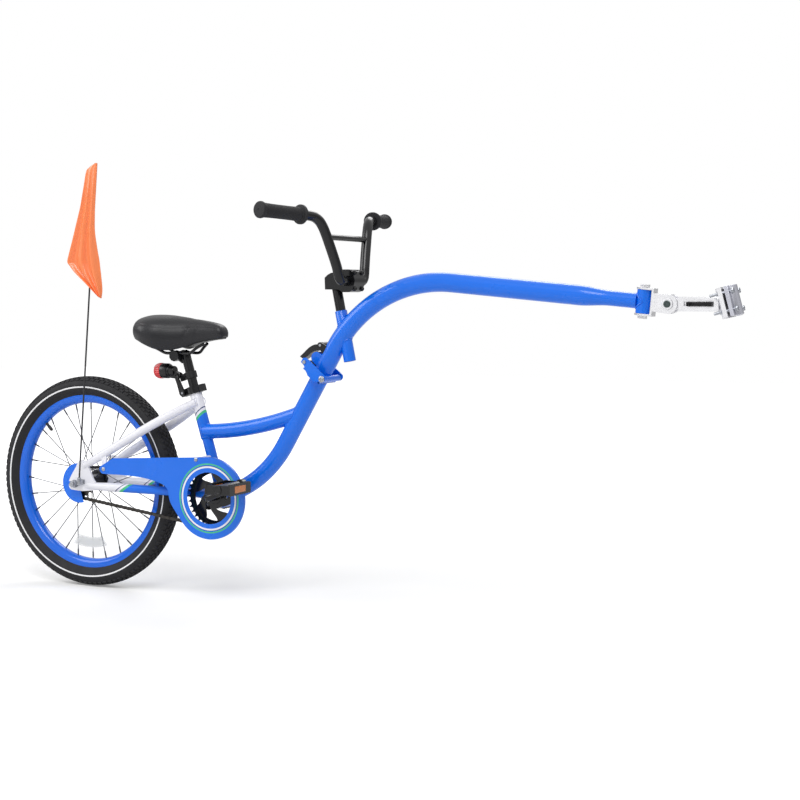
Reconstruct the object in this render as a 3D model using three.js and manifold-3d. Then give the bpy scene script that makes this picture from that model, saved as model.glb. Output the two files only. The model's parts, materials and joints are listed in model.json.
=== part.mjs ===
// A trailer bike: a child's one-wheeled rear half of a bicycle that hangs on an adult bicycle's seat
// post. Lengths are millimetres. X points forward, Z up, and the drive side is -Y. Every part is laid
// out from the point on the ground under the rear axle, and the finished bike is then moved so that
// its origin is the middle of the seat-post clamp that carries it.

import * as THREE from 'three';
import { mergeVertices } from 'three/addons/utils/BufferGeometryUtils.js';
import Module from 'manifold-3d';

const wasm = await Module();
wasm.setup();

// Clearances
const GAP = 0.3;                    // between pieces that rest on each other
const PLAY = 0.6;                   // round a piece that turns or slides in another
const OVERRUN = 3;                  // how far a cutter runs past what it cuts

// Wheel
const TYRE_RADIUS = 257;            // outside of the tread, so also the axle's height
const TYRE_WIDTH = 54;
const TYRE_HEIGHT = 53;             // bead to tread
const TUBE_RADIUS = 14;             // section of the inner tube
const TUBE_WALL = 1.6;
const VALVE_RADIUS = 4;
const VALVE_LENGTH = 52;
const VALVE_SPACE = 10.5;           // spokes between forward and the valve, going up
const TYRE_OVER_RIM = 46;           // from the rim's edge out to the tread
const RIM_DEPTH = 20;
const RIM_WIDTH = 31;
const RIM_WALL = 2;
const WHEEL_FACETS = 24;
const SPOKES = 28;
const SPOKE_RADIUS = 1.1;
const SPOKE_SLANT = 62;             // degrees round the hub from a spoke's foot to its end
const FLANGE_RADIUS = 26;
const FLANGE_THICKNESS = 3;
const FLANGE_SPACING = 56;
const HUB_RADIUS = 17;
const AXLE_RADIUS = 5;
const AXLE_LENGTH = 162;
const NUT_FLATS = 15;
const NUT_THICKNESS = 8;
const REFLECTOR_INSET = 61;         // from the rim's edge in to the middle of the clear reflector
const REFLECTOR_LENGTH = 92;
const REFLECTOR_HEIGHT = 26;
const REFLECTOR_THICKNESS = 7;

// Chain drive
const PITCH = 12.7;
const RING_TEETH = 36;
const COG_TEETH = 18;
const LINKS = 88;
const ROLLER_RADIUS = 3.85;
const CHAIN_INSIDE = 3.3;           // between the inner plates
const PLATE_THICKNESS = 1;
const PLATE_HEIGHT = 8.4;
const TOOTH_THICKNESS = 2.6;
const TOOTH_HEIGHT = 3;             // over the pitch circle
const CHAIN_LINE = 40;              // from the bike's middle plane
const RING_ARMS = 5;
const RING_HUB_RADIUS = 27;
const RING_RIM_RADIUS = 60;
const RING_SWIRL = 42;              // degrees that an arm turns on its way out
const CRANK_LENGTH = 105;
const CRANK_ANGLE = 21;             // degrees over level, drive side forward
const CRANK_RADIUS = 8;
const CRANK_PLANE = 84;             // from the middle plane to the crank arms
const CRANK_BEND = 15;
const EYE_RADIUS = 14;
const EYE_THICKNESS = 14;
const SHELL_RADIUS = 28;
const SHELL_WIDTH = 68;
const SHELL_WALL = 2.6;
const CUP_FLANGE = 2.4;
const CUP_DEPTH = 10;
const BB_DROP = 12;                 // the bottom bracket, under the axle's height

// Pedals
const PEDAL_LENGTH = 66;            // fore and aft
const PEDAL_WIDTH = 90;
const PEDAL_HEIGHT = 26;
const PEDAL_WALL = 9;
const PEDAL_CORE_RADIUS = 11;
const PEDAL_AXLE_RADIUS = 5;
const PEDAL_TOOTH = 2.5;
const PEDAL_TEETH = 3;
const LENS_LENGTH = 44;
const LENS_HEIGHT = 15;
const LENS_THICKNESS = 5;

// Frame tubes
const MAIN_RADIUS = 20;
const MAIN_SLOPE = 59.5;            // degrees over level where it meets the fold joint
const MAIN_FOOT_SLOPE = 17;         // degrees over level where it leaves the bottom bracket
const MAIN_BEND = 280;
const ARM_RADIUS = 21;
const ARM_BEND = 300;
const ARM_DROP = 5.3;               // degrees under level along the straight front of the arm
const NECK_RADIUS = 15.5;
const NECK_LENGTH = 56;
const NECK_TAPER = 70;
const SEAT_TUBE_LEAN = 16.7;        // degrees back from upright
const SEAT_TUBE_SETBACK = 8;        // its axis passes this far behind the bottom bracket
const SEAT_TUBE_LENGTH = 259;
const SEAT_TUBE_RADIUS = 14.5;
const SEAT_FOOT_RADIUS = 12.5;
const SEAT_SLEEVE = 122;            // the wider upper tube's length
const TOP_TUBE_RADIUS = 17.5;
const TOP_TUBE_RISE_AT_SEAT = 147;  // its axis at the seat tube, over the bottom bracket
const TOP_TUBE_RISE = 52;
const TOP_TUBE_SAG = 11;
const STAY_RADIUS = 10.5;
const STAY_SPACING = 124;           // between the stays' axes at the dropouts
const SEAT_STAY_DROP = 35;          // along the seat tube, under its top
const CHAIN_STAY_SPACING = 44;      // between the stays' axes behind the bottom bracket
const DROPOUT_SPACING = 118;        // between the dropouts' inner faces
const DROPOUT_THICKNESS = 5;
const TAB_THICKNESS = 3;

// Fold joint, in a frame whose X runs through the joint and whose origin is the pivot
const FOLD_SLOPE = 50;              // degrees over level of the joint's own X
const FOLD_REACH = 282.555;         // the pivot, ahead of the bottom bracket
const FOLD_RISE = 279;              // and over it
const FOLD_WIDTH = 82;
const FOLD_TUBE_OFFSET = 24.4;      // the tubes' axis over the pivot
const FOLD_PIN_OFFSET = 58;         // the latch pin over the pivot
const FOLD_PLATE = 3.2;
const FOLD_CHEEK_LENGTH = 26;
const FOLD_BARREL_RADIUS = 8;
const FOLD_BOLT_RADIUS = 4;
const FOLD_PIN_RADIUS = 3;
const FOLD_HEAD_RADIUS = 7.5;
const FOLD_HEAD_THICKNESS = 4;
const LUG_WIDTH = 30;
const LUG_LENGTH = 26;
const LEVER_WIDTH = 24;
const LEVER_THICKNESS = 11;
const LEVER_LENGTH = 51;
const LEVER_PIVOT = [45, 62];       // its pin, ahead of the joint's pivot and over it

// Head tube, stem and handlebar
const HEAD_FORWARD = 49;            // foot of the head tube, ahead of the fold joint's pivot
const HEAD_RISE = 39;               // and over it
const HEAD_LEAN = 11.4;
const HEAD_LENGTH = 114;
const HEAD_RADIUS = 13.5;
const QUILL_RADIUS = 11;
const QUILL_LENGTH = 150;
const QUILL_EXPOSED = 67.6;           // quill over the head tube, up to the middle of the stem block
const STEM_LENGTH = 41;             // quill axis to bar axis
const STEM_HEIGHT = 38;
const STEM_WIDTH = 34;
const CLAMP_SIZE = 50;
const CLAMP_DEPTH = 20;
const BAR_RADIUS = 11.1;
const CROSSBAR_RADIUS = 6.4;
const BAR_CENTRE_HALF = 42;         // half of the straight middle
const BAR_BEND = [16, 22];          // how far the lower bend runs across and up
const BAR_UPRIGHT = [52, 100, -18]; // across, up and forward along the uprights
const BAR_REACH = [174, 29, -44];   // and from the upper bend to the end
const CROSSBAR_SHARE = 0.82;        // how far up the uprights the crossbar sits
const GRIP_LENGTH = 124;
const GRIP_RADIUS = 15.5;
const GRIP_FLANGE_RADIUS = 21;
const GRIP_FLANGE = 9;
const GRIP_WALL = 3;                // over the bar's end

// Seat
const POST_RADIUS = 11.1;
const POST_LENGTH = 190;
const POST_EXPOSED = 84;            // over the top of the seat tube
const POST_ROOM = 13;               // under its lower end in the tube
const COLLAR_RADIUS = 19;
const COLLAR_HEIGHT = 17;
const COLLAR_EAR = 15;
const COLLAR_SLOT = 3;
const SKEWER_RADIUS = 3;
const SEAT_LEVER_LENGTH = 44;
const SEAT_LEVER_WIDTH = 11;
const SEAT_LEVER_THICKNESS = 6;
const SADDLE_PIVOT = [14.9, 5.5];   // the saddle's pivot, behind the top of the seat post and under it
const SADDLE_CLAMP_RADIUS = 13;
const SADDLE_CLAMP_WIDTH = 54;
const RAIL_RADIUS = 3.5;
const RAIL_SPACING = 40;
const RAIL_RISE = 10;               // top of the rails' straight middle, over the pivot
const SADDLE_BEHIND = 104;          // rear end of the saddle, behind the pivot
const SADDLE_LENGTH = 232;
const SADDLE_WIDTH = 156;
const SADDLE_HEIGHT = 83;           // from the lowest point of the cushion's side to its top
const SADDLE_DROP = 1;              // the lowest point, over the top of the rails
const SADDLE_BASE_THICKNESS = 6;
const SADDLE_BASE_INSET = 9;

// Chain guard
const GUARD_PLANE = 66;             // inner face of its sheet, from the middle plane
const GUARD_SHEET = 2;
const GUARD_RADIUS = 95;
const GUARD_HOLE = 60;
const GUARD_LIP = 5;
const GUARD_TIP_RADIUS = 11;
const GUARD_TIP = [88, 40];         // middle of the rounded rear tip, ahead of the axle and over it
const GUARD_BOLT_RADIUS = 3;
const COVER_RADIUS = 48;
const COVER_PLANE = 48;
const COVER_SHEET = 1.6;
const COVER_HOLE = 9;

// Rear light
const STRAP_HEIGHT = 16;
const STRAP_WALL = 3;
const STRAP_RISE = 31;              // its middle along the seat tube's axis, over the tube's top
const LIGHT_RADIUS = 18;
const LIGHT_LENGTH = 40;
const LIGHT_PIVOT = [35.1, 1.8];    // behind the middle of the strap and under it
const LIGHT_RISE = 10;              // the light's axis over its pivot
const LIGHT_BACK = 9;               // its front face behind the pivot
const LENS_DEPTH = 15;

// Flag
const FLAG_PLANE = 80;              // from the middle plane to the rod
const FLAG_FOOT = [25, 5];          // the rod's foot, ahead of the axle and over it
const FLAG_ROD_LENGTH = 757;
const FLAG_ROD_LEAN = 4.9;
const FLAG_ROD_RADIUS = 2;
const FLAG_HOIST = 312;             // along the rod
const FLAG_FLY = 150;               // flat width away from the rod
const FLAG_THICKNESS = 1;
const FLAG_FOLD = 13;               // how far its folds stand out

// Hitch
const CLAMP_REACH = 121;            // middle of the seat-post clamp, ahead of the pitch pivot
const CLAMP_RISE = 5;               // and over it
const CLAMP_LEAN = 15;
const CLAMP_TALL = 60;
const CLAMP_BORE = 16;
const CLAMP_WALL = 6;
const CLAMP_EAR = 34;               // half of its width over the bolt ears
const CLAMP_SPLIT = 5;
const SHIM_WALL = 2.2;
const CLAMP_BOLT_SPACING = [50, 36];
const CLAMP_BOLT_RADIUS = 3;
const CLAMP_BOLT_LENGTH = 44;
const CLAMP_BOLT_HEAD = 5.5;
const PITCH_REACH = 53;             // the pitch pivot, ahead of the yaw pivot's barrel
const HITCH_RISE = 168;             // and over the fold joint's pivot
const RECEIVER_TALL = 29;
const RECEIVER_WIDE = 28;
const RECEIVER_WALL = 3;
const RECEIVER_BACK = 22;           // from the pitch pivot to the receiver's open end
const WINDOW_LENGTH = 60;
const WINDOW_HEIGHT = 10;
const LATCH_THICKNESS = 6;
const TONGUE_EYE_RADIUS = 11;
const PITCH_BOLT_RADIUS = 6;
const PITCH_HEAD_RADIUS = 11;
const PITCH_HEAD_THICKNESS = 5;
const CLEVIS_PLATE = 4;
const CLEVIS_EAR_RADIUS = 20;
const BARREL_RADIUS = 15;
const BARREL_LENGTH = 48;
const BARREL_REACH = 720;           // ahead of the fold joint's pivot
const YAW_BOLT_RADIUS = 6;
const YAW_HEAD_RADIUS = 10;

// Derived places
const UP = new THREE.Vector3(0, 0, 1);
const rad = THREE.MathUtils.degToRad;
const ringPitchRadius = PITCH / 2 / Math.sin(Math.PI / RING_TEETH);
const cogPitchRadius = PITCH / 2 / Math.sin(Math.PI / COG_TEETH);
const RIM_RADIUS = TYRE_RADIUS - TYRE_OVER_RIM;
const REFLECTOR_RADIUS = RIM_RADIUS - REFLECTOR_INSET;
const BB_HEIGHT = TYRE_RADIUS - BB_DROP;
const TOP_TUBE_HEIGHT = BB_HEIGHT + TOP_TUBE_RISE_AT_SEAT;
const SEAT_STAY_TOP = SEAT_TUBE_LENGTH - SEAT_STAY_DROP;
const STRAP_ALONG = SEAT_TUBE_LENGTH + STRAP_RISE;
const axlePlace = place(0, TYRE_RADIUS);
const guardTip = axlePlace.clone().add(place(...GUARD_TIP));
const flagFoot = axlePlace.clone().add(place(...FLAG_FOOT));
const bottomBracket = bottomBracketPlace();
const FOLD_FORWARD = bottomBracket.x + FOLD_REACH;
const FOLD_HEIGHT = BB_HEIGHT + FOLD_RISE;
const BARREL_FORWARD = FOLD_FORWARD + BARREL_REACH;
const PITCH_FORWARD = BARREL_FORWARD + PITCH_REACH;
const HITCH_HEIGHT = FOLD_HEIGHT + HITCH_RISE;
const CLAMP_FORWARD = PITCH_FORWARD + CLAMP_REACH;
const CLAMP_HEIGHT = HITCH_HEIGHT + CLAMP_RISE;
const foldPivot = place(FOLD_FORWARD, FOLD_HEIGHT);
const seatTubeAxis = direction(90 + SEAT_TUBE_LEAN);
const seatTubeFoot = bottomBracket.clone().add(place(-SEAT_TUBE_SETBACK, 0));
const headAxis = direction(90 + HEAD_LEAN);
const headFoot = foldPivot.clone().add(place(HEAD_FORWARD, HEAD_RISE));
const stemPlace = headFoot.clone().addScaledVector(headAxis, HEAD_LENGTH + QUILL_EXPOSED);
const barCentre = stemPlace.clone().add(place(STEM_LENGTH, 0));
const foldAcross = direction(FOLD_SLOPE + 90);
const tubesAtJoint = foldPivot.clone().addScaledVector(foldAcross, FOLD_TUBE_OFFSET);
const crankDirection = direction(CRANK_ANGLE);
const postTop = seatTubePoint(SEAT_TUBE_LENGTH + POST_EXPOSED);
const saddlePivot = postTop.clone().sub(place(...SADDLE_PIVOT));
const railTop = saddlePivot.z + RAIL_RISE;
const saddleRear = saddlePivot.x - SADDLE_BEHIND;
const saddleSkirt = railTop + SADDLE_DROP;
const lightPivot = seatTubePoint(STRAP_ALONG).sub(place(...LIGHT_PIVOT));
const lightAxis = lightPivot.z + LIGHT_RISE;
const lightFront = lightPivot.x - LIGHT_BACK;

// Points and directions in the bike's middle plane
function place(forward, up) {
  return new THREE.Vector3(forward, 0, up);
}

function direction(degreesOverLevel) {
  const a = rad(degreesOverLevel);
  return new THREE.Vector3(Math.cos(a), 0, Math.sin(a));
}

// How many pitches a chain takes round both sprockets at one centre distance.
function pitchesRound(distance) {
  const lean = Math.asin((ringPitchRadius - cogPitchRadius) / distance);
  const runs = 2 * distance * Math.cos(lean) / PITCH;
  const onRing = RING_TEETH * (Math.PI + 2 * lean) / (2 * Math.PI);
  const onCog = COG_TEETH * (Math.PI - 2 * lean) / (2 * Math.PI);
  return runs + onRing + onCog;
}

// The centre distance at which the chain's links come out whole, by halving.
function centreDistance() {
  let low = ringPitchRadius + cogPitchRadius;
  let high = LINKS * PITCH / 2;
  for (let step = 0; step < 50; step += 1) {
    const middle = (low + high) / 2;
    if (pitchesRound(middle) < LINKS) low = middle;
    else high = middle;
  }
  return (low + high) / 2;
}

function bottomBracketPlace() {
  const drop = TYRE_RADIUS - BB_HEIGHT;
  return new THREE.Vector3(Math.sqrt(centreDistance() ** 2 - drop ** 2), 0, BB_HEIGHT);
}

// The corner radius of a hole with flat facets that just clear a round of this radius.
function clearOf(radius, sides) {
  return radius / Math.cos(Math.PI / sides);
}

// Geometry to solid and back
function solid(geometry) {
  const bare = geometry.clone();
  for (const name of Object.keys(bare.attributes)) if (name !== 'position') bare.deleteAttribute(name);
  const merged = mergeVertices(bare, 1e-4);
  const build = (index) => new wasm.Manifold(new wasm.Mesh({
    numProp: 3,
    vertProperties: new Float32Array(merged.attributes.position.array),
    triVerts: new Uint32Array(index),
  }));
  const made = build(merged.index.array);
  return made.volume() > 0 ? made : build(Array.from(merged.index.array).reverse());
}

function union(parts) {
  return parts.reduce((whole, part) => whole.add(part));
}

function without(whole, cutters) {
  return cutters.reduce((rest, cutter) => rest.subtract(cutter), whole);
}

function surface(made) {
  const { vertProperties, triVerts } = made.getMesh();
  const geometry = new THREE.BufferGeometry();
  geometry.setAttribute('position', new THREE.BufferAttribute(new Float32Array(vertProperties), 3));
  geometry.setIndex(Array.from(triVerts));
  return geometry;
}

function mesh(name, made, color, roughness, metalness) {
  const geometry = surface(made);
  geometry.computeVertexNormals();
  const result = new THREE.Mesh(geometry, new THREE.MeshStandardMaterial({ color, roughness, metalness }));
  result.name = name;
  return result;
}

const blue = (name, made) => mesh(name, made, 0x2f74ea, 0.25, 0.1);
const black = (name, made) => mesh(name, made, 0x1c1c1f, 0.4, 0.1);
const rubber = (name, made) => mesh(name, made, 0x2a2a2c, 0.85, 0);
const steel = (name, made) => mesh(name, made, 0xc4c6cc, 0.25, 0.9);

// Basic solids. A rod runs between two points, and a ring of sides lies flat on them.
function rod(from, to, radius, sides, endRadius = radius) {
  const along = to.clone().sub(from);
  const geometry = new THREE.CylinderGeometry(endRadius, radius, along.length(), sides);
  geometry.rotateX(Math.PI / 2);
  geometry.applyQuaternion(new THREE.Quaternion().setFromUnitVectors(UP, along.normalize()));
  const middle = from.clone().add(to).multiplyScalar(0.5);
  geometry.translate(middle.x, middle.y, middle.z);
  return solid(geometry);
}

// A rod along Y, between two distances from the middle plane.
function crossRod(centre, fromY, toY, radius, sides) {
  const from = new THREE.Vector3(centre.x, fromY, centre.z);
  return rod(from, new THREE.Vector3(centre.x, toY, centre.z), radius, sides);
}

function upRod(centre, low, high, radius, sides) {
  const from = new THREE.Vector3(centre.x, centre.y, low);
  return rod(from, new THREE.Vector3(centre.x, centre.y, high), radius, sides);
}

function block(lowX, highX, lowY, highY, lowZ, highZ) {
  const geometry = new THREE.BoxGeometry(highX - lowX, highY - lowY, highZ - lowZ);
  geometry.translate((lowX + highX) / 2, (lowY + highY) / 2, (lowZ + highZ) / 2);
  return solid(geometry);
}

// A bar of round section along a curve.
function bent(curve, radius, sides, steps) {
  const section = new THREE.Shape(roundPoints(radius, sides));
  return solid(new THREE.ExtrudeGeometry(section, { extrudePath: curve, steps, bevelEnabled: false }));
}

function roundPoints(radius, sides, centreX = 0, centreY = 0) {
  return Array.from({ length: sides }, (_, n) => {
    const a = 2 * Math.PI * n / sides;
    return new THREE.Vector2(centreX + radius * Math.cos(a), centreY + radius * Math.sin(a));
  });
}

// A plate whose outline is drawn forward and up, between two distances from the middle plane.
function sidePlate(outline, lowY, highY, holes = []) {
  const shape = new THREE.Shape(outline);
  shape.holes = holes.map((points) => new THREE.Path(points));
  const geometry = new THREE.ExtrudeGeometry(shape, { depth: highY - lowY, bevelEnabled: false });
  geometry.rotateX(Math.PI / 2);
  geometry.translate(0, highY, 0);
  return solid(geometry);
}

// A plate whose outline is drawn forward and to the left, between two heights.
function levelPlate(outline, low, high) {
  const shape = new THREE.Shape(outline);
  const geometry = new THREE.ExtrudeGeometry(shape, { depth: high - low, bevelEnabled: false });
  geometry.translate(0, 0, low);
  return solid(geometry);
}

// A turned piece about Y: pairs of radius and distance along Y, closed by going back to the first.
function turned(pairs, segments) {
  const profile = [...pairs, pairs[0]].map(([radius, along]) => new THREE.Vector2(radius, along));
  return solid(new THREE.LatheGeometry(profile, segments));
}

// A turned piece along a direction: pairs of radius and distance, from the axis back to the axis or
// back to the first pair.
function turnedAlong(pairs, from, along, segments) {
  const geometry = new THREE.LatheGeometry(pairs.map(([radius, far]) => new THREE.Vector2(radius, far)), segments);
  geometry.applyQuaternion(new THREE.Quaternion().setFromUnitVectors(new THREE.Vector3(0, 1, 0), along));
  geometry.translate(from.x, from.y, from.z);
  return solid(geometry);
}

// Arc points in a plate's plane, from one angle in degrees to another.
function arcPoints(centreX, centreY, radius, fromDegrees, toDegrees, steps) {
  return Array.from({ length: steps + 1 }, (_, n) => {
    const a = rad(fromDegrees + (toDegrees - fromDegrees) * n / steps);
    return new THREE.Vector2(centreX + radius * Math.cos(a), centreY + radius * Math.sin(a));
  });
}

// A group at a place in the middle plane, leaning back from upright by some degrees.
function groupAt(point, leanBack, pieces) {
  const group = new THREE.Group();
  group.position.copy(point);
  group.rotation.y = -rad(leanBack);
  group.add(...pieces);
  return group;
}

// Wheel, about the axle
const TYRE_OUTER_SHARES = [[0, 0.48], [0.18, 0.48], [0.48, 1], [0.83, 0.78], [1, 0.22]];
const TYRE_INNER_SHARES = [[0, 0.38], [0.22, 0.42], [0.48, 0.87], [0.92, 0.22]];

function tyre() {
  const bead = TYRE_RADIUS - TYRE_HEIGHT;
  const at = (side) => ([up, out]) => [bead + up * TYRE_HEIGHT, side * out * TYRE_WIDTH / 2];
  const outer = [...TYRE_OUTER_SHARES.map(at(-1)), ...TYRE_OUTER_SHARES.map(at(1)).reverse()];
  const inner = [...TYRE_INNER_SHARES.map(at(1)), ...TYRE_INNER_SHARES.map(at(-1)).reverse()];
  return rubber('tyre', turned([...outer, ...inner], WHEEL_FACETS));
}

const tubeRingRadius = TYRE_RADIUS - TYRE_HEIGHT * 0.45;
const valveDirection = direction(360 / SPOKES * VALVE_SPACE);
const rimInside = (RIM_RADIUS - RIM_DEPTH) * Math.cos(Math.PI / WHEEL_FACETS);

function innerTube() {
  const ring = (radius, sides) => turned(
    roundPoints(radius, sides, tubeRingRadius).map((p) => [p.x, p.y]), 12);
  const inside = ring(TUBE_RADIUS - TUBE_WALL, 6);
  const wall = without(ring(TUBE_RADIUS, 6), [inside]);
  const foot = valveDirection.clone().multiplyScalar(tubeRingRadius - TUBE_RADIUS + TUBE_WALL);
  const end = foot.clone().addScaledVector(valveDirection, -VALVE_LENGTH - TUBE_WALL);
  const root = foot.clone().addScaledVector(valveDirection, TUBE_WALL);
  const stem = without(rod(end, root, VALVE_RADIUS, 6), [inside]);
  const bore = rod(end.clone().addScaledVector(valveDirection, -OVERRUN),
    root.clone().addScaledVector(valveDirection, OVERRUN), VALVE_RADIUS / 2, 4);
  return rubber('inner_tube', without(wall.add(stem), [bore]));
}

function rim() {
  const half = RIM_WIDTH / 2;
  const well = RIM_RADIUS - RIM_DEPTH;
  const profile = [
    [RIM_RADIUS, half], [well + RIM_WALL * 2, half], [well, 0], [well + RIM_WALL * 2, -half], [RIM_RADIUS, -half], [RIM_RADIUS, RIM_WALL - half],
    [well + RIM_WALL * 3, RIM_WALL - half], [well + RIM_WALL, 0], [well + RIM_WALL * 3, half - RIM_WALL],
    [RIM_RADIUS, half - RIM_WALL],
  ];
  const hole = rod(valveDirection.clone().multiplyScalar(well - OVERRUN),
    valveDirection.clone().multiplyScalar(RIM_RADIUS), clearOf(VALVE_RADIUS + GAP, 8), 8);
  return blue('rim', without(turned(profile, WHEEL_FACETS), [hole]));
}

// Spokes leave the flanges at a slant, one forward and one back by turns, and cross on their way out.
function spoke(number, end, radius) {
  const side = number % 2 ? 1 : -1;
  const around = 360 * number / SPOKES;
  const slant = Math.floor(number / 2) % 2 ? SPOKE_SLANT : -SPOKE_SLANT;
  const from = direction(around + slant).multiplyScalar(FLANGE_RADIUS - OVERRUN);
  from.y = side * (FLANGE_SPACING + Math.sign(slant) * FLANGE_THICKNESS) / 2;
  const to = direction(around).multiplyScalar(end);
  to.y = side * RIM_WALL;
  return rod(from, to, radius, 3);
}

function allSpokes(end, radius) {
  return Array.from({ length: SPOKES }, (_, n) => spoke(n, end, radius));
}

function hub() {
  const out = FLANGE_SPACING / 2;
  const face = out + FLANGE_THICKNESS;
  const bore = AXLE_RADIUS + PLAY;
  const shell = turned([
    [bore, face], [FLANGE_RADIUS, face], [FLANGE_RADIUS, out - FLANGE_THICKNESS],
    [HUB_RADIUS, out - 2 * FLANGE_THICKNESS], [HUB_RADIUS, 2 * FLANGE_THICKNESS - out],
    [FLANGE_RADIUS, FLANGE_THICKNESS - out], [FLANGE_RADIUS, -face], [bore, -face],
  ], 10);
  return steel('hub_and_spokes', union([shell, ...allSpokes(rimInside - GAP, SPOKE_RADIUS)]));
}

function wheelReflector() {
  const span = REFLECTOR_LENGTH / REFLECTOR_RADIUS / 2 * 180 / Math.PI;
  const high = REFLECTOR_RADIUS + REFLECTOR_HEIGHT / 2;
  const low = REFLECTOR_RADIUS - REFLECTOR_HEIGHT / 2;
  const outline = [
    ...arcPoints(0, 0, high, -90 - span, -90 + span, 5),
    ...arcPoints(0, 0, low, -90 + span * 0.8, -90 - span * 0.8, 6),
  ];
  const out = FLANGE_SPACING / 2 * (1 - REFLECTOR_RADIUS / rimInside) + RIM_WALL;
  const body = sidePlate(outline, -out - REFLECTOR_THICKNESS / 2, -out + REFLECTOR_THICKNESS / 2);
  const clear = allSpokes(rimInside - GAP, SPOKE_RADIUS + 2 * GAP);
  return mesh('wheel_reflector', without(body, clear), 0xe6ecf2, 0.15, 0);
}

function axle() {
  return steel('rear_axle', crossRod(place(0, 0), -AXLE_LENGTH / 2, AXLE_LENGTH / 2, AXLE_RADIUS, 10));
}

function axleNut(name, side) {
  const inner = DROPOUT_SPACING / 2 + DROPOUT_THICKNESS + TAB_THICKNESS + 2 * GAP;
  const outline = roundPoints(NUT_FLATS / Math.sqrt(3), 6);
  const hole = roundPoints(AXLE_RADIUS + GAP, 10);
  const low = side > 0 ? inner : -inner - NUT_THICKNESS;
  return steel(name, sidePlate(outline, low, low + NUT_THICKNESS, [hole]));
}

// Sprockets. Each valley holds a roller, with a tooth between it and the next.
function toothedOutline(teeth, pitchRadius, phase) {
  const seat = clearOf(ROLLER_RADIUS + GAP, 6);
  const tip = pitchRadius + TOOTH_HEIGHT;
  const points = [];
  for (let n = 0; n < teeth; n += 1) {
    const a = phase + 2 * Math.PI * n / teeth;
    for (const turn of [-60, 0, 60]) {
      const towards = a + Math.PI - rad(turn);
      points.push(new THREE.Vector2(
        pitchRadius * Math.cos(a) + seat * Math.cos(towards),
        pitchRadius * Math.sin(a) + seat * Math.sin(towards)));
    }
    const crest = a + Math.PI / teeth;
    points.push(new THREE.Vector2(tip * Math.cos(crest), tip * Math.sin(crest)));
  }
  return points;
}

// A gap between two of the chainring's swirled arms.
function swirlWindow(number) {
  const each = 360 / RING_ARMS;
  const start = each * number;
  const edge = (from, radii) => radii.map((radius) => {
    const out = (radius - RING_HUB_RADIUS) / (RING_RIM_RADIUS - RING_HUB_RADIUS);
    const a = rad(from + RING_SWIRL * out * (2 - out));
    return new THREE.Vector2(radius * Math.cos(a), radius * Math.sin(a));
  });
  const steps = [0, 0.5, 1].map((out) => RING_HUB_RADIUS + out * (RING_RIM_RADIUS - RING_HUB_RADIUS));
  const outer = arcPoints(0, 0, RING_RIM_RADIUS, start + RING_SWIRL + each * 0.5, start + RING_SWIRL, 3);
  return [
    ...edge(start + each * 0.5, [...steps].reverse()),
    ...edge(start, steps),
    ...outer.slice(1, -1).reverse(),
  ];
}

function chainring(phase) {
  const outline = toothedOutline(RING_TEETH, ringPitchRadius, phase);
  const windows = Array.from({ length: RING_ARMS }, (_, n) => swirlWindow(n));
  const bore = roundPoints(CRANK_RADIUS + GAP, 8);
  const low = -CHAIN_LINE - TOOTH_THICKNESS / 2;
  return black('chainring', sidePlate(outline, low, low + TOOTH_THICKNESS, [bore, ...windows]));
}

// The freewheel sprocket runs on its own body beside the hub, clear of the axle.
function cog(phase) {
  const outline = toothedOutline(COG_TEETH, cogPitchRadius, phase);
  const bore = roundPoints(AXLE_RADIUS + PLAY, 8);
  const low = -CHAIN_LINE - TOOTH_THICKNESS / 2;
  const disc = sidePlate(outline, low, low + TOOTH_THICKNESS, [bore]);
  const inner = -FLANGE_SPACING / 2 - FLANGE_THICKNESS - GAP;
  const body = sidePlate(roundPoints(HUB_RADIUS + OVERRUN, 10), low + TOOTH_THICKNESS / 2, inner, [bore]);
  return black('freewheel_sprocket', disc.add(body));
}

// The chain's rollers, in order round the loop: along the upper run, down round the chainring, back
// along the lower run and up round the sprocket. Places are measured from the rear axle.
function chainRollers() {
  const ring = bottomBracket.clone().sub(place(0, TYRE_RADIUS));
  const distance = ring.length();
  const heading = Math.atan2(ring.z, ring.x);
  const lean = Math.asin((ringPitchRadius - cogPitchRadius) / distance);
  const run = distance * Math.cos(lean) / PITCH;
  const onRing = RING_TEETH * (Math.PI + 2 * lean) / (2 * Math.PI);
  const top = heading + Math.PI / 2 + lean;
  const bottom = heading - Math.PI / 2 - lean;
  const on = (centre, radius, a) => new THREE.Vector2(
    centre.x + radius * Math.cos(a), centre.z + radius * Math.sin(a));
  const between = (from, to, share) => from.clone().lerp(to, share);
  const origin = place(0, 0);
  return Array.from({ length: LINKS }, (_, n) => {
    if (n < run) return between(on(origin, cogPitchRadius, top), on(ring, ringPitchRadius, top), n / run);
    const past = n - run;
    if (past < onRing) return on(ring, ringPitchRadius, top - 2 * Math.PI * past / RING_TEETH);
    const back = past - onRing;
    if (back < run) {
      return between(on(ring, ringPitchRadius, bottom), on(origin, cogPitchRadius, bottom), back / run);
    }
    return on(origin, cogPitchRadius, bottom - 2 * Math.PI * (back - run) / COG_TEETH);
  });
}

// The angle of a sprocket valley that holds a roller, seen from the sprocket's centre.
function valleyPhase(rollers, centre, radius) {
  const held = rollers.find((p) => Math.abs(p.clone().sub(centre).length() - radius) < GAP / 100);
  return Math.atan2(held.y - centre.y, held.x - centre.x);
}

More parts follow.
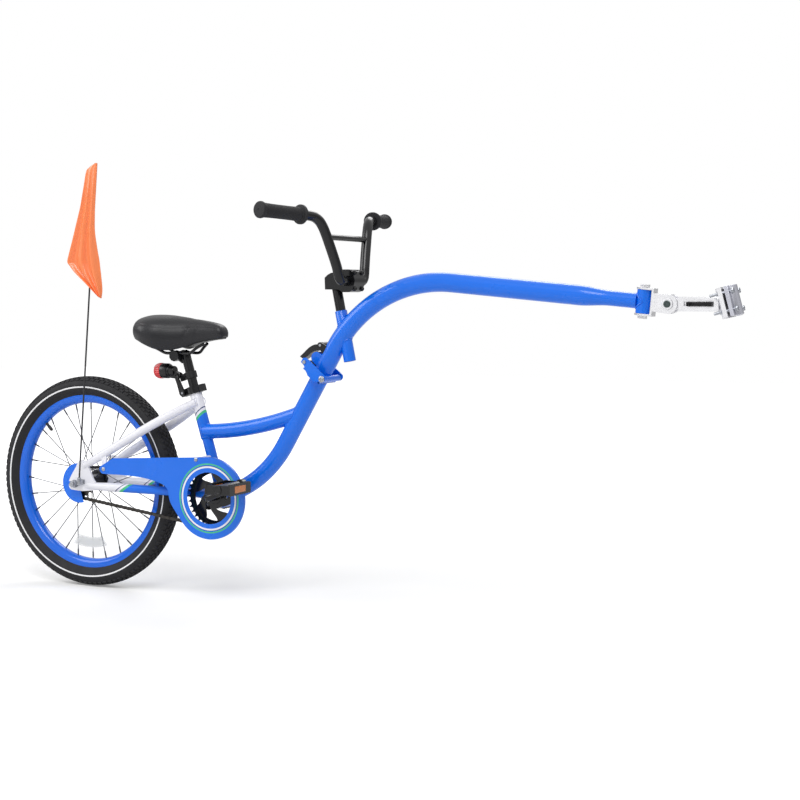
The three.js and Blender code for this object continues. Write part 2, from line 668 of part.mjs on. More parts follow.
// The outline of a link plate round two rollers. Outer plates are a little lower and come to rounded
// ends; inner ones, whose ends lie behind them, end square.
function plateOutline(from, to, outer) {
  const along = to.clone().sub(from).normalize();
  const across = new THREE.Vector2(-along.y, along.x);
  const half = PLATE_HEIGHT / 2;
  const at = (point, forward, out) => point.clone()
    .addScaledVector(along, forward * half)
    .addScaledVector(across, out * half);
  const end = (point, way) => (outer
    ? [at(point, way * 0.4, -way * 0.93), at(point, way * 1.1, 0), at(point, way * 0.4, way * 0.93)]
    : [at(point, way, -way), at(point, way, way)]);
  return [...end(to, 1), ...end(from, -1)];
}

// Inner plates hug the rollers and outer plates lie against them, by turns along the chain.
function chain(rollers) {
  const parts = rollers.map(({ x, y }) => {
    const reach = CHAIN_INSIDE / 2 + PLATE_THICKNESS / 2;
    return crossRod(place(x, y), -CHAIN_LINE - reach, -CHAIN_LINE + reach, ROLLER_RADIUS, 3);
  });
  rollers.forEach((from, n) => {
    const outer = n % 2 === 1;
    const near = CHAIN_INSIDE / 2 + (outer ? PLATE_THICKNESS : 0);
    const outline = plateOutline(from, rollers[(n + 1) % LINKS], outer);
    for (const low of [-CHAIN_LINE + near, -CHAIN_LINE - near - PLATE_THICKNESS]) {
      parts.push(sidePlate(outline, low, low + PLATE_THICKNESS));
    }
  });
  return black('chain', union(parts));
}

// Crank set, about the bottom bracket
// One forged bar: a spindle, a slightly thicker bend at each end of it, and two arms with eyes.
function crank() {
  const at = (y, along) => crankDirection.clone().multiplyScalar(along).setY(y);
  const inside = CRANK_RADIUS / 4;
  const reach = CRANK_PLANE - CRANK_BEND;
  const parts = [rod(at(-reach - inside, 0), at(reach + inside, 0), CRANK_RADIUS, 8)];
  const bores = [];
  for (const side of [-1, 1]) {
    const corner = new THREE.QuadraticBezierCurve3(
      at(side * reach, 0), at(side * CRANK_PLANE, 0), at(side * CRANK_PLANE, -side * CRANK_BEND));
    const start = at(side * CRANK_PLANE, -side * (CRANK_BEND - inside));
    const end = at(side * CRANK_PLANE, -side * CRANK_LENGTH);
    const [low, high] = [-1, 1].map((way) => side * CRANK_PLANE + way * EYE_THICKNESS / 2);
    parts.push(bent(corner, CRANK_RADIUS * 1.06, 8, 3));
    parts.push(rod(start, end, CRANK_RADIUS, 8, CRANK_RADIUS * 0.8));
    parts.push(crossRod(end, low, high, EYE_RADIUS, 10));
    bores.push(crossRod(end, low - OVERRUN, high + OVERRUN, clearOf(PEDAL_AXLE_RADIUS + GAP, 8), 8));
  }
  return black('crank', without(union(parts), bores));
}

function bottomBracketCup(name, side) {
  const bore = CRANK_RADIUS + PLAY;
  const inside = (SHELL_RADIUS - SHELL_WALL) * Math.cos(Math.PI / 12) - GAP;
  const face = SHELL_WIDTH / 2 + GAP;
  const pairs = [
    [bore, face + CUP_FLANGE], [SHELL_RADIUS - GAP, face + CUP_FLANGE], [SHELL_RADIUS - GAP, face],
    [inside, face], [inside, face - CUP_DEPTH], [bore, face - CUP_DEPTH],
  ].map(([radius, along]) => [radius, side * along]);
  return steel(name, turned(pairs, 10));
}

// Pedals, about their own axle and drawn for the left side, where +Y points out
function pedalAxle(name, side) {
  const from = side * (CRANK_PLANE - EYE_THICKNESS / 2);
  const pedalInner = side * (CRANK_PLANE + EYE_THICKNESS / 2 + OVERRUN);
  const to = pedalInner + side * (PEDAL_WIDTH - PEDAL_WALL);
  const shaft = crossRod(place(0, 0), from, to, PEDAL_AXLE_RADIUS, 8);
  const shoulder = crossRod(place(0, 0), side * (CRANK_PLANE + EYE_THICKNESS / 2 + GAP),
    pedalInner - side * GAP, PEDAL_AXLE_RADIUS * 1.6, 6);
  return steel(name, shaft.add(shoulder));
}

// Two toothed cages, front and rear, joined by a core round the axle and by a bar at each end.
function pedalBody(name, side) {
  const inner = CRANK_PLANE + EYE_THICKNESS / 2 + OVERRUN;
  const outer = inner + PEDAL_WIDTH;
  const half = PEDAL_LENGTH / 2;
  const high = PEDAL_HEIGHT / 2;
  const coreHigh = high - PEDAL_TOOTH - GAP;
  const y = (low, up) => (side > 0 ? [low, up] : [-up, -low]);
  const cages = [-half, half - PEDAL_WALL].map((x) => block(x, x + PEDAL_WALL, ...y(inner, outer), -high, high));
  const bars = [inner, outer - PEDAL_WALL].map((from) => block(-half + GAP, half - GAP,
    ...y(from, from + PEDAL_WALL), -high / 2, high / 2));
  const core = block(-PEDAL_CORE_RADIUS, PEDAL_CORE_RADIUS, ...y(inner, outer), -coreHigh, coreHigh);
  const notch = (PEDAL_WIDTH - 2 * PEDAL_WALL) / PEDAL_TEETH;
  const notches = Array.from({ length: PEDAL_TEETH }, (_, n) => [high - PEDAL_TOOTH, -high - OVERRUN].map((low) => {
    const from = inner + PEDAL_WALL + (n + 0.25) * notch;
    return block(-half - OVERRUN, half + OVERRUN, ...y(from, from + notch / 2), low, low + PEDAL_TOOTH + OVERRUN);
  })).flat();
  const seats = [-1, 1].map((end) => lensBlock(end, side, GAP));
  const boreEnd = inner + PEDAL_WIDTH - PEDAL_WALL + PLAY;
  const bore = crossRod(place(0, 0), ...y(inner - OVERRUN, boreEnd), PEDAL_AXLE_RADIUS + PLAY, 8);
  return black(name, without(union([...cages, ...bars, core]), [...notches, ...seats, bore]));
}

function lensBlock(end, side, clearance) {
  const middle = side * (CRANK_PLANE + EYE_THICKNESS / 2 + OVERRUN + PEDAL_WIDTH / 2);
  const face = end * (PEDAL_LENGTH / 2);
  const back = face - end * (LENS_THICKNESS + clearance);
  const front = face + end * (clearance ? OVERRUN : 0);
  const halfLength = LENS_LENGTH / 2 + clearance;
  const halfHeight = LENS_HEIGHT / 2 + clearance;
  return block(Math.min(back, front), Math.max(back, front), middle - halfLength, middle + halfLength,
    -halfHeight, halfHeight);
}

function pedalLens(name, end, side) {
  return mesh(name, lensBlock(end, side, 0), 0xd8791f, 0.2, 0);
}

// Rear frame
function mainTubeCurve() {
  const up = direction(MAIN_SLOPE);
  const foot = direction(MAIN_FOOT_SLOPE);
  const corner = crossing(bottomBracket, foot, tubesAtJoint, up);
  const reach = MAIN_BEND * Math.tan(rad((MAIN_SLOPE - MAIN_FOOT_SLOPE) / 2));
  const start = corner.clone().addScaledVector(foot, -reach);
  const end = corner.clone().addScaledVector(up, reach);
  const path = new THREE.CurvePath();
  path.add(bendBetween(start, foot, end, up, MAIN_BEND));
  path.add(new THREE.LineCurve3(end, mainTubeTop()));
  return path;
}

// The main tube ends inside the web of the fold joint's rear half.
function mainTubeTop() {
  const web = FOLD_BARREL_RADIUS - FOLD_CHEEK_LENGTH + FOLD_PLATE / 2;
  const middle = foldPivot.clone().addScaledVector(direction(FOLD_SLOPE), web);
  return crossing(tubesAtJoint, direction(MAIN_SLOPE), middle, foldAcross)
    .addScaledVector(direction(MAIN_SLOPE), MAIN_RADIUS / 2);
}

// Where two lines in the middle plane cross.
function crossing(a, alongA, b, alongB) {
  const gap = b.clone().sub(a);
  const turn = alongA.x * alongB.z - alongA.z * alongB.x;
  return a.clone().addScaledVector(alongA, (gap.x * alongB.z - gap.z * alongB.x) / turn);
}

// An arc in the middle plane from one point and direction to another.
class PlaneArc extends THREE.Curve {
  constructor(centre, radius, from, to) {
    super();
    Object.assign(this, { centre, radius, from, to });
  }

  getPoint(share, target = new THREE.Vector3()) {
    const a = this.from + (this.to - this.from) * share;
    return target.set(this.centre.x + this.radius * Math.cos(a), 0, this.centre.z + this.radius * Math.sin(a));
  }
}

function bendBetween(start, alongStart, end, alongEnd, radius) {
  const turn = Math.sign(alongStart.x * alongEnd.z - alongStart.z * alongEnd.x);
  const inward = new THREE.Vector3(-alongStart.z * turn, 0, alongStart.x * turn);
  const centre = start.clone().addScaledVector(inward, radius);
  const angle = (p) => Math.atan2(p.z - centre.z, p.x - centre.x);
  return new PlaneArc(centre, radius, angle(start), angle(end));
}

function seatTubePoint(along) {
  return seatTubeFoot.clone().addScaledVector(seatTubeAxis, along);
}

function topTube() {
  const along = (TOP_TUBE_HEIGHT - seatTubeFoot.z) / seatTubeAxis.z;
  const rear = seatTubePoint(along);
  const up = direction(MAIN_SLOPE);
  const front = crossing(rear.clone().add(place(0, TOP_TUBE_RISE)), place(1, 0), tubesAtJoint, up);
  const middle = rear.clone().lerp(front, 0.5).add(place(0, -TOP_TUBE_SAG * 2));
  return bent(new THREE.QuadraticBezierCurve3(rear, middle, front), TOP_TUBE_RADIUS, 10, 5);
}

function seatStay(side) {
  const out = side * STAY_SPACING / 2;
  const axleUp = TYRE_RADIUS;
  const top = seatTubePoint(SEAT_STAY_TOP);
  const width = SEAT_TUBE_RADIUS * 0.8;
  const at = (point, y) => point.clone().setY(side * y);
  const foot = place(STAY_RADIUS * 2.6, axleUp + STAY_RADIUS * 4.2);
  const run = top.clone().sub(foot);
  const curve = new THREE.CatmullRomCurve3([
    at(foot, Math.abs(out)),
    at(foot.clone().addScaledVector(run, 0.3), Math.abs(out) - STAY_RADIUS * 0.5),
    at(foot.clone().addScaledVector(run, 0.62), Math.abs(out) - STAY_RADIUS * 1.1),
    at(foot.clone().addScaledVector(run, 0.82), Math.abs(out) - STAY_RADIUS * 2.6),
    at(top, width),
  ]);
  return bent(curve, STAY_RADIUS, 8, 6);
}

function chainStay(side) {
  const at = (forward, up, y) => new THREE.Vector3(forward, side * y, up);
  const out = STAY_SPACING / 2;
  const end = bottomBracket.x - SHELL_RADIUS * 0.5;
  const curve = new THREE.CatmullRomCurve3([
    at(STAY_RADIUS * 2.9, TYRE_RADIUS - STAY_RADIUS * 0.3, out),
    at(TYRE_RADIUS * 0.675, TYRE_RADIUS - STAY_RADIUS * 0.4, out - STAY_RADIUS),
    at(TYRE_RADIUS * 0.99, TYRE_RADIUS - STAY_RADIUS * 0.6, out - STAY_RADIUS * 2.3),
    at(end * 0.82, TYRE_RADIUS - STAY_RADIUS * 0.8, CHAIN_STAY_SPACING / 2 + STAY_RADIUS * 0.2),
    at(end, BB_HEIGHT, CHAIN_STAY_SPACING / 2 - STAY_RADIUS * 0.2),
  ]);
  return bent(curve, STAY_RADIUS, 8, 6);
}

// A dropout is a flat plate with a slot open to the rear, welded to both stays of its side.
function dropout(side) {
  const r = STAY_RADIUS;
  const slot = AXLE_RADIUS + GAP;
  const outline = [
    [-r * 1.8, -slot], [slot * 0.5, -slot], [slot * 1.1, -slot * 0.4], [slot * 1.1, slot * 0.4],
    [slot * 0.5, slot], [-r * 1.7, slot],
    [-r * 1.3, r * 1.4], [r * 0.4, r * 4], [r * 1.6, r * 5.6], [r * 3.8, r * 5], [r * 2.6, r * 0.9],
    [r * 4.6, r * 0.7], [r * 4.6, -r * 1.3], [r * 2, -r * 1.6], [-r, -r * 1.35],
  ].map(([x, z]) => new THREE.Vector2(x, TYRE_RADIUS + z));
  const inner = DROPOUT_SPACING / 2;
  const low = side > 0 ? inner : -inner - DROPOUT_THICKNESS;
  return sidePlate(outline, low, low + DROPOUT_THICKNESS);
}

// The rear half of the fold joint, a channel whose cheeks hold the pivot bolt and the latch pin.
function rearFoldBracket() {
  const half = FOLD_WIDTH / 2;
  const high = FOLD_PIN_OFFSET + FOLD_BARREL_RADIUS;
  const back = -FOLD_CHEEK_LENGTH + FOLD_BARREL_RADIUS;
  const web = block(back, back + FOLD_PLATE, -half, half, -FOLD_BARREL_RADIUS, high);
  const cheeks = [-1, 1].map((side) => {
    const low = side > 0 ? half - FOLD_PLATE : -half;
    const outline = [
      ...arcPoints(0, 0, FOLD_BARREL_RADIUS, -90, 0, 2),
      ...arcPoints(0, FOLD_PIN_OFFSET, FOLD_BARREL_RADIUS, 0, 90, 2),
      new THREE.Vector2(back, high), new THREE.Vector2(back, -FOLD_BARREL_RADIUS),
    ];
    return sidePlate(outline, low, low + FOLD_PLATE);
  });
  const bolt = crossRod(place(0, 0), -half - OVERRUN, half + OVERRUN,
    clearOf(FOLD_BOLT_RADIUS + GAP, 6), 6);
  const pin = crossRod(place(0, FOLD_PIN_OFFSET), -half - OVERRUN, half + OVERRUN,
    clearOf(FOLD_PIN_RADIUS + GAP, 6), 6);
  return inFoldFrame(without(union([web, ...cheeks]), [bolt, pin]));
}

// Moves a solid into the bike's frame from one that lies at a point and leans back by some degrees.
function movedOut(made, point, leanBack) {
  const matrix = new THREE.Matrix4().makeRotationY(-rad(leanBack)).setPosition(point);
  return solid(surface(made).applyMatrix4(matrix));
}

const inFoldFrame = (made) => movedOut(made, foldPivot, FOLD_SLOPE);

function guardTabs() {
  const inner = STAY_SPACING / 2;
  const { x: tipX, z: tipZ } = guardTip;
  const wide = GUARD_BOLT_RADIUS * 2.4;
  const outline = [
    ...arcPoints(tipX, tipZ, wide, 180, 360, 4),
    new THREE.Vector2(tipX + wide, tipZ + STAY_RADIUS * 4), new THREE.Vector2(tipX - wide, tipZ + STAY_RADIUS * 3),
  ];
  const rear = sidePlate(outline, -GUARD_PLANE + GAP, -inner);
  const seat = seatTubePoint((GUARD_RADIUS - GUARD_BOLT_RADIUS * 2.4) / seatTubeAxis.z);
  const front = rod(seat, seat.clone().setY(-GUARD_PLANE + GAP), GUARD_BOLT_RADIUS * 1.6, 6);
  return [rear, front];
}

function rearFrame() {
  const shell = crossRod(bottomBracket, -SHELL_WIDTH / 2, SHELL_WIDTH / 2, SHELL_RADIUS, 12);
  const shellBore = crossRod(bottomBracket, -SHELL_WIDTH, SHELL_WIDTH, SHELL_RADIUS - SHELL_WALL, 12);
  const joint = seatTubePoint(SEAT_TUBE_LENGTH - SEAT_SLEEVE);
  const seatBore = rod(seatTubePoint(SEAT_TUBE_LENGTH - POST_LENGTH + POST_EXPOSED - POST_ROOM),
    seatTubePoint(SEAT_TUBE_LENGTH + OVERRUN), POST_RADIUS + PLAY, 12);
  const whole = union([
    bent(mainTubeCurve(), MAIN_RADIUS, 10, 10),
    rod(seatTubePoint(0), joint.clone().addScaledVector(seatTubeAxis, OVERRUN), SEAT_FOOT_RADIUS, 10),
    rod(joint, seatTubePoint(SEAT_TUBE_LENGTH), SEAT_TUBE_RADIUS, 12),
    topTube(), shell,
    seatStay(1), seatStay(-1), chainStay(1), chainStay(-1), dropout(1), dropout(-1),
    rearFoldBracket(), ...guardTabs(),
  ]);
  const foldRoom = inFoldFrame(block(FOLD_BARREL_RADIUS - FOLD_CHEEK_LENGTH + FOLD_PLATE, FOLD_CHEEK_LENGTH * 2,
    FOLD_PLATE - FOLD_WIDTH / 2, FOLD_WIDTH / 2 - FOLD_PLATE, -MAIN_RADIUS * 2, FOLD_PIN_OFFSET + MAIN_RADIUS));
  const tabHoles = [crossRod(guardTip, -GUARD_PLANE - OVERRUN, -STAY_SPACING / 2,
    GUARD_BOLT_RADIUS * 0.6, 6)];
  return blue('rear_frame', without(whole, [shellBore, seatBore, foldRoom, ...tabHoles]));
}

// Chain guard: a straight wing that runs into a disc round the chainring, with a rolled outer lip
function chainGuard() {
  const { x: tipX, z: tipZ } = guardTip;
  const { x, z } = bottomBracket;
  const r = GUARD_RADIUS;
  const shape = new THREE.Shape(arcPoints(tipX, tipZ, GUARD_TIP_RADIUS, 150, 270, 3));
  const throat = [x - r * 1.24, z + r * 0.2];
  shape.splineThru([[0.42, 0.03], [0.75, 0.3]].map(([on, drop]) => new THREE.Vector2(
    tipX + on * (throat[0] - tipX), tipZ - GUARD_TIP_RADIUS - drop * (tipZ - GUARD_TIP_RADIUS - throat[1]))));
  shape.splineThru([new THREE.Vector2(...throat), new THREE.Vector2(x - r * 1.11, z - r * 0.18),
    new THREE.Vector2(x - r * 0.76, z - r * 0.65)]);
  const disc = arcPoints(x, z, r, -132, 90, 14);
  const shoulder = new THREE.Vector2(tipX + GUARD_TIP_RADIUS * 2.6, tipZ + GUARD_TIP_RADIUS * 2.5);
  const outline = [...shape.getPoints(2), ...disc, shoulder];
  const hole = roundPoints(GUARD_HOLE, 18, x, z);
  const boltHole = roundPoints(GUARD_BOLT_RADIUS + GAP, 8, tipX, tipZ);
  const sheet = sidePlate(outline, -GUARD_PLANE - GUARD_SHEET, -GUARD_PLANE, [hole, boltHole]);
  const lipOutline = [
    ...arcPoints(x, z, r, -132, 90, 14),
    ...arcPoints(x, z, r - GUARD_SHEET, 90, -132, 14),
  ];
  const lip = sidePlate(lipOutline, -GUARD_PLANE - GUARD_SHEET / 2, GUARD_LIP - GUARD_PLANE);
  return blue('chain_guard', sheet.add(lip));
}

// The rear chain cover: a disc behind the dropout with a sector cut away where the chain leaves. A
// sleeve round the axle holds it off the dropout.
function rearCover() {
  const outline = [
    ...arcPoints(0, TYRE_RADIUS, COVER_RADIUS, 62, 286, 16),
    ...arcPoints(0, TYRE_RADIUS, COVER_HOLE * 1.5, 286, 422, 6),
  ];
  const sheet = sidePlate(outline, -COVER_PLANE - COVER_SHEET, -COVER_PLANE);
  const middle = place(0, TYRE_RADIUS);
  const sleeve = crossRod(middle, GAP - DROPOUT_SPACING / 2, -COVER_PLANE - COVER_SHEET / 2, COVER_HOLE, 10);
  const bore = crossRod(middle, -DROPOUT_SPACING, 0, clearOf(AXLE_RADIUS + GAP, 10), 10);
  return blue('rear_chain_cover', without(sheet.add(sleeve), [bore]));
}

// A bolt with a low head, along Y, whose head is on the side given.
function sideBolt(name, centre, headFace, end, radius, headRadius, headThickness) {
  const side = Math.sign(headFace);
  const shank = crossRod(centre, headFace, end, radius, 8);
  const head = crossRod(centre, headFace, headFace + side * headThickness, headRadius, 12);
  return steel(name, shank.add(head));
}

// Tow arm
function armCurve() {
  const up = direction(MAIN_SLOPE);
  const down = direction(-ARM_DROP);
  const barrel = place(BARREL_FORWARD, HITCH_HEIGHT + (PITCH_FORWARD - BARREL_FORWARD) * Math.tan(rad(ARM_DROP)));
  const corner = crossing(tubesAtJoint, up, barrel, down);
  const reach = ARM_BEND * Math.tan(rad((MAIN_SLOPE + ARM_DROP) / 2));
  const start = corner.clone().addScaledVector(up, -reach);
  const end = corner.clone().addScaledVector(down, reach);
  const taperStart = barrel.clone().addScaledVector(down, -NECK_LENGTH - BARREL_RADIUS - NECK_TAPER);
  const path = new THREE.CurvePath();
  path.add(new THREE.LineCurve3(tubesAtJoint.clone().addScaledVector(up, -ARM_RADIUS * 1.24), start));
  path.add(bendBetween(start, up, end, down, ARM_BEND));
  path.add(new THREE.LineCurve3(end, taperStart));
  return { path, barrel, down, taperStart };
}

function frontFoldBracket() {
  const half = FOLD_WIDTH / 2 - FOLD_PLATE - GAP;
  const back = FOLD_BARREL_RADIUS - FOLD_CHEEK_LENGTH + FOLD_PLATE + GAP;
  const swing = FOLD_PIN_OFFSET - FOLD_PIN_RADIUS - PLAY;
  const plate = block(back, back + FOLD_PLATE, -half, half, 0, Math.sqrt(swing ** 2 - back ** 2));
  const barrel = crossRod(place(0, 0), -half, half, FOLD_BARREL_RADIUS - PLAY, 10);
  const foot = block(back, 0, -half, half, 0, FOLD_PLATE * 1.5);
  return inFoldFrame(union([plate, foot, barrel]));
}

// A domed lug on the arm that meets the latch pin when the joint closes
function latchLug() {
  const back = FOLD_PIN_RADIUS + 2 * PLAY;
  const low = FOLD_TUBE_OFFSET + ARM_RADIUS * 0.6;
  const outline = [
    new THREE.Vector2(back, low), new THREE.Vector2(back + LUG_LENGTH, low),
    ...arcPoints(back + LUG_LENGTH / 2, FOLD_PIN_OFFSET - LUG_LENGTH / 4, LUG_LENGTH / 2, 0, 180, 4),
  ];
  return inFoldFrame(sidePlate(outline, -LUG_WIDTH / 2, LUG_WIDTH / 2));
}

const [leverPivotX, leverPivotZ] = LEVER_PIVOT;

function leverEars() {
  const foot = FOLD_TUBE_OFFSET + ARM_RADIUS * 0.7;
  const outline = [
    new THREE.Vector2(leverPivotX - LEVER_THICKNESS, foot),
    new THREE.Vector2(leverPivotX + LEVER_THICKNESS, foot),
    ...arcPoints(leverPivotX, leverPivotZ, LEVER_THICKNESS * 0.6, 0, 180, 4),
  ];
  return [-1, 1].map((side) => {
    const low = side > 0 ? LEVER_WIDTH / 2 + PLAY : -LEVER_WIDTH / 2 - PLAY - FOLD_PLATE;
    return inFoldFrame(sidePlate(outline, low, low + FOLD_PLATE));
  });
}

// Places along the lever's back from its pivot to its free end, as shares of its length: how far it
// has gone to the rear, and how high it stands over the pivot.
const LEVER_SHARES = [[0.02, 0.19], [0.28, 0.38], [0.57, 0.52], [0.86, 0.6], [1.1, 0.6]];

function foldLever() {
  const at = (back, up) => new THREE.Vector2(leverPivotX - back, leverPivotZ + up);
  const outer = LEVER_SHARES.map(([back, up]) => at(back * LEVER_LENGTH, up * LEVER_LENGTH));
  const inner = LEVER_SHARES.slice(1).reverse().map(([back, up]) => at(
    back * LEVER_LENGTH - LEVER_THICKNESS * 0.3, up * LEVER_LENGTH - LEVER_THICKNESS));
  const outline = [
    ...arcPoints(leverPivotX, leverPivotZ, LEVER_THICKNESS * 0.6, -150, 60, 5), ...outer, ...inner,
  ];
  const bore = roundPoints(clearOf(FOLD_PIN_RADIUS + PLAY, 8), 8, leverPivotX, leverPivotZ);
  return black('fold_lever', inFoldFrame(sidePlate(outline, -LEVER_WIDTH / 2, LEVER_WIDTH / 2, [bore])));
}

function towArm() {
  const arm = armCurve();
  const neck = [
    [0, -OVERRUN], [ARM_RADIUS * Math.cos(Math.PI / 12), -OVERRUN], [NECK_RADIUS, NECK_TAPER],
    [NECK_RADIUS, NECK_TAPER + NECK_LENGTH + BARREL_RADIUS / 2], [0, NECK_TAPER + NECK_LENGTH + BARREL_RADIUS / 2],
  ];
  const upright = direction(90 - ARM_DROP);
  const barrelEnd = (side) => arm.barrel.clone().addScaledVector(upright, side * BARREL_LENGTH / 2);
  const whole = union([
    bent(arm.path, ARM_RADIUS, 12, 12),
    turnedAlong(neck, arm.taperStart, arm.down, 12),
    rod(barrelEnd(-1), barrelEnd(1), BARREL_RADIUS, 12),
    rod(headFoot, headFoot.clone().addScaledVector(headAxis, HEAD_LENGTH), HEAD_RADIUS, 10),
    frontFoldBracket(), latchLug(), ...leverEars(),
  ]);
  const past = (point, along, far) => point.clone().addScaledVector(along, far);
  const cuts = [
    inFoldFrame(crossRod(place(0, 0), -FOLD_WIDTH, FOLD_WIDTH, clearOf(FOLD_BOLT_RADIUS + PLAY, 6), 6)),
    inFoldFrame(block(-FOLD_WIDTH, FOLD_BARREL_RADIUS - FOLD_CHEEK_LENGTH + FOLD_PLATE + GAP, -FOLD_WIDTH, FOLD_WIDTH,
      -FOLD_WIDTH, FOLD_WIDTH * 1.2)),
    rod(past(barrelEnd(-1), upright, -OVERRUN), past(barrelEnd(1), upright, OVERRUN), YAW_BOLT_RADIUS + PLAY, 8),
    rod(past(headFoot, headAxis, -OVERRUN), past(headFoot, headAxis, HEAD_LENGTH + OVERRUN), QUILL_RADIUS + PLAY, 10),
  ];
  const half = LEVER_WIDTH / 2 + FOLD_PLATE + PLAY;
  const pin = inFoldFrame(crossRod(place(leverPivotX, leverPivotZ), -half, half, FOLD_PIN_RADIUS, 10));
  return blue('tow_arm', without(whole, cuts).add(pin));
}

function foldHardware() {
  const half = FOLD_WIDTH / 2;
  const head = -half - GAP;
  const pivot = sideBolt('fold_pivot_bolt', place(0, 0), head, half + FOLD_HEAD_THICKNESS,
    FOLD_BOLT_RADIUS, FOLD_HEAD_RADIUS, FOLD_HEAD_THICKNESS);
  const latch = sideBolt('fold_latch_pin', place(0, FOLD_PIN_OFFSET), head, half + GAP,
    FOLD_PIN_RADIUS, FOLD_PIN_RADIUS * 1.4, FOLD_HEAD_THICKNESS / 2);
  return groupAt(foldPivot, FOLD_SLOPE, [pivot, latch]);
}

// Stem, drawn upright about the head tube's axis with its foot as origin
function stem() {
  const middle = stemPlace;
  const quillFoot = middle.clone().addScaledVector(headAxis, -QUILL_LENGTH);
  const quill = rod(quillFoot, middle, QUILL_RADIUS, 12);
  const halfTall = STEM_HEIGHT / 2;
  const halfWide = STEM_WIDTH / 2;
  const bodyBack = middle.x - halfWide * 1.25;
  const split = barCentre.x;
  const outline = [
    [bodyBack, middle.z - halfTall], [split - CLAMP_DEPTH, middle.z - halfTall],
    [split - CLAMP_DEPTH, barCentre.z - CLAMP_SIZE / 2], [split - GAP, barCentre.z - CLAMP_SIZE / 2],
    [split - GAP, barCentre.z + CLAMP_SIZE / 2], [split - CLAMP_DEPTH, barCentre.z + CLAMP_SIZE / 2],
    [bodyBack + halfWide, middle.z + halfTall], [bodyBack, middle.z + halfTall * 0.6],
  ].map(([x, z]) => new THREE.Vector2(x, z));
  const body = sidePlate(outline, -halfWide, halfWide);
  const bore = crossRod(barCentre, -CLAMP_SIZE, CLAMP_SIZE, BAR_RADIUS + GAP, 14);
  return black('stem', without(quill.add(body), [bore]));
}

function barClampPlate() {
  const half = CLAMP_SIZE / 2;
  const front = barCentre.x + CLAMP_DEPTH;
  const outline = [
    [barCentre.x + GAP, barCentre.z - half], [front - CLAMP_DEPTH * 0.2, barCentre.z - half],
    [front, barCentre.z - half * 0.6], [front, barCentre.z + half * 0.6],
    [front - CLAMP_DEPTH * 0.2, barCentre.z + half], [barCentre.x + GAP, barCentre.z + half],
  ].map(([x, z]) => new THREE.Vector2(x, z));
  const body = sidePlate(outline, -half, half);
  const bore = crossRod(barCentre, -CLAMP_SIZE, CLAMP_SIZE, BAR_RADIUS + GAP, 14);
  return black('bar_clamp_plate', without(body, [bore]));
}

// Handlebar: a low middle, two uprights joined by a crossbar, and swept ends for the grips
function barPoints(side) {
  const at = (y, up, forward) => barCentre.clone().add(new THREE.Vector3(forward, side * y, up));
  const [bendAcross, bendUp] = BAR_BEND;
  const [across, up, forward] = BAR_UPRIGHT;
  const [reach, rise, back] = BAR_REACH;
  const lowY = BAR_CENTRE_HALF + bendAcross;
  const topY = lowY + across;
  const topZ = bendUp + up;
  return {
    lowerIn: at(BAR_CENTRE_HALF, 0, 0),
    lowerCorner: at(lowY - bendAcross * 0.2, 0, 0),
    lowerOut: at(lowY + across * 0.15, bendUp + up * 0.15, forward * 0.15),
    upperIn: at(topY - across * 0.15, topZ - up * 0.15, forward * 0.85),
    upperCorner: at(topY, topZ, forward),
    upperOut: at(topY + reach * 0.16, topZ + rise * 0.16, forward + back * 0.16),
    end: at(topY + reach, topZ + rise, forward + back),
  };
}

function handlebar() {
  const [right, left] = [barPoints(-1), barPoints(1)];
  const path = new THREE.CurvePath();
  const line = (from, to) => path.add(new THREE.LineCurve3(from, to));
  const bend = (from, corner, to) => path.add(new THREE.QuadraticBezierCurve3(from, corner, to));
  line(right.end, right.upperOut);
  bend(right.upperOut, right.upperCorner, right.upperIn);
  line(right.upperIn, right.lowerOut);
  bend(right.lowerOut, right.lowerCorner, right.lowerIn);
  line(right.lowerIn, left.lowerIn);
  bend(left.lowerIn, left.lowerCorner, left.lowerOut);
  line(left.lowerOut, left.upperIn);
  bend(left.upperIn, left.upperCorner, left.upperOut);
  line(left.upperOut, left.end);
  const [from, to] = [right, left].map((p) => p.lowerOut.lerp(p.upperIn, CROSSBAR_SHARE));
  return black('handlebar', bent(path, BAR_RADIUS, 8, 26).add(rod(from, to, CROSSBAR_RADIUS, 6)));
}

// A grip is turned about the bar's end: a flange at its inner end and a closed cap outside.
function grip(name, side) {
  const p = barPoints(side);
  const along = p.end.clone().sub(p.upperOut).normalize();
  const from = p.end.clone().addScaledVector(along, -GRIP_LENGTH);
  const inner = clearOf(BAR_RADIUS + GAP, 8);
  const end = GRIP_LENGTH + GAP;
  return rubber(name, turnedAlong([
    [inner, 0], [GRIP_FLANGE_RADIUS, 0], [GRIP_FLANGE_RADIUS, GRIP_FLANGE], [GRIP_RADIUS, GRIP_FLANGE * 1.3],
    [GRIP_RADIUS, GRIP_LENGTH - GRIP_FLANGE], [GRIP_RADIUS * 1.08, GRIP_LENGTH - GRIP_FLANGE * 0.7],
    [GRIP_RADIUS * 1.08, end + GRIP_WALL], [0, end + GRIP_WALL], [0, end], [inner, end], [inner, 0],
  ], from, along, 8));
}

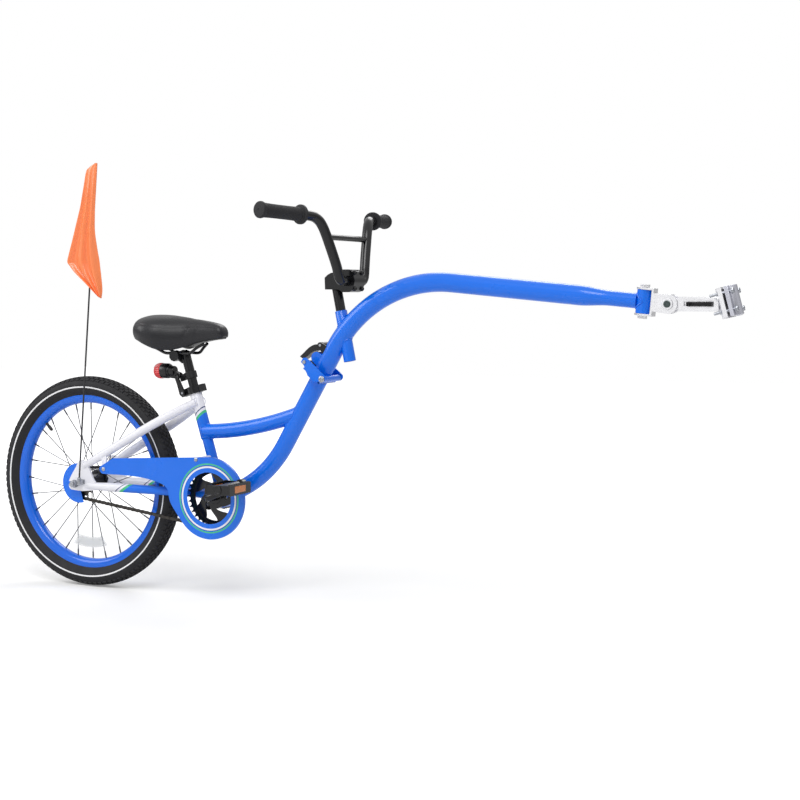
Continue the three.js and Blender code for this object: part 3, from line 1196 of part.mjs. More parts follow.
// Seat hardware, drawn along the seat tube: Z runs up its axis from the tube's foot
function seatCollar() {
  const low = SEAT_TUBE_LENGTH - COLLAR_HEIGHT + OVERRUN;
  const high = low + COLLAR_HEIGHT;
  const ring = upRod(place(0, 0), low, high, COLLAR_RADIUS, 12);
  const ears = block(-COLLAR_RADIUS - COLLAR_EAR, 0, -COLLAR_EAR * 0.7, COLLAR_EAR * 0.7, low, high);
  const nose = block(0, COLLAR_RADIUS + COLLAR_EAR * 0.6, -COLLAR_EAR / 2, COLLAR_EAR / 2, low, high);
  const bore = upRod(place(0, 0), low - OVERRUN, SEAT_TUBE_LENGTH + GAP, SEAT_TUBE_RADIUS + GAP, 12);
  const neck = upRod(place(0, 0), low, high + OVERRUN, POST_RADIUS + PLAY, 12);
  const slot = block(-COLLAR_RADIUS * 3, 0, -COLLAR_SLOT / 2, COLLAR_SLOT / 2, low - OVERRUN, high + OVERRUN);
  const hole = crossRod(place(-COLLAR_RADIUS - COLLAR_EAR / 2, (low + high) / 2), -COLLAR_RADIUS * 2,
    COLLAR_RADIUS * 2, clearOf(SKEWER_RADIUS + GAP, 6), 6);
  return black('seat_clamp', without(union([ring, ears, nose]), [bore, neck, slot, hole]));
}

const skewerX = -COLLAR_RADIUS - COLLAR_EAR / 2;
const skewerZ = SEAT_TUBE_LENGTH - COLLAR_HEIGHT / 2 + OVERRUN;
const leverFace = COLLAR_EAR * 0.7 + GAP;

function seatSkewer() {
  const nut = crossRod(place(skewerX, skewerZ), leverFace, leverFace + SKEWER_RADIUS * 2, SKEWER_RADIUS * 2, 8);
  const shaft = crossRod(place(skewerX, skewerZ), -leverFace - SEAT_LEVER_THICKNESS, leverFace, SKEWER_RADIUS, 8);
  return steel('seat_clamp_bolt', nut.add(shaft));
}

function seatLever() {
  const low = -leverFace - SEAT_LEVER_THICKNESS;
  const half = SEAT_LEVER_WIDTH / 2;
  const outline = [
    ...arcPoints(skewerX, skewerZ, half * 1.3, 180, 360, 6),
    new THREE.Vector2(skewerX + half * 0.4, skewerZ + SEAT_LEVER_LENGTH * 0.6),
    new THREE.Vector2(skewerX - half * 0.4, skewerZ + SEAT_LEVER_LENGTH),
    new THREE.Vector2(skewerX - half * 1.6, skewerZ + SEAT_LEVER_LENGTH * 0.9),
    new THREE.Vector2(skewerX - half * 1.3, skewerZ + SEAT_LEVER_LENGTH * 0.5),
  ];
  const bore = roundPoints(SKEWER_RADIUS + GAP, 8, skewerX, skewerZ);
  return black('seat_clamp_lever', sidePlate(outline, low - GAP, low + SEAT_LEVER_THICKNESS - GAP, [bore]));
}

function lightStrap() {
  const low = STRAP_ALONG - STRAP_HEIGHT / 2;
  const high = low + STRAP_HEIGHT;
  const outer = POST_RADIUS + GAP + STRAP_WALL;
  const ring = upRod(place(0, 0), low, high, outer, 12);
  const ears = block(-outer - STRAP_HEIGHT, 0, -STRAP_WALL, STRAP_WALL, low, high);
  const bore = upRod(place(0, 0), low - OVERRUN, high + OVERRUN, POST_RADIUS + GAP, 12);
  return black('light_strap', without(ring.add(ears), [bore]));
}

// Light, in the bike's own frame: housing forward, red lens to the rear
function lightHousing() {
  const from = place(lightFront, lightAxis);
  const to = place(lightFront - LIGHT_LENGTH, lightAxis);
  const pivot = lightPivot;
  const ears = [-1, 1].map((side) => {
    const low = side > 0 ? STRAP_WALL + PLAY : -2 * STRAP_WALL - PLAY;
    const outline = [
      new THREE.Vector2(from.x - OVERRUN, from.z), ...arcPoints(pivot.x, pivot.z, STRAP_HEIGHT / 2, 40, -90, 4),
      new THREE.Vector2(from.x - OVERRUN, from.z - LIGHT_RADIUS * 0.9),
    ];
    return sidePlate(outline, low, low + STRAP_WALL);
  });
  return black('light_housing', union([rod(from, to, LIGHT_RADIUS, 12), ...ears]));
}

function lightLens() {
  const face = lightFront - LIGHT_LENGTH - GAP;
  const dome = [
    [0, 0], [LIGHT_RADIUS, 0], [LIGHT_RADIUS, LENS_DEPTH * 0.5], [LIGHT_RADIUS * 0.7, LENS_DEPTH * 0.9],
    [0, LENS_DEPTH],
  ];
  return mesh('light_lens', turnedAlong(dome, place(face, lightAxis), direction(180), 12), 0xc8202a, 0.2, 0);
}

// Saddle. Shares of its length, its half width and its height, from the rear end to the nose.
const SADDLE_SHARES = [
  // along, half width, top, bottom
  [0, 0.3, 0.62, 0.42], [0.03, 0.62, 0.84, 0.2], [0.1, 0.88, 0.98, 0.08], [0.2, 1, 1, 0.02],
  [0.32, 0.93, 0.96, 0], [0.45, 0.66, 0.9, 0.05], [0.58, 0.42, 0.83, 0.13], [0.7, 0.31, 0.76, 0.2],
  [0.82, 0.28, 0.68, 0.26], [0.92, 0.26, 0.6, 0.3], [0.98, 0.2, 0.52, 0.33], [1, 0.08, 0.45, 0.37],
];
const SECTION_SHARES = [
  // across, up: the crown, the shoulder, the skirt that draws in below, and the flat underside
  [0, 1], [0.45, 0.97], [0.8, 0.82], [1, 0.5], [0.96, 0.2], [0.8, 0], [0, 0.03],
];

function saddleStation([along, wide, top, bottom], inset, lift) {
  const height = SADDLE_HEIGHT;
  const low = saddleSkirt + bottom * height;
  const high = saddleSkirt + top * height;
  const half = Math.max(wide * SADDLE_WIDTH / 2 - inset, inset / 2);
  const x = saddleRear + inset + along * (SADDLE_LENGTH - 2 * inset);
  const right = SECTION_SHARES.map(([out, up]) => [x, -out * half, low + lift + up * (high - low)]);
  const left = SECTION_SHARES.slice(1, -1).reverse().map(([out, up]) => [x, out * half, low + lift + up * (high - low)]);
  return [...right, ...left];
}

// A closed skin over rings of points, with a fan on each end.
function skinned(rings) {
  const around = rings[0].length;
  const positions = rings.flat(2);
  const index = [];
  for (let r = 0; r < rings.length - 1; r += 1) {
    for (let n = 0; n < around; n += 1) {
      const a = r * around + n;
      const b = r * around + (n + 1) % around;
      index.push(a, b, a + around, b, b + around, a + around);
    }
  }
  const last = (rings.length - 1) * around;
  for (let n = 1; n < around - 1; n += 1) {
    index.push(0, n + 1, n, last, last + n, last + n + 1);
  }
  const geometry = new THREE.BufferGeometry();
  geometry.setAttribute('position', new THREE.BufferAttribute(new Float32Array(positions), 3));
  geometry.setIndex(index);
  return solid(geometry);
}

const saddleBaseLow = railTop + 3 * RAIL_RADIUS;

// The underside of the base at one station: flat over the rails, then following the cushion's nose up
function baseUnderside([along, , , bottom]) {
  if (along < 0.5) return saddleBaseLow;
  return Math.max(saddleBaseLow, saddleSkirt + bottom * SADDLE_HEIGHT - RAIL_RADIUS);
}

// The base's plate, or with a smaller inset and a drop the room that it needs in the cushion
function saddlePlate(inset, drop, rise) {
  return skinned(SADDLE_SHARES.slice(2).map((station) => {
    const [along, wide] = station;
    const x = saddleRear + inset + along * (SADDLE_LENGTH - 2 * inset);
    const half = Math.max(wide * SADDLE_WIDTH / 2 - inset, inset / 4);
    const low = baseUnderside(station) - drop;
    const high = baseUnderside(station) + SADDLE_BASE_THICKNESS + rise;
    return [[x, -half, low], [x, -half, high], [x, half, high], [x, half, low]];
  }));
}

function saddleCushion() {
  const whole = skinned(SADDLE_SHARES.map((station) => saddleStation(station, 0, 0)));
  const room = saddlePlate(SADDLE_BASE_INSET - GAP, SADDLE_WIDTH / 4, GAP);
  return mesh('saddle_cushion', without(whole, [room]), 0x3a3a3e, 0.7, 0);
}

function saddleBase() {
  return black('saddle_base', saddlePlate(SADDLE_BASE_INSET, 0, 0));
}

function saddleRails() {
  const at = (along, up, y) => new THREE.Vector3(saddleRear + along * SADDLE_LENGTH, y, up);
  const top = saddleBaseLow - GAP - RAIL_RADIUS;
  const low = railTop - RAIL_RADIUS;
  const nose = baseUnderside(SADDLE_SHARES[SADDLE_SHARES.length - 4]) - GAP - RAIL_RADIUS * 1.2;
  const side = (y) => bent(new THREE.CatmullRomCurve3([
    at(0.16, top, y * 1.3), at(0.25, (top + low) / 2, y * 1.05), at(0.33, low, y), at(0.42, low, y),
    at(0.52, low, y), at(0.62, low, y), at(0.72, (low + nose) / 2, y * 0.7), at(0.82, nose, 0),
  ]), RAIL_RADIUS, 6, 9);
  return steel('saddle_rails', side(RAIL_SPACING / 2).add(side(-RAIL_SPACING / 2)));
}

// The saddle clamp grips both rails in grooves and turns on the bolt through the post's head.
function saddleClamp() {
  const pivot = saddlePivot;
  const half = SADDLE_CLAMP_WIDTH / 2;
  const ends = [-1, 1].map((side) => {
    const inner = side * (RAIL_SPACING / 2 - RAIL_RADIUS - 2 * STRAP_WALL);
    return crossRod(pivot, Math.min(inner, side * half), Math.max(inner, side * half), SADDLE_CLAMP_RADIUS, 10);
  });
  const grooves = [-1, 1].map((side) => block(saddleRear, saddleRear + SADDLE_LENGTH,
    side * RAIL_SPACING / 2 - RAIL_RADIUS - GAP, side * RAIL_SPACING / 2 + RAIL_RADIUS + GAP,
    railTop - 2 * RAIL_RADIUS - 2 * GAP, railTop + SADDLE_CLAMP_RADIUS));
  const bolt = crossRod(pivot, -half, half, SKEWER_RADIUS * 0.8, 8);
  return black('saddle_clamp', without(union(ends), grooves).add(bolt));
}

// The post's head: an ear behind its top with the bolt hole across it
function postHead() {
  const top = seatTubePoint(SEAT_TUBE_LENGTH + POST_EXPOSED);
  const pivot = saddlePivot;
  const half = RAIL_SPACING / 2 - RAIL_RADIUS - 2 * STRAP_WALL - GAP;
  const outline = [
    ...arcPoints(pivot.x, pivot.z, SADDLE_CLAMP_RADIUS * 0.7, 100, 250, 6),
    new THREE.Vector2(top.x - POST_RADIUS * 0.3, top.z - SADDLE_CLAMP_RADIUS * 1.8),
    new THREE.Vector2(top.x + POST_RADIUS * 0.6, top.z - SADDLE_CLAMP_RADIUS * 0.9),
    new THREE.Vector2(top.x + POST_RADIUS * 0.2, top.z + GAP),
  ];
  const hole = roundPoints(SKEWER_RADIUS * 0.8 + GAP, 8, pivot.x, pivot.z);
  return sidePlate(outline, -half, half, [hole]);
}

function seatPostWithHead() {
  const top = seatTubePoint(SEAT_TUBE_LENGTH + POST_EXPOSED);
  const tube = rod(seatTubePoint(SEAT_TUBE_LENGTH + POST_EXPOSED - POST_LENGTH), top, POST_RADIUS, 12);
  return black('seat_post', tube.add(postHead()));
}

// Flag
function flagBracket() {
  const { x: forward, z: up } = flagFoot;
  const low = -DROPOUT_SPACING / 2 - DROPOUT_THICKNESS - GAP - TAB_THICKNESS;
  const wide = AXLE_RADIUS * 2;
  const outline = [
    ...arcPoints(0, TYRE_RADIUS, wide, 120, 300, 6),
    new THREE.Vector2(forward, up - wide * 0.2), new THREE.Vector2(forward, up + wide * 1.4),
    new THREE.Vector2(forward - wide, up + wide * 1.4),
  ];
  const plate = sidePlate(outline, low, low + TAB_THICKNESS, [roundPoints(AXLE_RADIUS + GAP, 10, 0, TYRE_RADIUS)]);
  const foot = new THREE.Vector3(forward, -FLAG_PLANE, up);
  const along = direction(90 - FLAG_ROD_LEAN);
  const socketTop = foot.clone().addScaledVector(along, wide * 1.3);
  const socket = rod(foot.clone().addScaledVector(along, -FLAG_ROD_RADIUS * 2), socketTop, FLAG_ROD_RADIUS * 2.4, 10);
  const arm = block(forward - wide * 0.6, forward + wide * 0.2, -FLAG_PLANE, low + TAB_THICKNESS, up, up + wide);
  const bore = rod(foot, socketTop.clone().addScaledVector(along, OVERRUN), FLAG_ROD_RADIUS + GAP, 10);
  return steel('flag_bracket', without(union([plate, arm, socket]), [bore]));
}

function flagRodPoint(along) {
  const foot = new THREE.Vector3(flagFoot.x, -FLAG_PLANE, flagFoot.z + GAP);
  return foot.addScaledVector(direction(90 - FLAG_ROD_LEAN), along);
}

function flagRod() {
  return black('flag_rod', rod(flagRodPoint(0), flagRodPoint(FLAG_ROD_LENGTH), FLAG_ROD_RADIUS, 8));
}

// The pennant is sewn to the rod by its hoist, and its free end has dropped: the cloth falls across
// the rod in soft upright folds that deepen downwards.
const FLAG_ROW_SHARES = [
  // rear edge: down the hoist, out to the rear; front edge: down, out to the front
  [0.006, 0.02, 0, 0], [0.054, 0.195, 0.045, 0], [0.308, 0.263, 0.28, 0.03], [0.535, 0.36, 0.515, 0.055],
  [0.676, 0.41, 0.647, 0.13], [0.744, 0.45, 0.728, 0.185], [0.817, 0.266, 0.849, 0.24],
  [0.904, 0.023, 0.946, 0.284], [1.006, -0.228, 1.016, 0.27],
];

function flag() {
  const columns = 9;
  const clear = FLAG_ROD_RADIUS + GAP + FLAG_THICKNESS / 2;
  const edge = (down, out) => flagRodPoint(FLAG_ROD_LENGTH - down * FLAG_HOIST).add(place(out * FLAG_FLY, 0));
  const rows = FLAG_ROW_SHARES.map(([rearDown, rearOut, frontDown, frontOut]) => {
    const [rear, front] = [edge(rearDown, -rearOut), edge(frontDown, frontOut)];
    const depth = Math.min(rearDown, 1) * (rearOut + frontOut) * FLAG_FOLD;
    return Array.from({ length: columns }, (_, n) => {
      const share = n / (columns - 1);
      const fold = 1 - Math.cos(2 * Math.PI * 2.5 * (1 - share));
      return rear.clone().lerp(front, share).add(new THREE.Vector3(0, -clear - depth * fold, 0));
    });
  });
  return mesh('flag', thickened(rows, FLAG_THICKNESS), 0xff7a3c, 0.5, 0);
}

// A sheet given its thickness across Y and closed round its edge.
function thickened(rows, thickness) {
  const tall = rows.length;
  const wide = rows[0].length;
  const layer = (offset) => rows.flat().map((p) => [p.x, p.y + offset, p.z]);
  const positions = [...layer(-thickness / 2), ...layer(thickness / 2)].flat();
  const back = tall * wide;
  const at = (r, c) => r * wide + c;
  const index = [];
  const quad = (a, b, c, d) => index.push(a, b, c, a, c, d);
  for (let r = 0; r < tall - 1; r += 1) {
    for (let c = 0; c < wide - 1; c += 1) {
      quad(at(r, c), at(r, c + 1), at(r + 1, c + 1), at(r + 1, c));
      quad(back + at(r, c), back + at(r + 1, c), back + at(r + 1, c + 1), back + at(r, c + 1));
    }
  }
  const edge = [];
  for (let c = 0; c < wide - 1; c += 1) edge.push(at(0, c));
  for (let r = 0; r < tall - 1; r += 1) edge.push(at(r, wide - 1));
  for (let c = wide - 1; c > 0; c -= 1) edge.push(at(tall - 1, c));
  for (let r = tall - 1; r > 0; r -= 1) edge.push(at(r, 0));
  edge.forEach((a, n) => {
    const b = edge[(n + 1) % edge.length];
    quad(a, back + a, back + b, b);
  });
  const geometry = new THREE.BufferGeometry();
  geometry.setAttribute('position', new THREE.BufferAttribute(new Float32Array(positions), 3));
  geometry.setIndex(index);
  return solid(geometry);
}

// Hitch. The clamp is drawn about its own middle with Z along the seat post that it grips.
function clampHalf(front) {
  const tall = CLAMP_TALL / 2;
  const outer = CLAMP_BORE + CLAMP_WALL;
  const ear = CLAMP_SPLIT + CLAMP_WALL;
  const round = upRod(place(0, 0), -tall, tall, outer, 12);
  const ears = block(-ear, ear, -CLAMP_EAR, CLAMP_EAR, -tall, tall);
  const [low, high] = front ? [-outer * 2, CLAMP_SPLIT / 2] : [-CLAMP_SPLIT / 2, outer * 2];
  const half = block(low, high, -CLAMP_EAR * 2, CLAMP_EAR * 2, -CLAMP_TALL, CLAMP_TALL);
  const bore = upRod(place(0, 0), -CLAMP_TALL, CLAMP_TALL, CLAMP_BORE, 12);
  const holes = clampBoltPlaces().map(([y, z]) => rod(new THREE.Vector3(-outer * 2, y, z),
    new THREE.Vector3(outer * 2, y, z), CLAMP_BOLT_RADIUS + GAP, 6));
  return without(round.add(ears), [half, bore, ...holes]);
}

function clampBoltPlaces() {
  const [across, up] = CLAMP_BOLT_SPACING;
  return [[-1, 1], [1, 1], [-1, -1], [1, -1]].map(([y, z]) => [y * across / 2, z * up / 2]);
}

function clampBolt(name, y, z) {
  const face = CLAMP_SPLIT + CLAMP_WALL + GAP;
  const at = (x) => new THREE.Vector3(x, y, z);
  const head = rod(at(face), at(face + CLAMP_BOLT_RADIUS * 1.3), CLAMP_BOLT_HEAD, 6, CLAMP_BOLT_HEAD * 0.7);
  const shank = rod(at(face + CLAMP_BOLT_RADIUS - CLAMP_BOLT_LENGTH), at(face + CLAMP_BOLT_RADIUS / 2), CLAMP_BOLT_RADIUS, 6);
  const nut = rod(at(-face - CLAMP_BOLT_RADIUS * 1.6), at(-face), CLAMP_BOLT_HEAD, 6);
  return steel(name, union([head, shank, nut]));
}

function clampShim() {
  const tall = CLAMP_TALL / 2 - OVERRUN;
  const outer = CLAMP_BORE - GAP;
  const ring = without(upRod(place(0, 0), -tall, tall, outer, 12),
    [upRod(place(0, 0), -CLAMP_TALL, CLAMP_TALL, outer - SHIM_WALL, 12),
      block(-OVERRUN, CLAMP_BORE * 2, -CLAMP_SPLIT / 2, CLAMP_SPLIT / 2, -CLAMP_TALL, CLAMP_TALL)]);
  return rubber('clamp_shim', ring);
}

// The receiver, in the bike's frame: a square tube open to the rear, with the latch window in its side
function receiver() {
  const low = PITCH_FORWARD + RECEIVER_BACK;
  const high = CLAMP_FORWARD - CLAMP_BORE - CLAMP_WALL / 2;
  const tall = RECEIVER_TALL / 2;
  const wide = RECEIVER_WIDE / 2;
  const outside = block(low, high, -wide, wide, HITCH_HEIGHT - tall, HITCH_HEIGHT + tall);
  const inside = block(low - OVERRUN, high - RECEIVER_WALL * 4, RECEIVER_WALL - wide, wide - RECEIVER_WALL,
    HITCH_HEIGHT + RECEIVER_WALL - tall, HITCH_HEIGHT + tall - RECEIVER_WALL);
  const windowEnd = high - RECEIVER_WALL * 3;
  const opening = block(windowEnd - WINDOW_LENGTH, windowEnd, -wide - OVERRUN, -wide + RECEIVER_WALL + GAP,
    HITCH_HEIGHT - WINDOW_HEIGHT / 2, HITCH_HEIGHT + WINDOW_HEIGHT / 2);
  return without(outside, [inside, opening]);
}

const latchPivot = new THREE.Vector3(CLAMP_FORWARD - CLAMP_BORE - CLAMP_WALL / 2 - RECEIVER_WALL * 5,
  -RECEIVER_WIDE / 2 - LATCH_THICKNESS / 2 + RECEIVER_WALL * 0.6, HITCH_HEIGHT);

// The latch lies in the window on an upright pin, with its ribbed finger end to the rear.
function latchLever() {
  const { x, y } = latchPivot;
  const t = LATCH_THICKNESS / 2;
  const reach = WINDOW_LENGTH - RECEIVER_WALL * 4;
  const ribs = 3;
  const points = [...arcPoints(x, y, t, -90, 90, 5), new THREE.Vector2(x - reach, y + t)];
  for (let n = 0; n < ribs; n += 1) {
    const back = x - reach + n * t * 1.2;
    points.push(new THREE.Vector2(back, y - t * 1.5), new THREE.Vector2(back + t * 0.7, y - t * 1.5),
      new THREE.Vector2(back + t * 0.8, y - t));
  }
  const half = WINDOW_HEIGHT / 2 - PLAY;
  return black('latch_lever', levelPlate(points, HITCH_HEIGHT - half, HITCH_HEIGHT + half));
}

function tongue() {
  const tall = RECEIVER_TALL / 2 - RECEIVER_WALL - PLAY;
  const wide = RECEIVER_WIDE / 2 - RECEIVER_WALL - PLAY;
  const end = CLAMP_FORWARD - CLAMP_BORE - CLAMP_WALL / 2 - RECEIVER_WALL * 4 - 2 * GAP;
  const bar = block(PITCH_FORWARD, end, -wide, wide, HITCH_HEIGHT - tall, HITCH_HEIGHT + tall);
  const pivot = place(PITCH_FORWARD, HITCH_HEIGHT);
  const eye = crossRod(pivot, -wide, wide, TONGUE_EYE_RADIUS, 12);
  const bore = crossRod(pivot, -RECEIVER_WIDE, RECEIVER_WIDE, PITCH_BOLT_RADIUS + GAP, 8);
  return steel('tongue', without(bar.add(eye), [bore]));
}

const earInner = RECEIVER_WIDE / 2 - RECEIVER_WALL - PLAY + GAP * 2;
const earOuter = earInner + CLEVIS_PLATE;

function pitchBolt() {
  const pivot = place(PITCH_FORWARD, HITCH_HEIGHT);
  const face = earOuter + GAP;
  const shank = crossRod(pivot, -face, face, PITCH_BOLT_RADIUS, 8);
  const heads = [-1, 1].map((side) => crossRod(pivot, side > 0 ? face : -face - PITCH_HEAD_THICKNESS,
    side > 0 ? face + PITCH_HEAD_THICKNESS : -face, PITCH_HEAD_RADIUS, 10));
  return steel('pitch_bolt', union([shank, ...heads]));
}

// The clevis, in a frame at the barrel whose X runs along the arm: one U holds the barrel above and
// below, and the other holds the tongue on its left and right.
function yawClevis() {
  const barrel = armCurve().barrel;
  const a = rad(ARM_DROP);
  const half = BARREL_LENGTH / 2 + GAP;
  const front = BARREL_RADIUS + PLAY + OVERRUN;
  const wide = earOuter;
  const reach = Math.hypot(PITCH_FORWARD - barrel.x, HITCH_HEIGHT - barrel.z);
  const web = block(front, front + CLEVIS_PLATE, -wide, wide, -half - CLEVIS_PLATE, half + CLEVIS_PLATE);
  const flanges = [-1, 1].map((side) => {
    const low = side > 0 ? half : -half - CLEVIS_PLATE;
    const outline = [
      ...arcPoints(0, 0, BARREL_RADIUS * 1.1, 90, 270, 5),
      new THREE.Vector2(front + CLEVIS_PLATE, -wide), new THREE.Vector2(front + CLEVIS_PLATE, wide),
    ];
    return levelPlate(outline, low, low + CLEVIS_PLATE);
  });
  const ears = [-1, 1].map((side) => {
    const low = side > 0 ? earInner : -earOuter;
    const outline = [
      ...arcPoints(reach, 0, CLEVIS_EAR_RADIUS, -80, 80, 5),
      new THREE.Vector2(front, half * 0.72), new THREE.Vector2(front, -half * 0.72),
    ];
    return sidePlate(outline, low, low + CLEVIS_PLATE, [roundPoints(PITCH_BOLT_RADIUS + PLAY, 12, reach, 0)]);
  });
  const yawBore = upRod(place(0, 0), -BARREL_LENGTH, BARREL_LENGTH, YAW_BOLT_RADIUS + GAP, 8);
  const made = without(union([web, ...flanges, ...ears]), [yawBore]);
  const group = new THREE.Group();
  group.position.copy(barrel);
  group.rotation.y = a;
  group.add(steel('yaw_clevis', made), yawBolt());
  return group;
}

function yawBolt() {
  const face = BARREL_LENGTH / 2 + CLEVIS_PLATE + 2 * GAP;
  const shank = upRod(place(0, 0), -face, face, YAW_BOLT_RADIUS, 8);
  const head = upRod(place(0, 0), face, face + YAW_BOLT_RADIUS, YAW_HEAD_RADIUS, 6);
  const nut = upRod(place(0, 0), -face - YAW_BOLT_RADIUS, -face, YAW_HEAD_RADIUS, 6);
  return steel('yaw_bolt', union([shank, head, nut]));
}

// The front half, the shim and the bolts; the rear half is welded to the receiver.
function clampGroup() {
  const bolts = clampBoltPlaces().map(([y, z], n) => clampBolt(`clamp_bolt_${n + 1}`, y, z));
  const front = steel('hitch_clamp_front', clampHalf(true));
  return groupAt(place(CLAMP_FORWARD, CLAMP_HEIGHT), CLAMP_LEAN, [front, clampShim(), ...bolts]);
}

function rearClampWithReceiver() {
  const half = movedOut(clampHalf(false), place(CLAMP_FORWARD, CLAMP_HEIGHT), CLAMP_LEAN);
  return steel('hitch_clamp_rear', half.add(receiver()));
}

// Assembly
const rollers = chainRollers();
const ringCentre = new THREE.Vector2(bottomBracket.x, bottomBracket.z - TYRE_RADIUS);
const cogPhase = valleyPhase(rollers, new THREE.Vector2(0, 0), cogPitchRadius);
const ringPhase = valleyPhase(rollers, ringCentre, ringPitchRadius);
const pedalOut = crankDirection.clone().multiplyScalar(CRANK_LENGTH);

const bike = new THREE.Group();
bike.position.set(-CLAMP_FORWARD, 0, -CLAMP_HEIGHT);
bike.add(
  groupAt(axlePlace, 0, [
    tyre(), innerTube(), rim(), hub(), wheelReflector(), axle(),
    axleNut('axle_nut_right', -1), axleNut('axle_nut_left', 1), cog(cogPhase), chain(rollers),
  ]),
  groupAt(bottomBracket, 0, [
    chainring(ringPhase), crank(), bottomBracketCup('bb_cup_right', -1), bottomBracketCup('bb_cup_left', 1),
  ]),
  ...[['right', -1], ['left', 1]].map(([word, side]) => groupAt(
    bottomBracket.clone().addScaledVector(pedalOut, -side), 0, [
      pedalAxle(`pedal_axle_${word}`, side), pedalBody(`pedal_${word}`, side),
      pedalLens(`pedal_${word}_lens_front`, 1, side), pedalLens(`pedal_${word}_lens_rear`, -1, side),
    ])),
  rearFrame(), chainGuard(), rearCover(),
  groupAt(seatTubeFoot, SEAT_TUBE_LEAN, [seatCollar(), seatSkewer(), seatLever(), lightStrap()]),
  seatPostWithHead(), saddleClamp(), saddleRails(), saddleBase(), saddleCushion(),
  lightHousing(), lightLens(),
  flagBracket(), flagRod(), flag(),
  towArm(), foldLever(), foldHardware(),
  stem(), barClampPlate(), handlebar(), grip('grip_right', -1), grip('grip_left', 1),
  clampGroup(), rearClampWithReceiver(), latchLever(), tongue(), pitchBolt(), yawClevis(),
);

const trailerBike = new THREE.Group();
trailerBike.add(bike);

export default trailerBike;
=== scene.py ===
# %% [markdown]
# # A child's trailer bike
# One wheel, a small seat and handlebar, and a long bent tow arm that ends in a clamp for a seat post. The
# CAD model gives every place, so it is loaded first as a fixed frame. What follows dresses it: round tubes,
# paint, rubber, cloth and steel.

# %% Load the frame
import json
import math

import bmesh
import bpy
import numpy as np
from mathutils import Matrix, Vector
from mathutils.geometry import tessellate_polygon

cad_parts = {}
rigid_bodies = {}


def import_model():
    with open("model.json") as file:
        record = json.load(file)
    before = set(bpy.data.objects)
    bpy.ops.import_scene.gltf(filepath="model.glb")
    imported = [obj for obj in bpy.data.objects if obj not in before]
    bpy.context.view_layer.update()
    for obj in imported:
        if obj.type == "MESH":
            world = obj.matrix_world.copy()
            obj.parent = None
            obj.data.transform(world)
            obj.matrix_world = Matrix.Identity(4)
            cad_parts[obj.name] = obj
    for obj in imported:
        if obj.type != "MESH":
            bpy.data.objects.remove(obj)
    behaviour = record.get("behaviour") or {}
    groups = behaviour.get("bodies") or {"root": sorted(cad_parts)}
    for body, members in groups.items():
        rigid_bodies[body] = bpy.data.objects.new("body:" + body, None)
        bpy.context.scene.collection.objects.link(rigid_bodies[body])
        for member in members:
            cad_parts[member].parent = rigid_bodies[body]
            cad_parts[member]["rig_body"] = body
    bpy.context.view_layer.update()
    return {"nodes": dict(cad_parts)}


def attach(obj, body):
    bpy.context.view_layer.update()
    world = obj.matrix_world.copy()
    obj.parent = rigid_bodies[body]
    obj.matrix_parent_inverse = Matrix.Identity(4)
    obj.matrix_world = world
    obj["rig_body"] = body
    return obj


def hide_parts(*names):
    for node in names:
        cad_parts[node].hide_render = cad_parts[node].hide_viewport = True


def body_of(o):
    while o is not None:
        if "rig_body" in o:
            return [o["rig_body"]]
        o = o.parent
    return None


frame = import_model()
nodes = frame["nodes"]

# %% [markdown]
# ## Places
# The bike was drawn in millimetres from the ground under its rear axle, with X forward, Z up and the drive
# side at minus Y. The frame's own origin is the middle of the hitch clamp. Working in the bike's own
# numbers keeps every size readable, and one function turns them into the frame's metres at the end.

# %% Places in millimetres and slopes in degrees that several pieces share
CLAMP = np.array([1562.0, 0, 697])
AXLE = np.array([0.0, 0, 257])
CRANKS = np.array([385.445, 0, 245])
SEAT_FOOT = np.array([377.445, 0, 245])
FOLD = np.array([668.0, 0, 524])
HEAD_FOOT = np.array([717.0, 0, 563])
BARREL = np.array([1388.0, 0, 696.92])
SEAT_LEAN, FOLD_SLOPE, HEAD_LEAN, ARM_DROP = 16.7, 50, 11.4, 5.3
ACROSS = (0, 1, 0)
SIDES = ((-1, "right"), (1, "left"))


def heading(degrees, y=0.0):
    """The unit vector at these degrees over level: cosine forward, sine up."""
    return np.array([math.cos(math.radians(degrees)), y, math.sin(math.radians(degrees))])


def tilted(points, pivot, degrees):
    """Local points carried to a pivot and leaned back: x goes along the heading and z square to it."""
    ahead, up = heading(degrees), heading(degrees + 90)
    return pivot + points[..., :1] * ahead + points[..., 1:2] * np.array(ACROSS) + points[..., 2:] * up


def seat_tube_point(along):
    """A place on the seat tube's axis, so far up from its foot."""
    return SEAT_FOOT + along * heading(90 + SEAT_LEAN)


def on_middle_plane(outline):
    """Outline points in X and Z as places on the bike's middle plane."""
    outline = np.asarray(outline, float)
    return np.stack([outline[:, 0], 0 * outline[:, 0], outline[:, 1]], axis=1)


print("seat tube's top:", np.round(seat_tube_point(259), 1))

# %% [markdown]
# ## Surfaces
# A tube, a tyre, a bolt and a pedal pin are all grids of points with one direction wrapped round. So a
# shape here is worked out as rings of points in one go, and the faces between them are counted off by
# index. A shell is kept as its points, its four-sided faces and its triangles.

# %% Shells from grids of points
NO_FACES = np.zeros((0, 3), int)


def grid_quads(rows, columns, loop=False):
    """Four-sided faces of a grid: each point with its neighbours along and up. Columns always wrap."""
    r, c = np.meshgrid(np.arange(rows if loop else rows - 1), np.arange(columns), indexing="ij")
    r, c = r.ravel(), c.ravel()
    up, on = (r + 1) % rows, (c + 1) % columns
    return np.stack([r * columns + c, r * columns + on, up * columns + on, up * columns + c], axis=1)


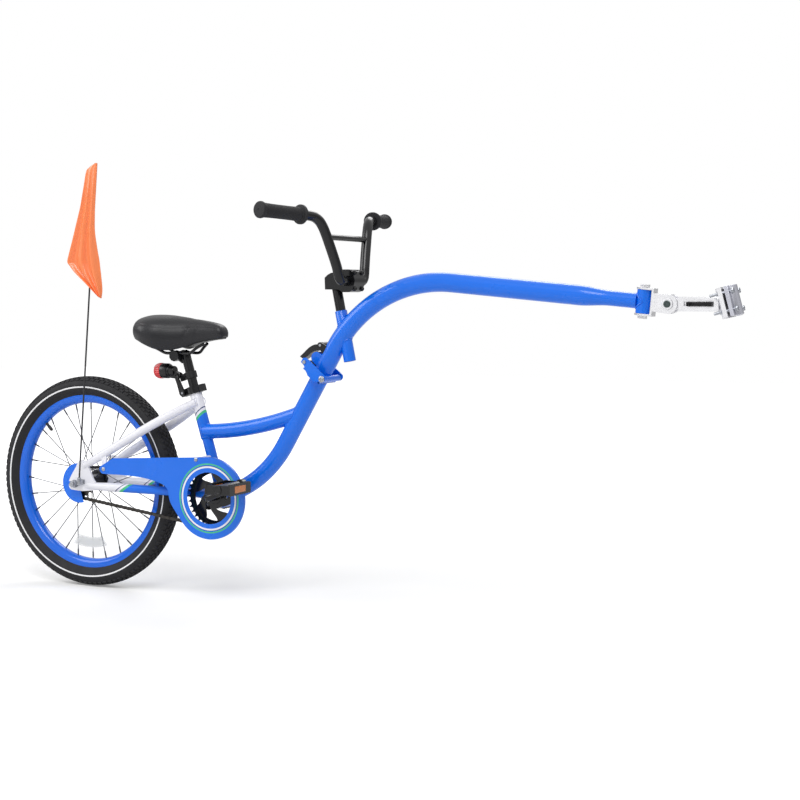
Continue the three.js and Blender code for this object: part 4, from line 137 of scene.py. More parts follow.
def outward(points, quads, tris):
    """The shell facing out: the sum of a·(b×c) over its triangles is six times its volume, with a sign."""
    halves = np.concatenate([quads[:, [0, 1, 2]], quads[:, [0, 2, 3]], tris])
    a, b, c = (points[halves[:, k]] - points.mean(axis=0) for k in range(3))
    if np.einsum("ij,ij->", a, np.cross(b, c)) < 0:
        quads, tris = quads[:, ::-1], tris[:, ::-1]
    return points, quads, tris


def capped(rings):
    """Rings of points (row, column, xyz) as a closed skin, with a fan to the middle of each end ring."""
    rows, columns = rings.shape[:2]
    points = np.concatenate([rings.reshape(-1, 3), rings[:1].mean(axis=1), rings[-1:].mean(axis=1)])
    on = np.arange(columns)
    nxt, last, first_middle = (on + 1) % columns, (rows - 1) * columns, rows * columns
    ends = [np.stack([nxt, on, np.full(columns, first_middle)], axis=1),
            np.stack([last + on, last + nxt, np.full(columns, first_middle + 1)], axis=1)]
    return outward(points, grid_quads(rows, columns), np.concatenate(ends))


def looped(rings):
    """Rings of points as a closed skin that runs back into itself, as a tyre does."""
    rows, columns = rings.shape[:2]
    return outward(rings.reshape(-1, 3), grid_quads(rows, columns, loop=True), NO_FACES)


def unit(vectors):
    """Each vector over its own length."""
    return vectors / np.linalg.norm(vectors, axis=-1, keepdims=True)


print("a 3 by 4 grid has", len(grid_quads(3, 4)), "faces")

# %% [markdown]
# ## Tubes, turned pieces and cut sheets
# Three ways of making cover nearly the whole bike, as they do in the workshop. A tube is a circle carried
# along a path. A turned piece is a profile spun round an axis. A sheet is an outline with a thickness.

# %% Carry a circle along a path
def sweep(path, radius, sides=32, beside=ACROSS, loop=False):
    """A circle of the given radius at each path point, square to the path. Across is the fixed direction
    `beside` with its share along the path taken off, and the third direction is their cross product."""
    path, beside = np.asarray(path, float), np.asarray(beside, float)
    along = unit(np.roll(path, -1, axis=0) - np.roll(path, 1, axis=0) if loop else np.gradient(path, axis=0))
    across = unit(beside - (along @ beside)[:, None] * along)
    up = np.cross(along, across)
    turn = np.linspace(0, 2 * math.pi, sides, endpoint=False)
    radius = np.broadcast_to(radius, len(path))[:, None, None]
    round_it = np.cos(turn)[:, None] * across[:, None] + np.sin(turn)[:, None] * up[:, None]
    return (looped if loop else capped)(path[:, None] + radius * round_it)


def smooth_path(points, steps=12):
    """A Catmull-Rom curve: between two points it leaves along half of the step past each of them."""
    p = np.asarray(points, float)
    p = np.concatenate([2 * p[:1] - p[1:2], p, 2 * p[-1:] - p[-2:-1]])
    t = np.linspace(0, 1, steps, endpoint=False)[:, None, None]
    a, b, c, d = p[:-3], p[1:-2], p[2:-1], p[3:]
    curve = b + t * (c - a) / 2 + t**2 * (2 * a - 5 * b + 4 * c - d) / 2 + t**3 * (3 * b - a - 3 * c + d) / 2
    return np.concatenate([curve.transpose(1, 0, 2).reshape(-1, 3), p[-2:-1]])


def smooth_edge(outline, steps=8):
    """The same curve through outline points in X and Z."""
    return smooth_path(on_middle_plane(outline), steps)[:, [0, 2]]


def crossing(a, along_a, b, along_b):
    """Where two lines in the bike's middle plane meet."""
    gap = b - a
    turn = along_a[0] * along_b[2] - along_a[2] * along_b[0]
    return a + along_a * (gap[0] * along_b[2] - gap[2] * along_b[0]) / turn


def bent_line(start, slope_a, end, slope_b, radius, steps=40):
    """A straight from start, an arc of that radius and a straight to end, in the middle plane. The arc
    touches both lines at radius times the tangent of half the turn from their crossing."""
    a, b = heading(slope_a), heading(slope_b)
    corner = crossing(start, a, end, b)
    reach = radius * math.tan(math.radians(abs(slope_b - slope_a)) / 2)
    way = math.copysign(1, slope_b - slope_a)
    centre = corner - a * reach + way * radius * heading(slope_a + 90)
    angles = np.radians(np.linspace(slope_a, slope_b, steps) - way * 90)
    arc = centre + radius * np.stack([np.cos(angles), 0 * angles, np.sin(angles)], axis=1)
    return np.concatenate([[start], arc, [end]])


# %% Spin a profile, lay straight rods and cut sheets
def there_and_back(half, *middle):
    """A profile that is the same on both sides: half of it, then that half again at minus its distance."""
    return [*half, *middle, *[(r, -y) for r, y in reversed(half)]]


def lathe(profile, centre, axis=ACROSS, turns=64, ring=False):
    """Each profile pair (radius, distance along the axis) as a circle round the axis. With ring, the
    profile closes on itself, so that a hole stays through the middle."""
    profile = np.asarray(profile, float)
    axis = unit(np.asarray(axis, float))
    u = unit(np.cross(axis, [0, 0, 1.0] if abs(axis[2]) < 0.9 else [1.0, 0, 0]))
    v = np.cross(axis, u)
    turn = np.linspace(0, 2 * math.pi, turns, endpoint=False)
    spoke = np.cos(turn)[:, None] * u + np.sin(turn)[:, None] * v
    return (looped if ring else capped)(centre + profile[:, :1, None] * spoke + profile[:, 1:, None] * axis)


def rods(starts, ends, radius, sides=8):
    """Straight round rods between pairs of points, all worked out at once as two circles each."""
    starts, ends = np.atleast_2d(starts).astype(float), np.atleast_2d(ends).astype(float)
    along = unit(ends - starts)
    helper = np.where(np.abs(along[:, 1:2]) < 0.9, [[0.0, 1, 0]], [[1.0, 0, 0]])
    u = unit(np.cross(along, helper))
    v = np.cross(along, u)
    turn = np.linspace(0, 2 * math.pi, sides, endpoint=False)
    circle = radius * (np.cos(turn)[:, None] * u[:, None] + np.sin(turn)[:, None] * v[:, None])
    rings = np.stack([starts[:, None] + circle, ends[:, None] + circle], axis=1)
    one = capped(rings[0])
    per = len(one[0])
    points = np.concatenate([rings.reshape(len(starts), -1, 3), starts[:, None], ends[:, None]], axis=1)
    offsets = np.arange(len(starts))[:, None, None] * per
    return points.reshape(-1, 3), (one[1] + offsets).reshape(-1, 4), (one[2] + offsets).reshape(-1, 3)


def signed_area(outline):
    """Half the sum of x·z' minus x'·z round the outline: above zero when it runs anticlockwise."""
    x, z = outline.T
    return (x @ np.roll(z, -1) - np.roll(x, -1) @ z) / 2


def plate(outline, low, high, holes=()):
    """An outline in X and Z with a thickness from low to high along Y. Its holes are closed loops too."""
    loops = [np.asarray(loop, float) for loop in (outline, *holes)]
    loops = [loop if (signed_area(loop) > 0) == (n == 0) else loop[::-1] for n, loop in enumerate(loops)]
    flat = np.concatenate(loops)
    count = len(flat)
    tris = np.array(tessellate_polygon([[Vector((x, z, 0)) for x, z in loop] for loop in loops]))
    a, b, c = (flat[tris[:, k]] for k in range(3))
    turned = (b[:, 0] - a[:, 0]) * (c[:, 1] - a[:, 1]) - (c[:, 0] - a[:, 0]) * (b[:, 1] - a[:, 1]) < 0
    tris[turned] = tris[turned][:, ::-1]
    starts = np.cumsum([0, *map(len, loops)])
    index = np.concatenate([np.roll(np.arange(s, e), -1) for s, e in zip(starts[:-1], starts[1:])])
    own = np.arange(count)
    sides = np.stack([index, own, own + count, index + count], axis=1)
    layers = [np.stack([flat[:, 0], np.full(count, y), flat[:, 1]], axis=1) for y in (low, high)]
    return outward(np.concatenate(layers), sides, np.concatenate([tris, tris[:, ::-1] + count]))


def arc(x, z, radius, start, end, steps):
    """Points round part of a circle, from one angle to another, in degrees."""
    a = np.radians(np.linspace(start, end, steps))
    return np.stack([x + radius * np.cos(a), z + radius * np.sin(a)], axis=1)


def circle(x, z, radius, steps=48):
    """Points round a whole circle."""
    return arc(x, z, radius, 0, 360, steps + 1)[:-1]


def moved(shell, pivot, degrees):
    """A shell carried to a pivot and leaned back by some degrees."""
    return tilted(shell[0], pivot, degrees), shell[1], shell[2]


print("a short tube has", len(sweep([(0, 0, 0), (9, 0, 0)], 2)[0]), "points")

# %% [markdown]
# ## From a shell to a piece
# Every piece is made the same way: its shells go into one mesh, its place is turned into the frame's metres, its faces
# are shaded smooth up to a crease angle, and a live bevel can round the sharp edges. Then it is hung on the moving body
# of the CAD solid that it stands for or goes along with, and a solid that it stands for is hidden. The body is that
# solid's own, and the material is the finish named for the piece.

# %% Make a piece, or round off a copy of a CAD solid
CREASE, FLAT_ENOUGH, SAME_PLACE = math.radians(38), math.radians(1), 2e-6


def put_in_scene(name, mesh, finish, node, edge, extra=False):
    """Smooth shading, an optional bevel of `edge` millimetres, and the moving body that the piece rides on. An extra
    piece rides with the CAD solid and doesn't stand for it; any other piece hides that solid."""
    piece = bpy.data.objects.new(name, mesh)
    bpy.context.scene.collection.objects.link(piece)
    mesh.materials.clear()
    mesh.materials.append(finish)
    mesh.polygons.foreach_set("use_smooth", np.ones(len(mesh.polygons), bool))
    mesh.set_sharp_from_angle(angle=CREASE)
    if edge:
        bevel = piece.modifiers.new("rounded edges", "BEVEL")
        bevel.width, bevel.segments, bevel.limit_method, bevel.angle_limit = edge / 1000, 2, "ANGLE", CREASE
        bevel.harden_normals = False
    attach(piece, body_of(nodes[node])[0])
    if not extra:
        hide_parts(node)
    print(f"{name}: {len(mesh.polygons)} faces")
    return piece


def make_piece(name, shells, finish, node, edge=0.0, extra=False, uv=None):
    """One mesh from several shells, whose millimetres on the bike become metres from the clamp."""
    shells = [shells] if isinstance(shells, tuple) else list(shells)
    starts = np.cumsum([0, *[len(points) for points, _, _ in shells]])
    points = (np.concatenate([s[0] for s in shells]) - CLAMP) / 1000
    faces = [face for start, (_, quads, tris) in zip(starts, shells)
             for face in [*(quads + start).tolist(), *(tris + start).tolist()]]
    mesh = bpy.data.meshes.new(name)
    mesh.from_pydata(points.tolist(), [], faces)
    if uv is not None:
        corner = np.empty(len(mesh.loops), int)
        mesh.loops.foreach_get("vertex_index", corner)
        mesh.uv_layers.new(name="surface").data.foreach_set("uv", uv[corner].ravel())
    return put_in_scene(name, mesh, finish, node, edge, extra)


def softened(node, finish, edge):
    """A copy of a CAD solid with its loose corners merged and its flat faces joined, then rounded."""
    work = bmesh.new()
    work.from_mesh(nodes[node].data)
    bmesh.ops.remove_doubles(work, verts=work.verts, dist=SAME_PLACE)
    bmesh.ops.dissolve_limit(work, angle_limit=FLAT_ENOUGH, verts=work.verts, edges=work.edges)
    mesh = bpy.data.meshes.new(node + "_rounded")
    work.to_mesh(mesh)
    work.free()
    put_in_scene(node + "_rounded", mesh, finish, node, edge)

# %% [markdown]
# ## Camera, floor and light
# The photograph was taken from the drive side, a little behind the seat, with a long lens, so the camera
# stands there. The studio is a pale floor that runs on into a white surround. Only what the camera, the
# gloss and the clear plastic see is pure white. The light that falls on the bike is plain and soft.

# %% Place the camera
LOOK_TURN, LOOK_DROP = math.radians(26.24), math.radians(4.03)
LENS_MM, FILM_MM, FARTHEST_SEEN = 67.095, 36, 60
camera = bpy.data.objects.new("camera", bpy.data.cameras.new("camera"))
bpy.context.scene.collection.objects.link(camera)
look = Vector((-math.sin(LOOK_TURN) * math.cos(LOOK_DROP), math.cos(LOOK_TURN) * math.cos(LOOK_DROP),
               -math.sin(LOOK_DROP)))
camera.location = (0.716, -2.916, 0.013)
camera.rotation_euler = look.to_track_quat("-Z", "Y").to_euler()
camera.data.lens, camera.data.sensor_width, camera.data.sensor_fit = LENS_MM, FILM_MM, "HORIZONTAL"
camera.data.clip_end = FARTHEST_SEEN
bpy.context.scene.camera = camera
bpy.context.scene.view_settings.view_transform = "Standard"
print("camera", tuple(round(v, 3) for v in camera.location))


# %% Colours and nodes
def srgb(value, alpha=1.0):
    """A hex colour as linear light: each channel over 12.92 when dark, else raised to the power 2.4."""
    channels = [(value >> shift & 255) / 255 for shift in (16, 8, 0)]
    return (*[c / 12.92 if c <= 0.04045 else ((c + 0.055) / 1.055) ** 2.4 for c in channels], alpha)


def add(tree, kind, inputs=None, **settings):
    """One shader node with its settings. An input is a plain value, or another node's output to link, which
    is its first one when the node itself is given."""
    node = tree.nodes.new("ShaderNode" + kind)
    for setting, value in settings.items():
        setattr(node, setting, value)
    for socket, value in (inputs or {}).items():
        value = value.outputs[0] if isinstance(value, bpy.types.Node) else value
        if isinstance(value, bpy.types.NodeSocket):
            tree.links.new(value, node.inputs[socket])
        else:
            node.inputs[socket].default_value = value
    return node


# %% White surround: for the gloss, a grey wall with a bright ceiling and two bright panels
WHITE_SEEN, WALL_SEEN, PLAIN_LIGHT = 1.0, 0.42, 0.5
CEILING_FROM, CEILING_FULL = 0.12, 0.62
PANELS, PANEL_EDGE = ((-112, 0.93), (-38, 0.985)), 0.012  # bearing in degrees, cosine of half the width
world = bpy.data.worlds.new("studio")
bpy.context.scene.world = world
world.use_nodes = True
tree = world.node_tree
tree.nodes.clear()
rays = add(tree, "LightPath").outputs
way_out = add(tree, "TexCoord").outputs["Generated"]
height = add(tree, "SeparateXYZ", {0: way_out}).outputs["Z"]
wall = add(tree, "MapRange", {"Value": height, "From Min": CEILING_FROM, "From Max": CEILING_FULL,
                              "To Min": WALL_SEEN, "To Max": WHITE_SEEN}, interpolation_type="SMOOTHSTEP")
for bearing, narrow in PANELS:
    facing = (math.cos(math.radians(bearing)), math.sin(math.radians(bearing)), 0.0)
    towards = add(tree, "VectorMath", {0: way_out, 1: facing}, operation="DOT_PRODUCT").outputs["Value"]
    panel = add(tree, "MapRange", {"Value": towards, "From Min": narrow, "From Max": narrow + PANEL_EDGE,
                                   "To Max": WHITE_SEEN})
    wall = add(tree, "Math", {0: wall, 1: panel}, operation="MAXIMUM")
plain = add(tree, "Math", {0: rays["Is Diffuse Ray"], 1: PLAIN_LIGHT}, operation="MULTIPLY")
level = add(tree, "Math", {0: rays["Is Glossy Ray"], 1: wall}, operation="MULTIPLY")
for seen in (rays["Is Camera Ray"], rays["Is Transmission Ray"], plain):
    level = add(tree, "Math", {0: level, 1: seen}, operation="MAXIMUM")
backdrop = add(tree, "Background", {"Color": (1, 1, 1, 1), "Strength": level})
add(tree, "OutputWorld", {"Surface": backdrop})

# %% Paper floor: matt, and brighter for the camera with distance, so that it has no edge
FLOOR_HALF, GROUND, PAPER = 9.0, -0.6972, 0.86
GLOW_NEAR, GLOW_FAR, LIFT_NEAR, LIFT_FAR = 0.7, 3.2, 0.2, 0.75
floor_mesh = bpy.data.meshes.new("floor")
corners = [(x * FLOOR_HALF, y * FLOOR_HALF, GROUND) for x, y in ((-1, -1), (1, -1), (1, 1), (-1, 1))]
floor_mesh.from_pydata(corners, [], [(0, 1, 2, 3)])
floor = bpy.data.objects.new("floor", floor_mesh)
bpy.context.scene.collection.objects.link(floor)
paper = bpy.data.materials.new("white_paper_floor")
paper.use_nodes = True
tree = paper.node_tree
tree.nodes.clear()
matt = add(tree, "BsdfDiffuse", {"Color": (PAPER, PAPER, PAPER, 1)})
here, for_camera = add(tree, "TexCoord").outputs["Object"], add(tree, "LightPath").outputs["Is Camera Ray"]
from_bike = add(tree, "VectorMath", {0: here, 1: (-1.1, -0.2, GROUND)}, operation="SUBTRACT")
distance = add(tree, "VectorMath", {0: from_bike}, operation="LENGTH").outputs["Value"]
more = add(tree, "MapRange", {"Value": distance, "From Min": GLOW_NEAR, "From Max": GLOW_FAR,
                              "To Min": LIFT_NEAR, "To Max": LIFT_FAR}, interpolation_type="SMOOTHSTEP")
lift = add(tree, "Math", {0: more, 1: for_camera}, operation="MULTIPLY")
glow = add(tree, "Emission", {"Color": (1, 1, 1, 1), "Strength": lift})
both = add(tree, "AddShader", {0: matt, 1: glow})
add(tree, "OutputMaterial", {"Surface": both})
floor_mesh.materials.append(paper)


# %% Three soft boxes
def lamp(name, place, size, power, aim=(-0.9, 0.0, -0.25)):
    """A square soft box at a place, turned towards the middle of the bike, which it lights."""
    light = bpy.data.lights.new(name, "AREA")
    light.shape, light.size, light.energy = "SQUARE", size, power
    box = bpy.data.objects.new(name, light)
    box.location = place
    box.rotation_euler = (Vector(aim) - Vector(place)).to_track_quat("-Z", "Y").to_euler()
    bpy.context.scene.collection.objects.link(box)


lamp("key_soft_box", (0.2, -3.2, 3.6), 2.4, 105)
lamp("side_soft_box", (-4.2, -2.0, 1.8), 2.2, 55)
lamp("back_soft_box", (-1.6, 3.4, 3.0), 2.4, 60)
print("three soft boxes")

# %% [markdown]
# ## Finishes
# Each finish starts from what the real one is. Most share a build: a slow drift of the colour, a change of
# gloss as from handling, and a fine relief at the size of its real grain. Patterns are read from the
# object's own coordinates, which here are metres, so a grain of two millimetres has a scale of five hundred.


# %% The build that most finishes share
def finish(name, colour, roughness, grain, depth, fixed=None, drift=0.06, gloss_drift=0.05, patch=60.0):
    """A shader whose colour, gloss and relief vary. Grain, depth and patch are in millimetres: noise of
    the patch size mixes the colour with a darker one, and noise of the grain size lifts the surface.
    Fixed holds what is the same all over, by socket."""
    material = bpy.data.materials.new(name)
    material.use_nodes = True
    tree = material.node_tree
    tree.nodes.clear()
    shader = add(tree, "BsdfPrincipled", fixed)
    add(tree, "OutputMaterial", {"Surface": shader})
    here = add(tree, "TexCoord").outputs["Object"]
    wide = add(tree, "TexNoise", {"Vector": here, "Scale": 1000 / patch, "Detail": 3.0}).outputs["Fac"]
    fine = add(tree, "TexNoise", {"Vector": here, "Scale": 1000 / grain, "Detail": 2.0}).outputs["Fac"]
    base = srgb(colour)
    darker = tuple(c * (1 - 2 * drift) for c in base[:3]) + (1.0,)
    mixed = add(tree, "MixRGB", {"Fac": wide, "Color1": base, "Color2": darker})
    tree.links.new(mixed.outputs[0], shader.inputs["Base Color"])
    gloss = add(tree, "MapRange", {"Value": wide, "From Min": 0.3, "From Max": 0.7,
                                   "To Min": roughness - gloss_drift, "To Max": roughness + gloss_drift})
    tree.links.new(gloss.outputs[0], shader.inputs["Roughness"])
    relief = add(tree, "Bump", {"Height": fine, "Strength": 1.0, "Distance": depth / 1000})
    tree.links.new(relief.outputs[0], shader.inputs["Normal"])
    return material


def tree_of(material):
    """A finish's tree, the nodes that later steps hook on to, by kind, and its coordinates."""
    tree = material.node_tree
    pick = {kind: next(n for n in tree.nodes if n.bl_idname == "ShaderNode" + kind)
            for kind in ("MixRGB", "Bump", "TexCoord")}
    return tree, pick, pick["TexCoord"].outputs["Object"]


# %% Read a place in millimetres, and lay paint in bands
def from_place(tree, here, start):
    """The shaded point's offset from a place on the bike, in millimetres: metres from the clamp times a
    thousand, plus the clamp, minus the place."""
    on_bike = add(tree, "VectorMath", {0: here, 1: (1000, 1000, 1000), 2: tuple(CLAMP)}, operation="MULTIPLY_ADD")
    return add(tree, "VectorMath", {0: on_bike, 1: tuple(start)}, operation="SUBTRACT")


def far_from(tree, here, middle):
    """How far the point is from an axle that runs along Y: the length of its offset with Y taken out."""
    flat = add(tree, "VectorMath", {0: from_place(tree, here, middle), 1: (1, 0, 1)}, operation="MULTIPLY")
    return add(tree, "VectorMath", {0: flat}, operation="LENGTH").outputs["Value"]


def along_line(tree, here, start, direction):
    """How far the point lies along a direction from a start: the dot product of its offset with it."""
    offset = from_place(tree, here, start)
    return add(tree, "VectorMath", {0: offset, 1: direction}, operation="DOT_PRODUCT").outputs["Value"]


def banded(material, stops, measure, *places):
    """Paints bands over a finish. Stops are (millimetres, hex colour) in order, each colour from its
    place on. The slow drift of the finish then darkens every band alike."""
    tree, pick, here = tree_of(material)
    low, high = stops[0][0], stops[-1][0] + 1.0
    share = add(tree, "MapRange", {"Value": measure(tree, here, *places), "From Min": low, "From Max": high})
    ramp = add(tree, "ValToRGB", {"Fac": share})
    ramp.color_ramp.interpolation = "CONSTANT"
    for n, (at, colour) in enumerate(stops):
        stop = ramp.color_ramp.elements[n] if n < 2 else ramp.color_ramp.elements.new(1.0)
        stop.position, stop.color = (at - low) / (high - low), srgb(colour)
    dimmed = add(tree, "VectorMath", {0: ramp, 1: (0.88, 0.88, 0.88)}, operation="MULTIPLY")
    tree.links.new(ramp.outputs[0], pick["MixRGB"].inputs["Color1"])
    tree.links.new(dimmed.outputs[0], pick["MixRGB"].inputs["Color2"])
    return material


# %% Enamel: sprayed and baked under a clear coat, so it shines twice and hardly has a grain
BLUE, WHITE, NAVY, GREEN = 0x0470EC, 0xF2F2F9, 0x14306A, 0x45C489
ENAMEL = {"Specular IOR Level": 0.3, "Coat Weight": 0.42, "Coat Roughness": 0.04, "Coat IOR": 1.5}


def enamel(name, colour, roughness=0.3):
    """Baked enamel. The sprayer's orange peel is a swell about 9 mm wide and a few microns deep."""
    return finish(name, colour, roughness, 9.0, 0.006, ENAMEL, drift=0.035)


# blue baked enamel: deep even blue with a crisp clear shine over a softer one
blue_enamel = enamel("blue_baked_enamel", BLUE)
# white baked enamel: cool white whose edges show only by their shading
white_enamel = enamel("white_baked_enamel", WHITE)
# painted in two tones: white gives way to blue past a navy hairline and a green band
SEAT_STRIPE = [(-160, WHITE), (-58.7, NAVY), (-57, WHITE), (-51.3, GREEN), (-45.7, BLUE), (-20, BLUE)]
seat_tube_enamel = banded(enamel("two_tone_seat_tube_enamel", BLUE), SEAT_STRIPE,
                          along_line, (0, 0, 0), (0.74, 0, -0.673))
STAY_STRIPE = [(-60, WHITE), (-9, NAVY), (-7, WHITE), (-2, GREEN), (4, BLUE), (40, BLUE)]
chain_stay_enamel = banded(enamel("two_tone_chain_stay_enamel", BLUE), STAY_STRIPE,
                           along_line, (144, 0, 254), (0.59, 0, -0.807))
# the guard's blue with its white and green rings, whose edges are as sharp as a mask leaves them
GUARD_RINGS = [(50, BLUE), (70, WHITE), (74.2, NAVY), (75.4, BLUE), (77, GREEN), (80.6, BLUE), (96, BLUE)]
guard_enamel = banded(enamel("ringed_guard_enamel", BLUE), GUARD_RINGS, far_from, CRANKS)
# the rim's thinner coat over bright alloy: a shade more violet, and glossier
rim_enamel = enamel("blue_rim_enamel", 0x0466E0, 0.25)
print("enamels:", sum("enamel" in m.name for m in bpy.data.materials))


# %% Black parts, rubber and vinyl
def sheen(level):
    """How much of the light a surface gives back at its face, as the shader counts it."""
    return {"Specular IOR Level": level}


# black baked enamel: near black with narrow bright lines along the tubes
black_enamel = finish("black_baked_enamel", 0x0D0D10, 0.2, 9.0, 0.005, sheen(0.45), drift=0.05)
# moulded plastic: broad grey shine from the fine texture of the mould
black_plastic = finish("moulded_black_plastic", 0x131316, 0.36, 0.9, 0.03, sheen(0.4))
# glossy nylon of levers and pedals: darker, with small clear highlights on every edge
lever_plastic = finish("glossy_black_nylon", 0x0F0F12, 0.26, 1.4, 0.02, sheen(0.5))
# grip rubber: greyer and matt, so that its ribs read by shade alone
grip_rubber = finish("moulded_grip_rubber", 0x202023, 0.62, 0.7, 0.05, sheen(0.4), drift=0.1)
# vulcanised rubber: dusty matt charcoal, with the white line round the sidewall
TYRE = 0x1F1F22
WHITE_LINE = [(190, TYRE), (228.9, 0xF6F6F7), (232.4, TYRE), (262, TYRE)]
tyre_rubber = banded(finish("vulcanised_tyre_rubber", TYRE, 0.66, 1.2, 0.06, sheen(0.35), drift=0.1, patch=25.0),
                     WHITE_LINE, far_from, AXLE)
# butyl rubber of tube and valve: a little smoother than the tyre
tube_rubber = finish("black_butyl_rubber", 0x1E1E1F, 0.55, 1.0, 0.03)


def cells_in_relief(material, scale, **kind):
    """Cells of a regular size in place of the fine noise, so that their borders sink. Returns the relief."""
    tree, pick, here = tree_of(material)
    cells = add(tree, "TexVoronoi", {"Vector": here, "Scale": scale}, **kind)
    tree.links.new(cells.outputs["Distance"], pick["Bump"].inputs["Height"])
    return pick["Bump"]


# embossed vinyl: a leathery pebble about 1.6 mm wide that breaks the highlight on the crown into a sheen
saddle_vinyl = finish("embossed_saddle_vinyl", 0x212125, 0.4, 1.0, 0.05, sheen(0.4), drift=0.12)
cells_in_relief(saddle_vinyl, 620.0, feature="SMOOTH_F1").inputs["Distance"].default_value = 0.00016


# %% Metals and the rod
def metal(name, colour, roughness, grain, depth, share=1.0, **drifts):
    """A bare or plated metal, whose colour is in its reflection."""
    return finish(name, colour, roughness, grain, depth, {"Metallic": share}, **drifts)


# zinc plate: bright and cool, with a faint cloudiness that keeps it from being a mirror
zinc_steel = metal("bright_zinc_plated_steel", 0xFCFCFF, 0.28, 1.5, 0.015, 0.8, drift=0.08, gloss_drift=0.08,
                   patch=18.0)
# tumbled casting: the same silver a step darker, slightly pitted
cast_alloy = metal("tumbled_cast_alloy", 0xDCDDE8, 0.3, 1.6, 0.03, drift=0.1, gloss_drift=0.08, patch=14.0)
# plated bolts: greyer, mottled by handling, so that they part from the pieces they hold
bolt_steel = metal("zinc_plated_bolts", 0xB9BCC3, 0.28, 0.8, 0.02, drift=0.12, patch=8.0)
# drawn spokes: dark thin lines with a glint here and there
spoke_steel = metal("drawn_spoke_steel", 0x5C5F66, 0.3, 2.0, 0.01, patch=30.0)
# anodised hub: smoky black metal with a long soft highlight
hub_alloy = metal("black_anodised_hub", 0x3A3B40, 0.32, 0.6, 0.02, patch=12.0)
# blackened socket screws: deep grey, so that the hole in each head reads
dark_steel = metal("dark_socket_screws", 0x5A6464, 0.34, 0.8, 0.02, drift=0.1, patch=6.0)
# oiled chain: warm dark steel in uneven patches of shine
chain_steel = metal("oiled_chain_steel", 0x55524F, 0.36, 0.9, 0.03, drift=0.25, gloss_drift=0.1, patch=9.0)
# fibreglass: black resin with a thin clear skin
rod_fibre = finish("black_fibreglass_rod", 0x1A1A1C, 0.35, 1.2, 0.02, {"Coat Weight": 0.3})


# %% Lenses and the flag's film
def lens_plastic(name, colour, through, prism):
    """Moulded lens plastic: part clear, over cube prisms about `prism` millimetres wide that flash."""
    clear = {"IOR": 1.49, "Transmission Weight": through, "Coat Weight": 0.6}
    material = finish(name, colour, 0.12, prism, 0.3, clear, gloss_drift=0.04)
    cells_in_relief(material, 1000 / prism, distance="CHEBYCHEV")
    return material


# clear reflector: a pale veil with glints, through which the spokes can be seen
clear_lens = lens_plastic("clear_reflector_plastic", 0xF4F6F8, 0.0, 2.6)
shader = next(n for n in clear_lens.node_tree.nodes if n.bl_idname == "ShaderNodeBsdfPrincipled")
shader.inputs["Alpha"].default_value = 0.35
# amber reflector: honey orange, with sparks from its prisms
amber_lens = lens_plastic("amber_reflector_plastic", 0xD8791F, 0.15, 2.6)
# red lamp lens: full red with a wet highlight
red_lens = lens_plastic("red_lamp_plastic", 0xE62A32, 0.05, 3.4)
# glossy vinyl film: light orange with a smooth sheen along the folds
flag_vinyl = finish("glossy_orange_vinyl", 0xFF8A50, 0.3, 1.1, 0.03, {"Coat Weight": 0.5, "Coat Roughness": 0.15},
                    drift=0.05, patch=40.0)
print("finishes:", len(bpy.data.materials))

# %% [markdown]
# ## The wheel
# A tyre is a rubber horseshoe in section, spun round the axle. One profile spun by a lathe gives the
# casing, and the small tread blocks are laid on its crown in staggered rows, each only a few faces, because
# there are hundreds of them.

# %% Tyre casing with its tread blocks
CROWN = 254
CASING_OUT = [(204.5, 12.5), (210, 14.4), (216, 18.2), (222, 22.8), (228, 25.8), (234, 26.8), (240, 25.6),
              (245.5, 22.6), (249.6, 18), (252.2, 12), (253.6, 6)]
CASING_IN = [(206, -10), (213, -12.8), (221, -18), (229, -21.8), (237, -21.6), (244, -17.5), (248.6, -12),
             (250.4, -6)]
casing_profile = there_and_back(CASING_OUT, (CROWN, 0)) + there_and_back(CASING_IN, (250.8, 0))
casing = lathe(casing_profile, AXLE, turns=160, ring=True)


def tread_blocks(rows=7, around=104, spacing=6.6, high=2.3, half_long=5.6, half_wide=2.5):
    """Blocks on the crown: row n sits at y = n·spacing, its radius read off the casing, and every second
    row is turned by half a block. A block's four feet are wider apart than its four top corners."""
    row, number = np.meshgrid(np.arange(rows) - rows // 2, np.arange(around), indexing="ij")
    angle = (number + (row % 2) / 2) / around * 2 * math.pi
    outline = np.array(sorted([(y, r) for r, y in CASING_OUT[5:]] + [(0, CROWN)]))
    corners = np.array([[-1, -1], [1, -1], [1, 1], [-1, 1]])
    layers = []
    for lift, shrink in ((-0.8, 1.0), (high, 0.8)):
        y = row[..., None] * spacing + corners[:, 1] * half_wide * shrink
        r = np.interp(np.abs(y), outline[:, 0], outline[:, 1])
        lean = np.clip(np.abs(y) / 27, 0, 1) ** 2 * 0.9
        out, side = r + lift * np.cos(lean), y + lift * np.sin(lean) * np.sign(y)
        a = angle[..., None] + corners[:, 0] * half_long * shrink / CROWN
        layers.append(np.stack([out * np.cos(a), side, AXLE[2] + out * np.sin(a)], axis=-1))
    points = np.stack(layers, axis=2).reshape(-1, 3)
    faces = np.array([[4, 5, 6, 7], [0, 1, 5, 4], [1, 2, 6, 5], [2, 3, 7, 6], [3, 0, 4, 7], [3, 2, 1, 0]])
    quads = (faces + 8 * np.arange(rows * around)[:, None, None]).reshape(-1, 4)
    return outward(points, quads, NO_FACES)


make_piece("tyre_with_tread", [casing, tread_blocks()], tyre_rubber, "tyre")

# %% [markdown]
# ## Rim, hub and spokes
# The rim is an extruded alloy hoop in blue enamel. Twenty-eight steel spokes leave the hub's two flanges at
# a slant, by turns forward and back, so that they cross on their way out, and each ends in a small nipple.
# All spokes are rods, so their two ends are worked out as arrays and laid in one go.

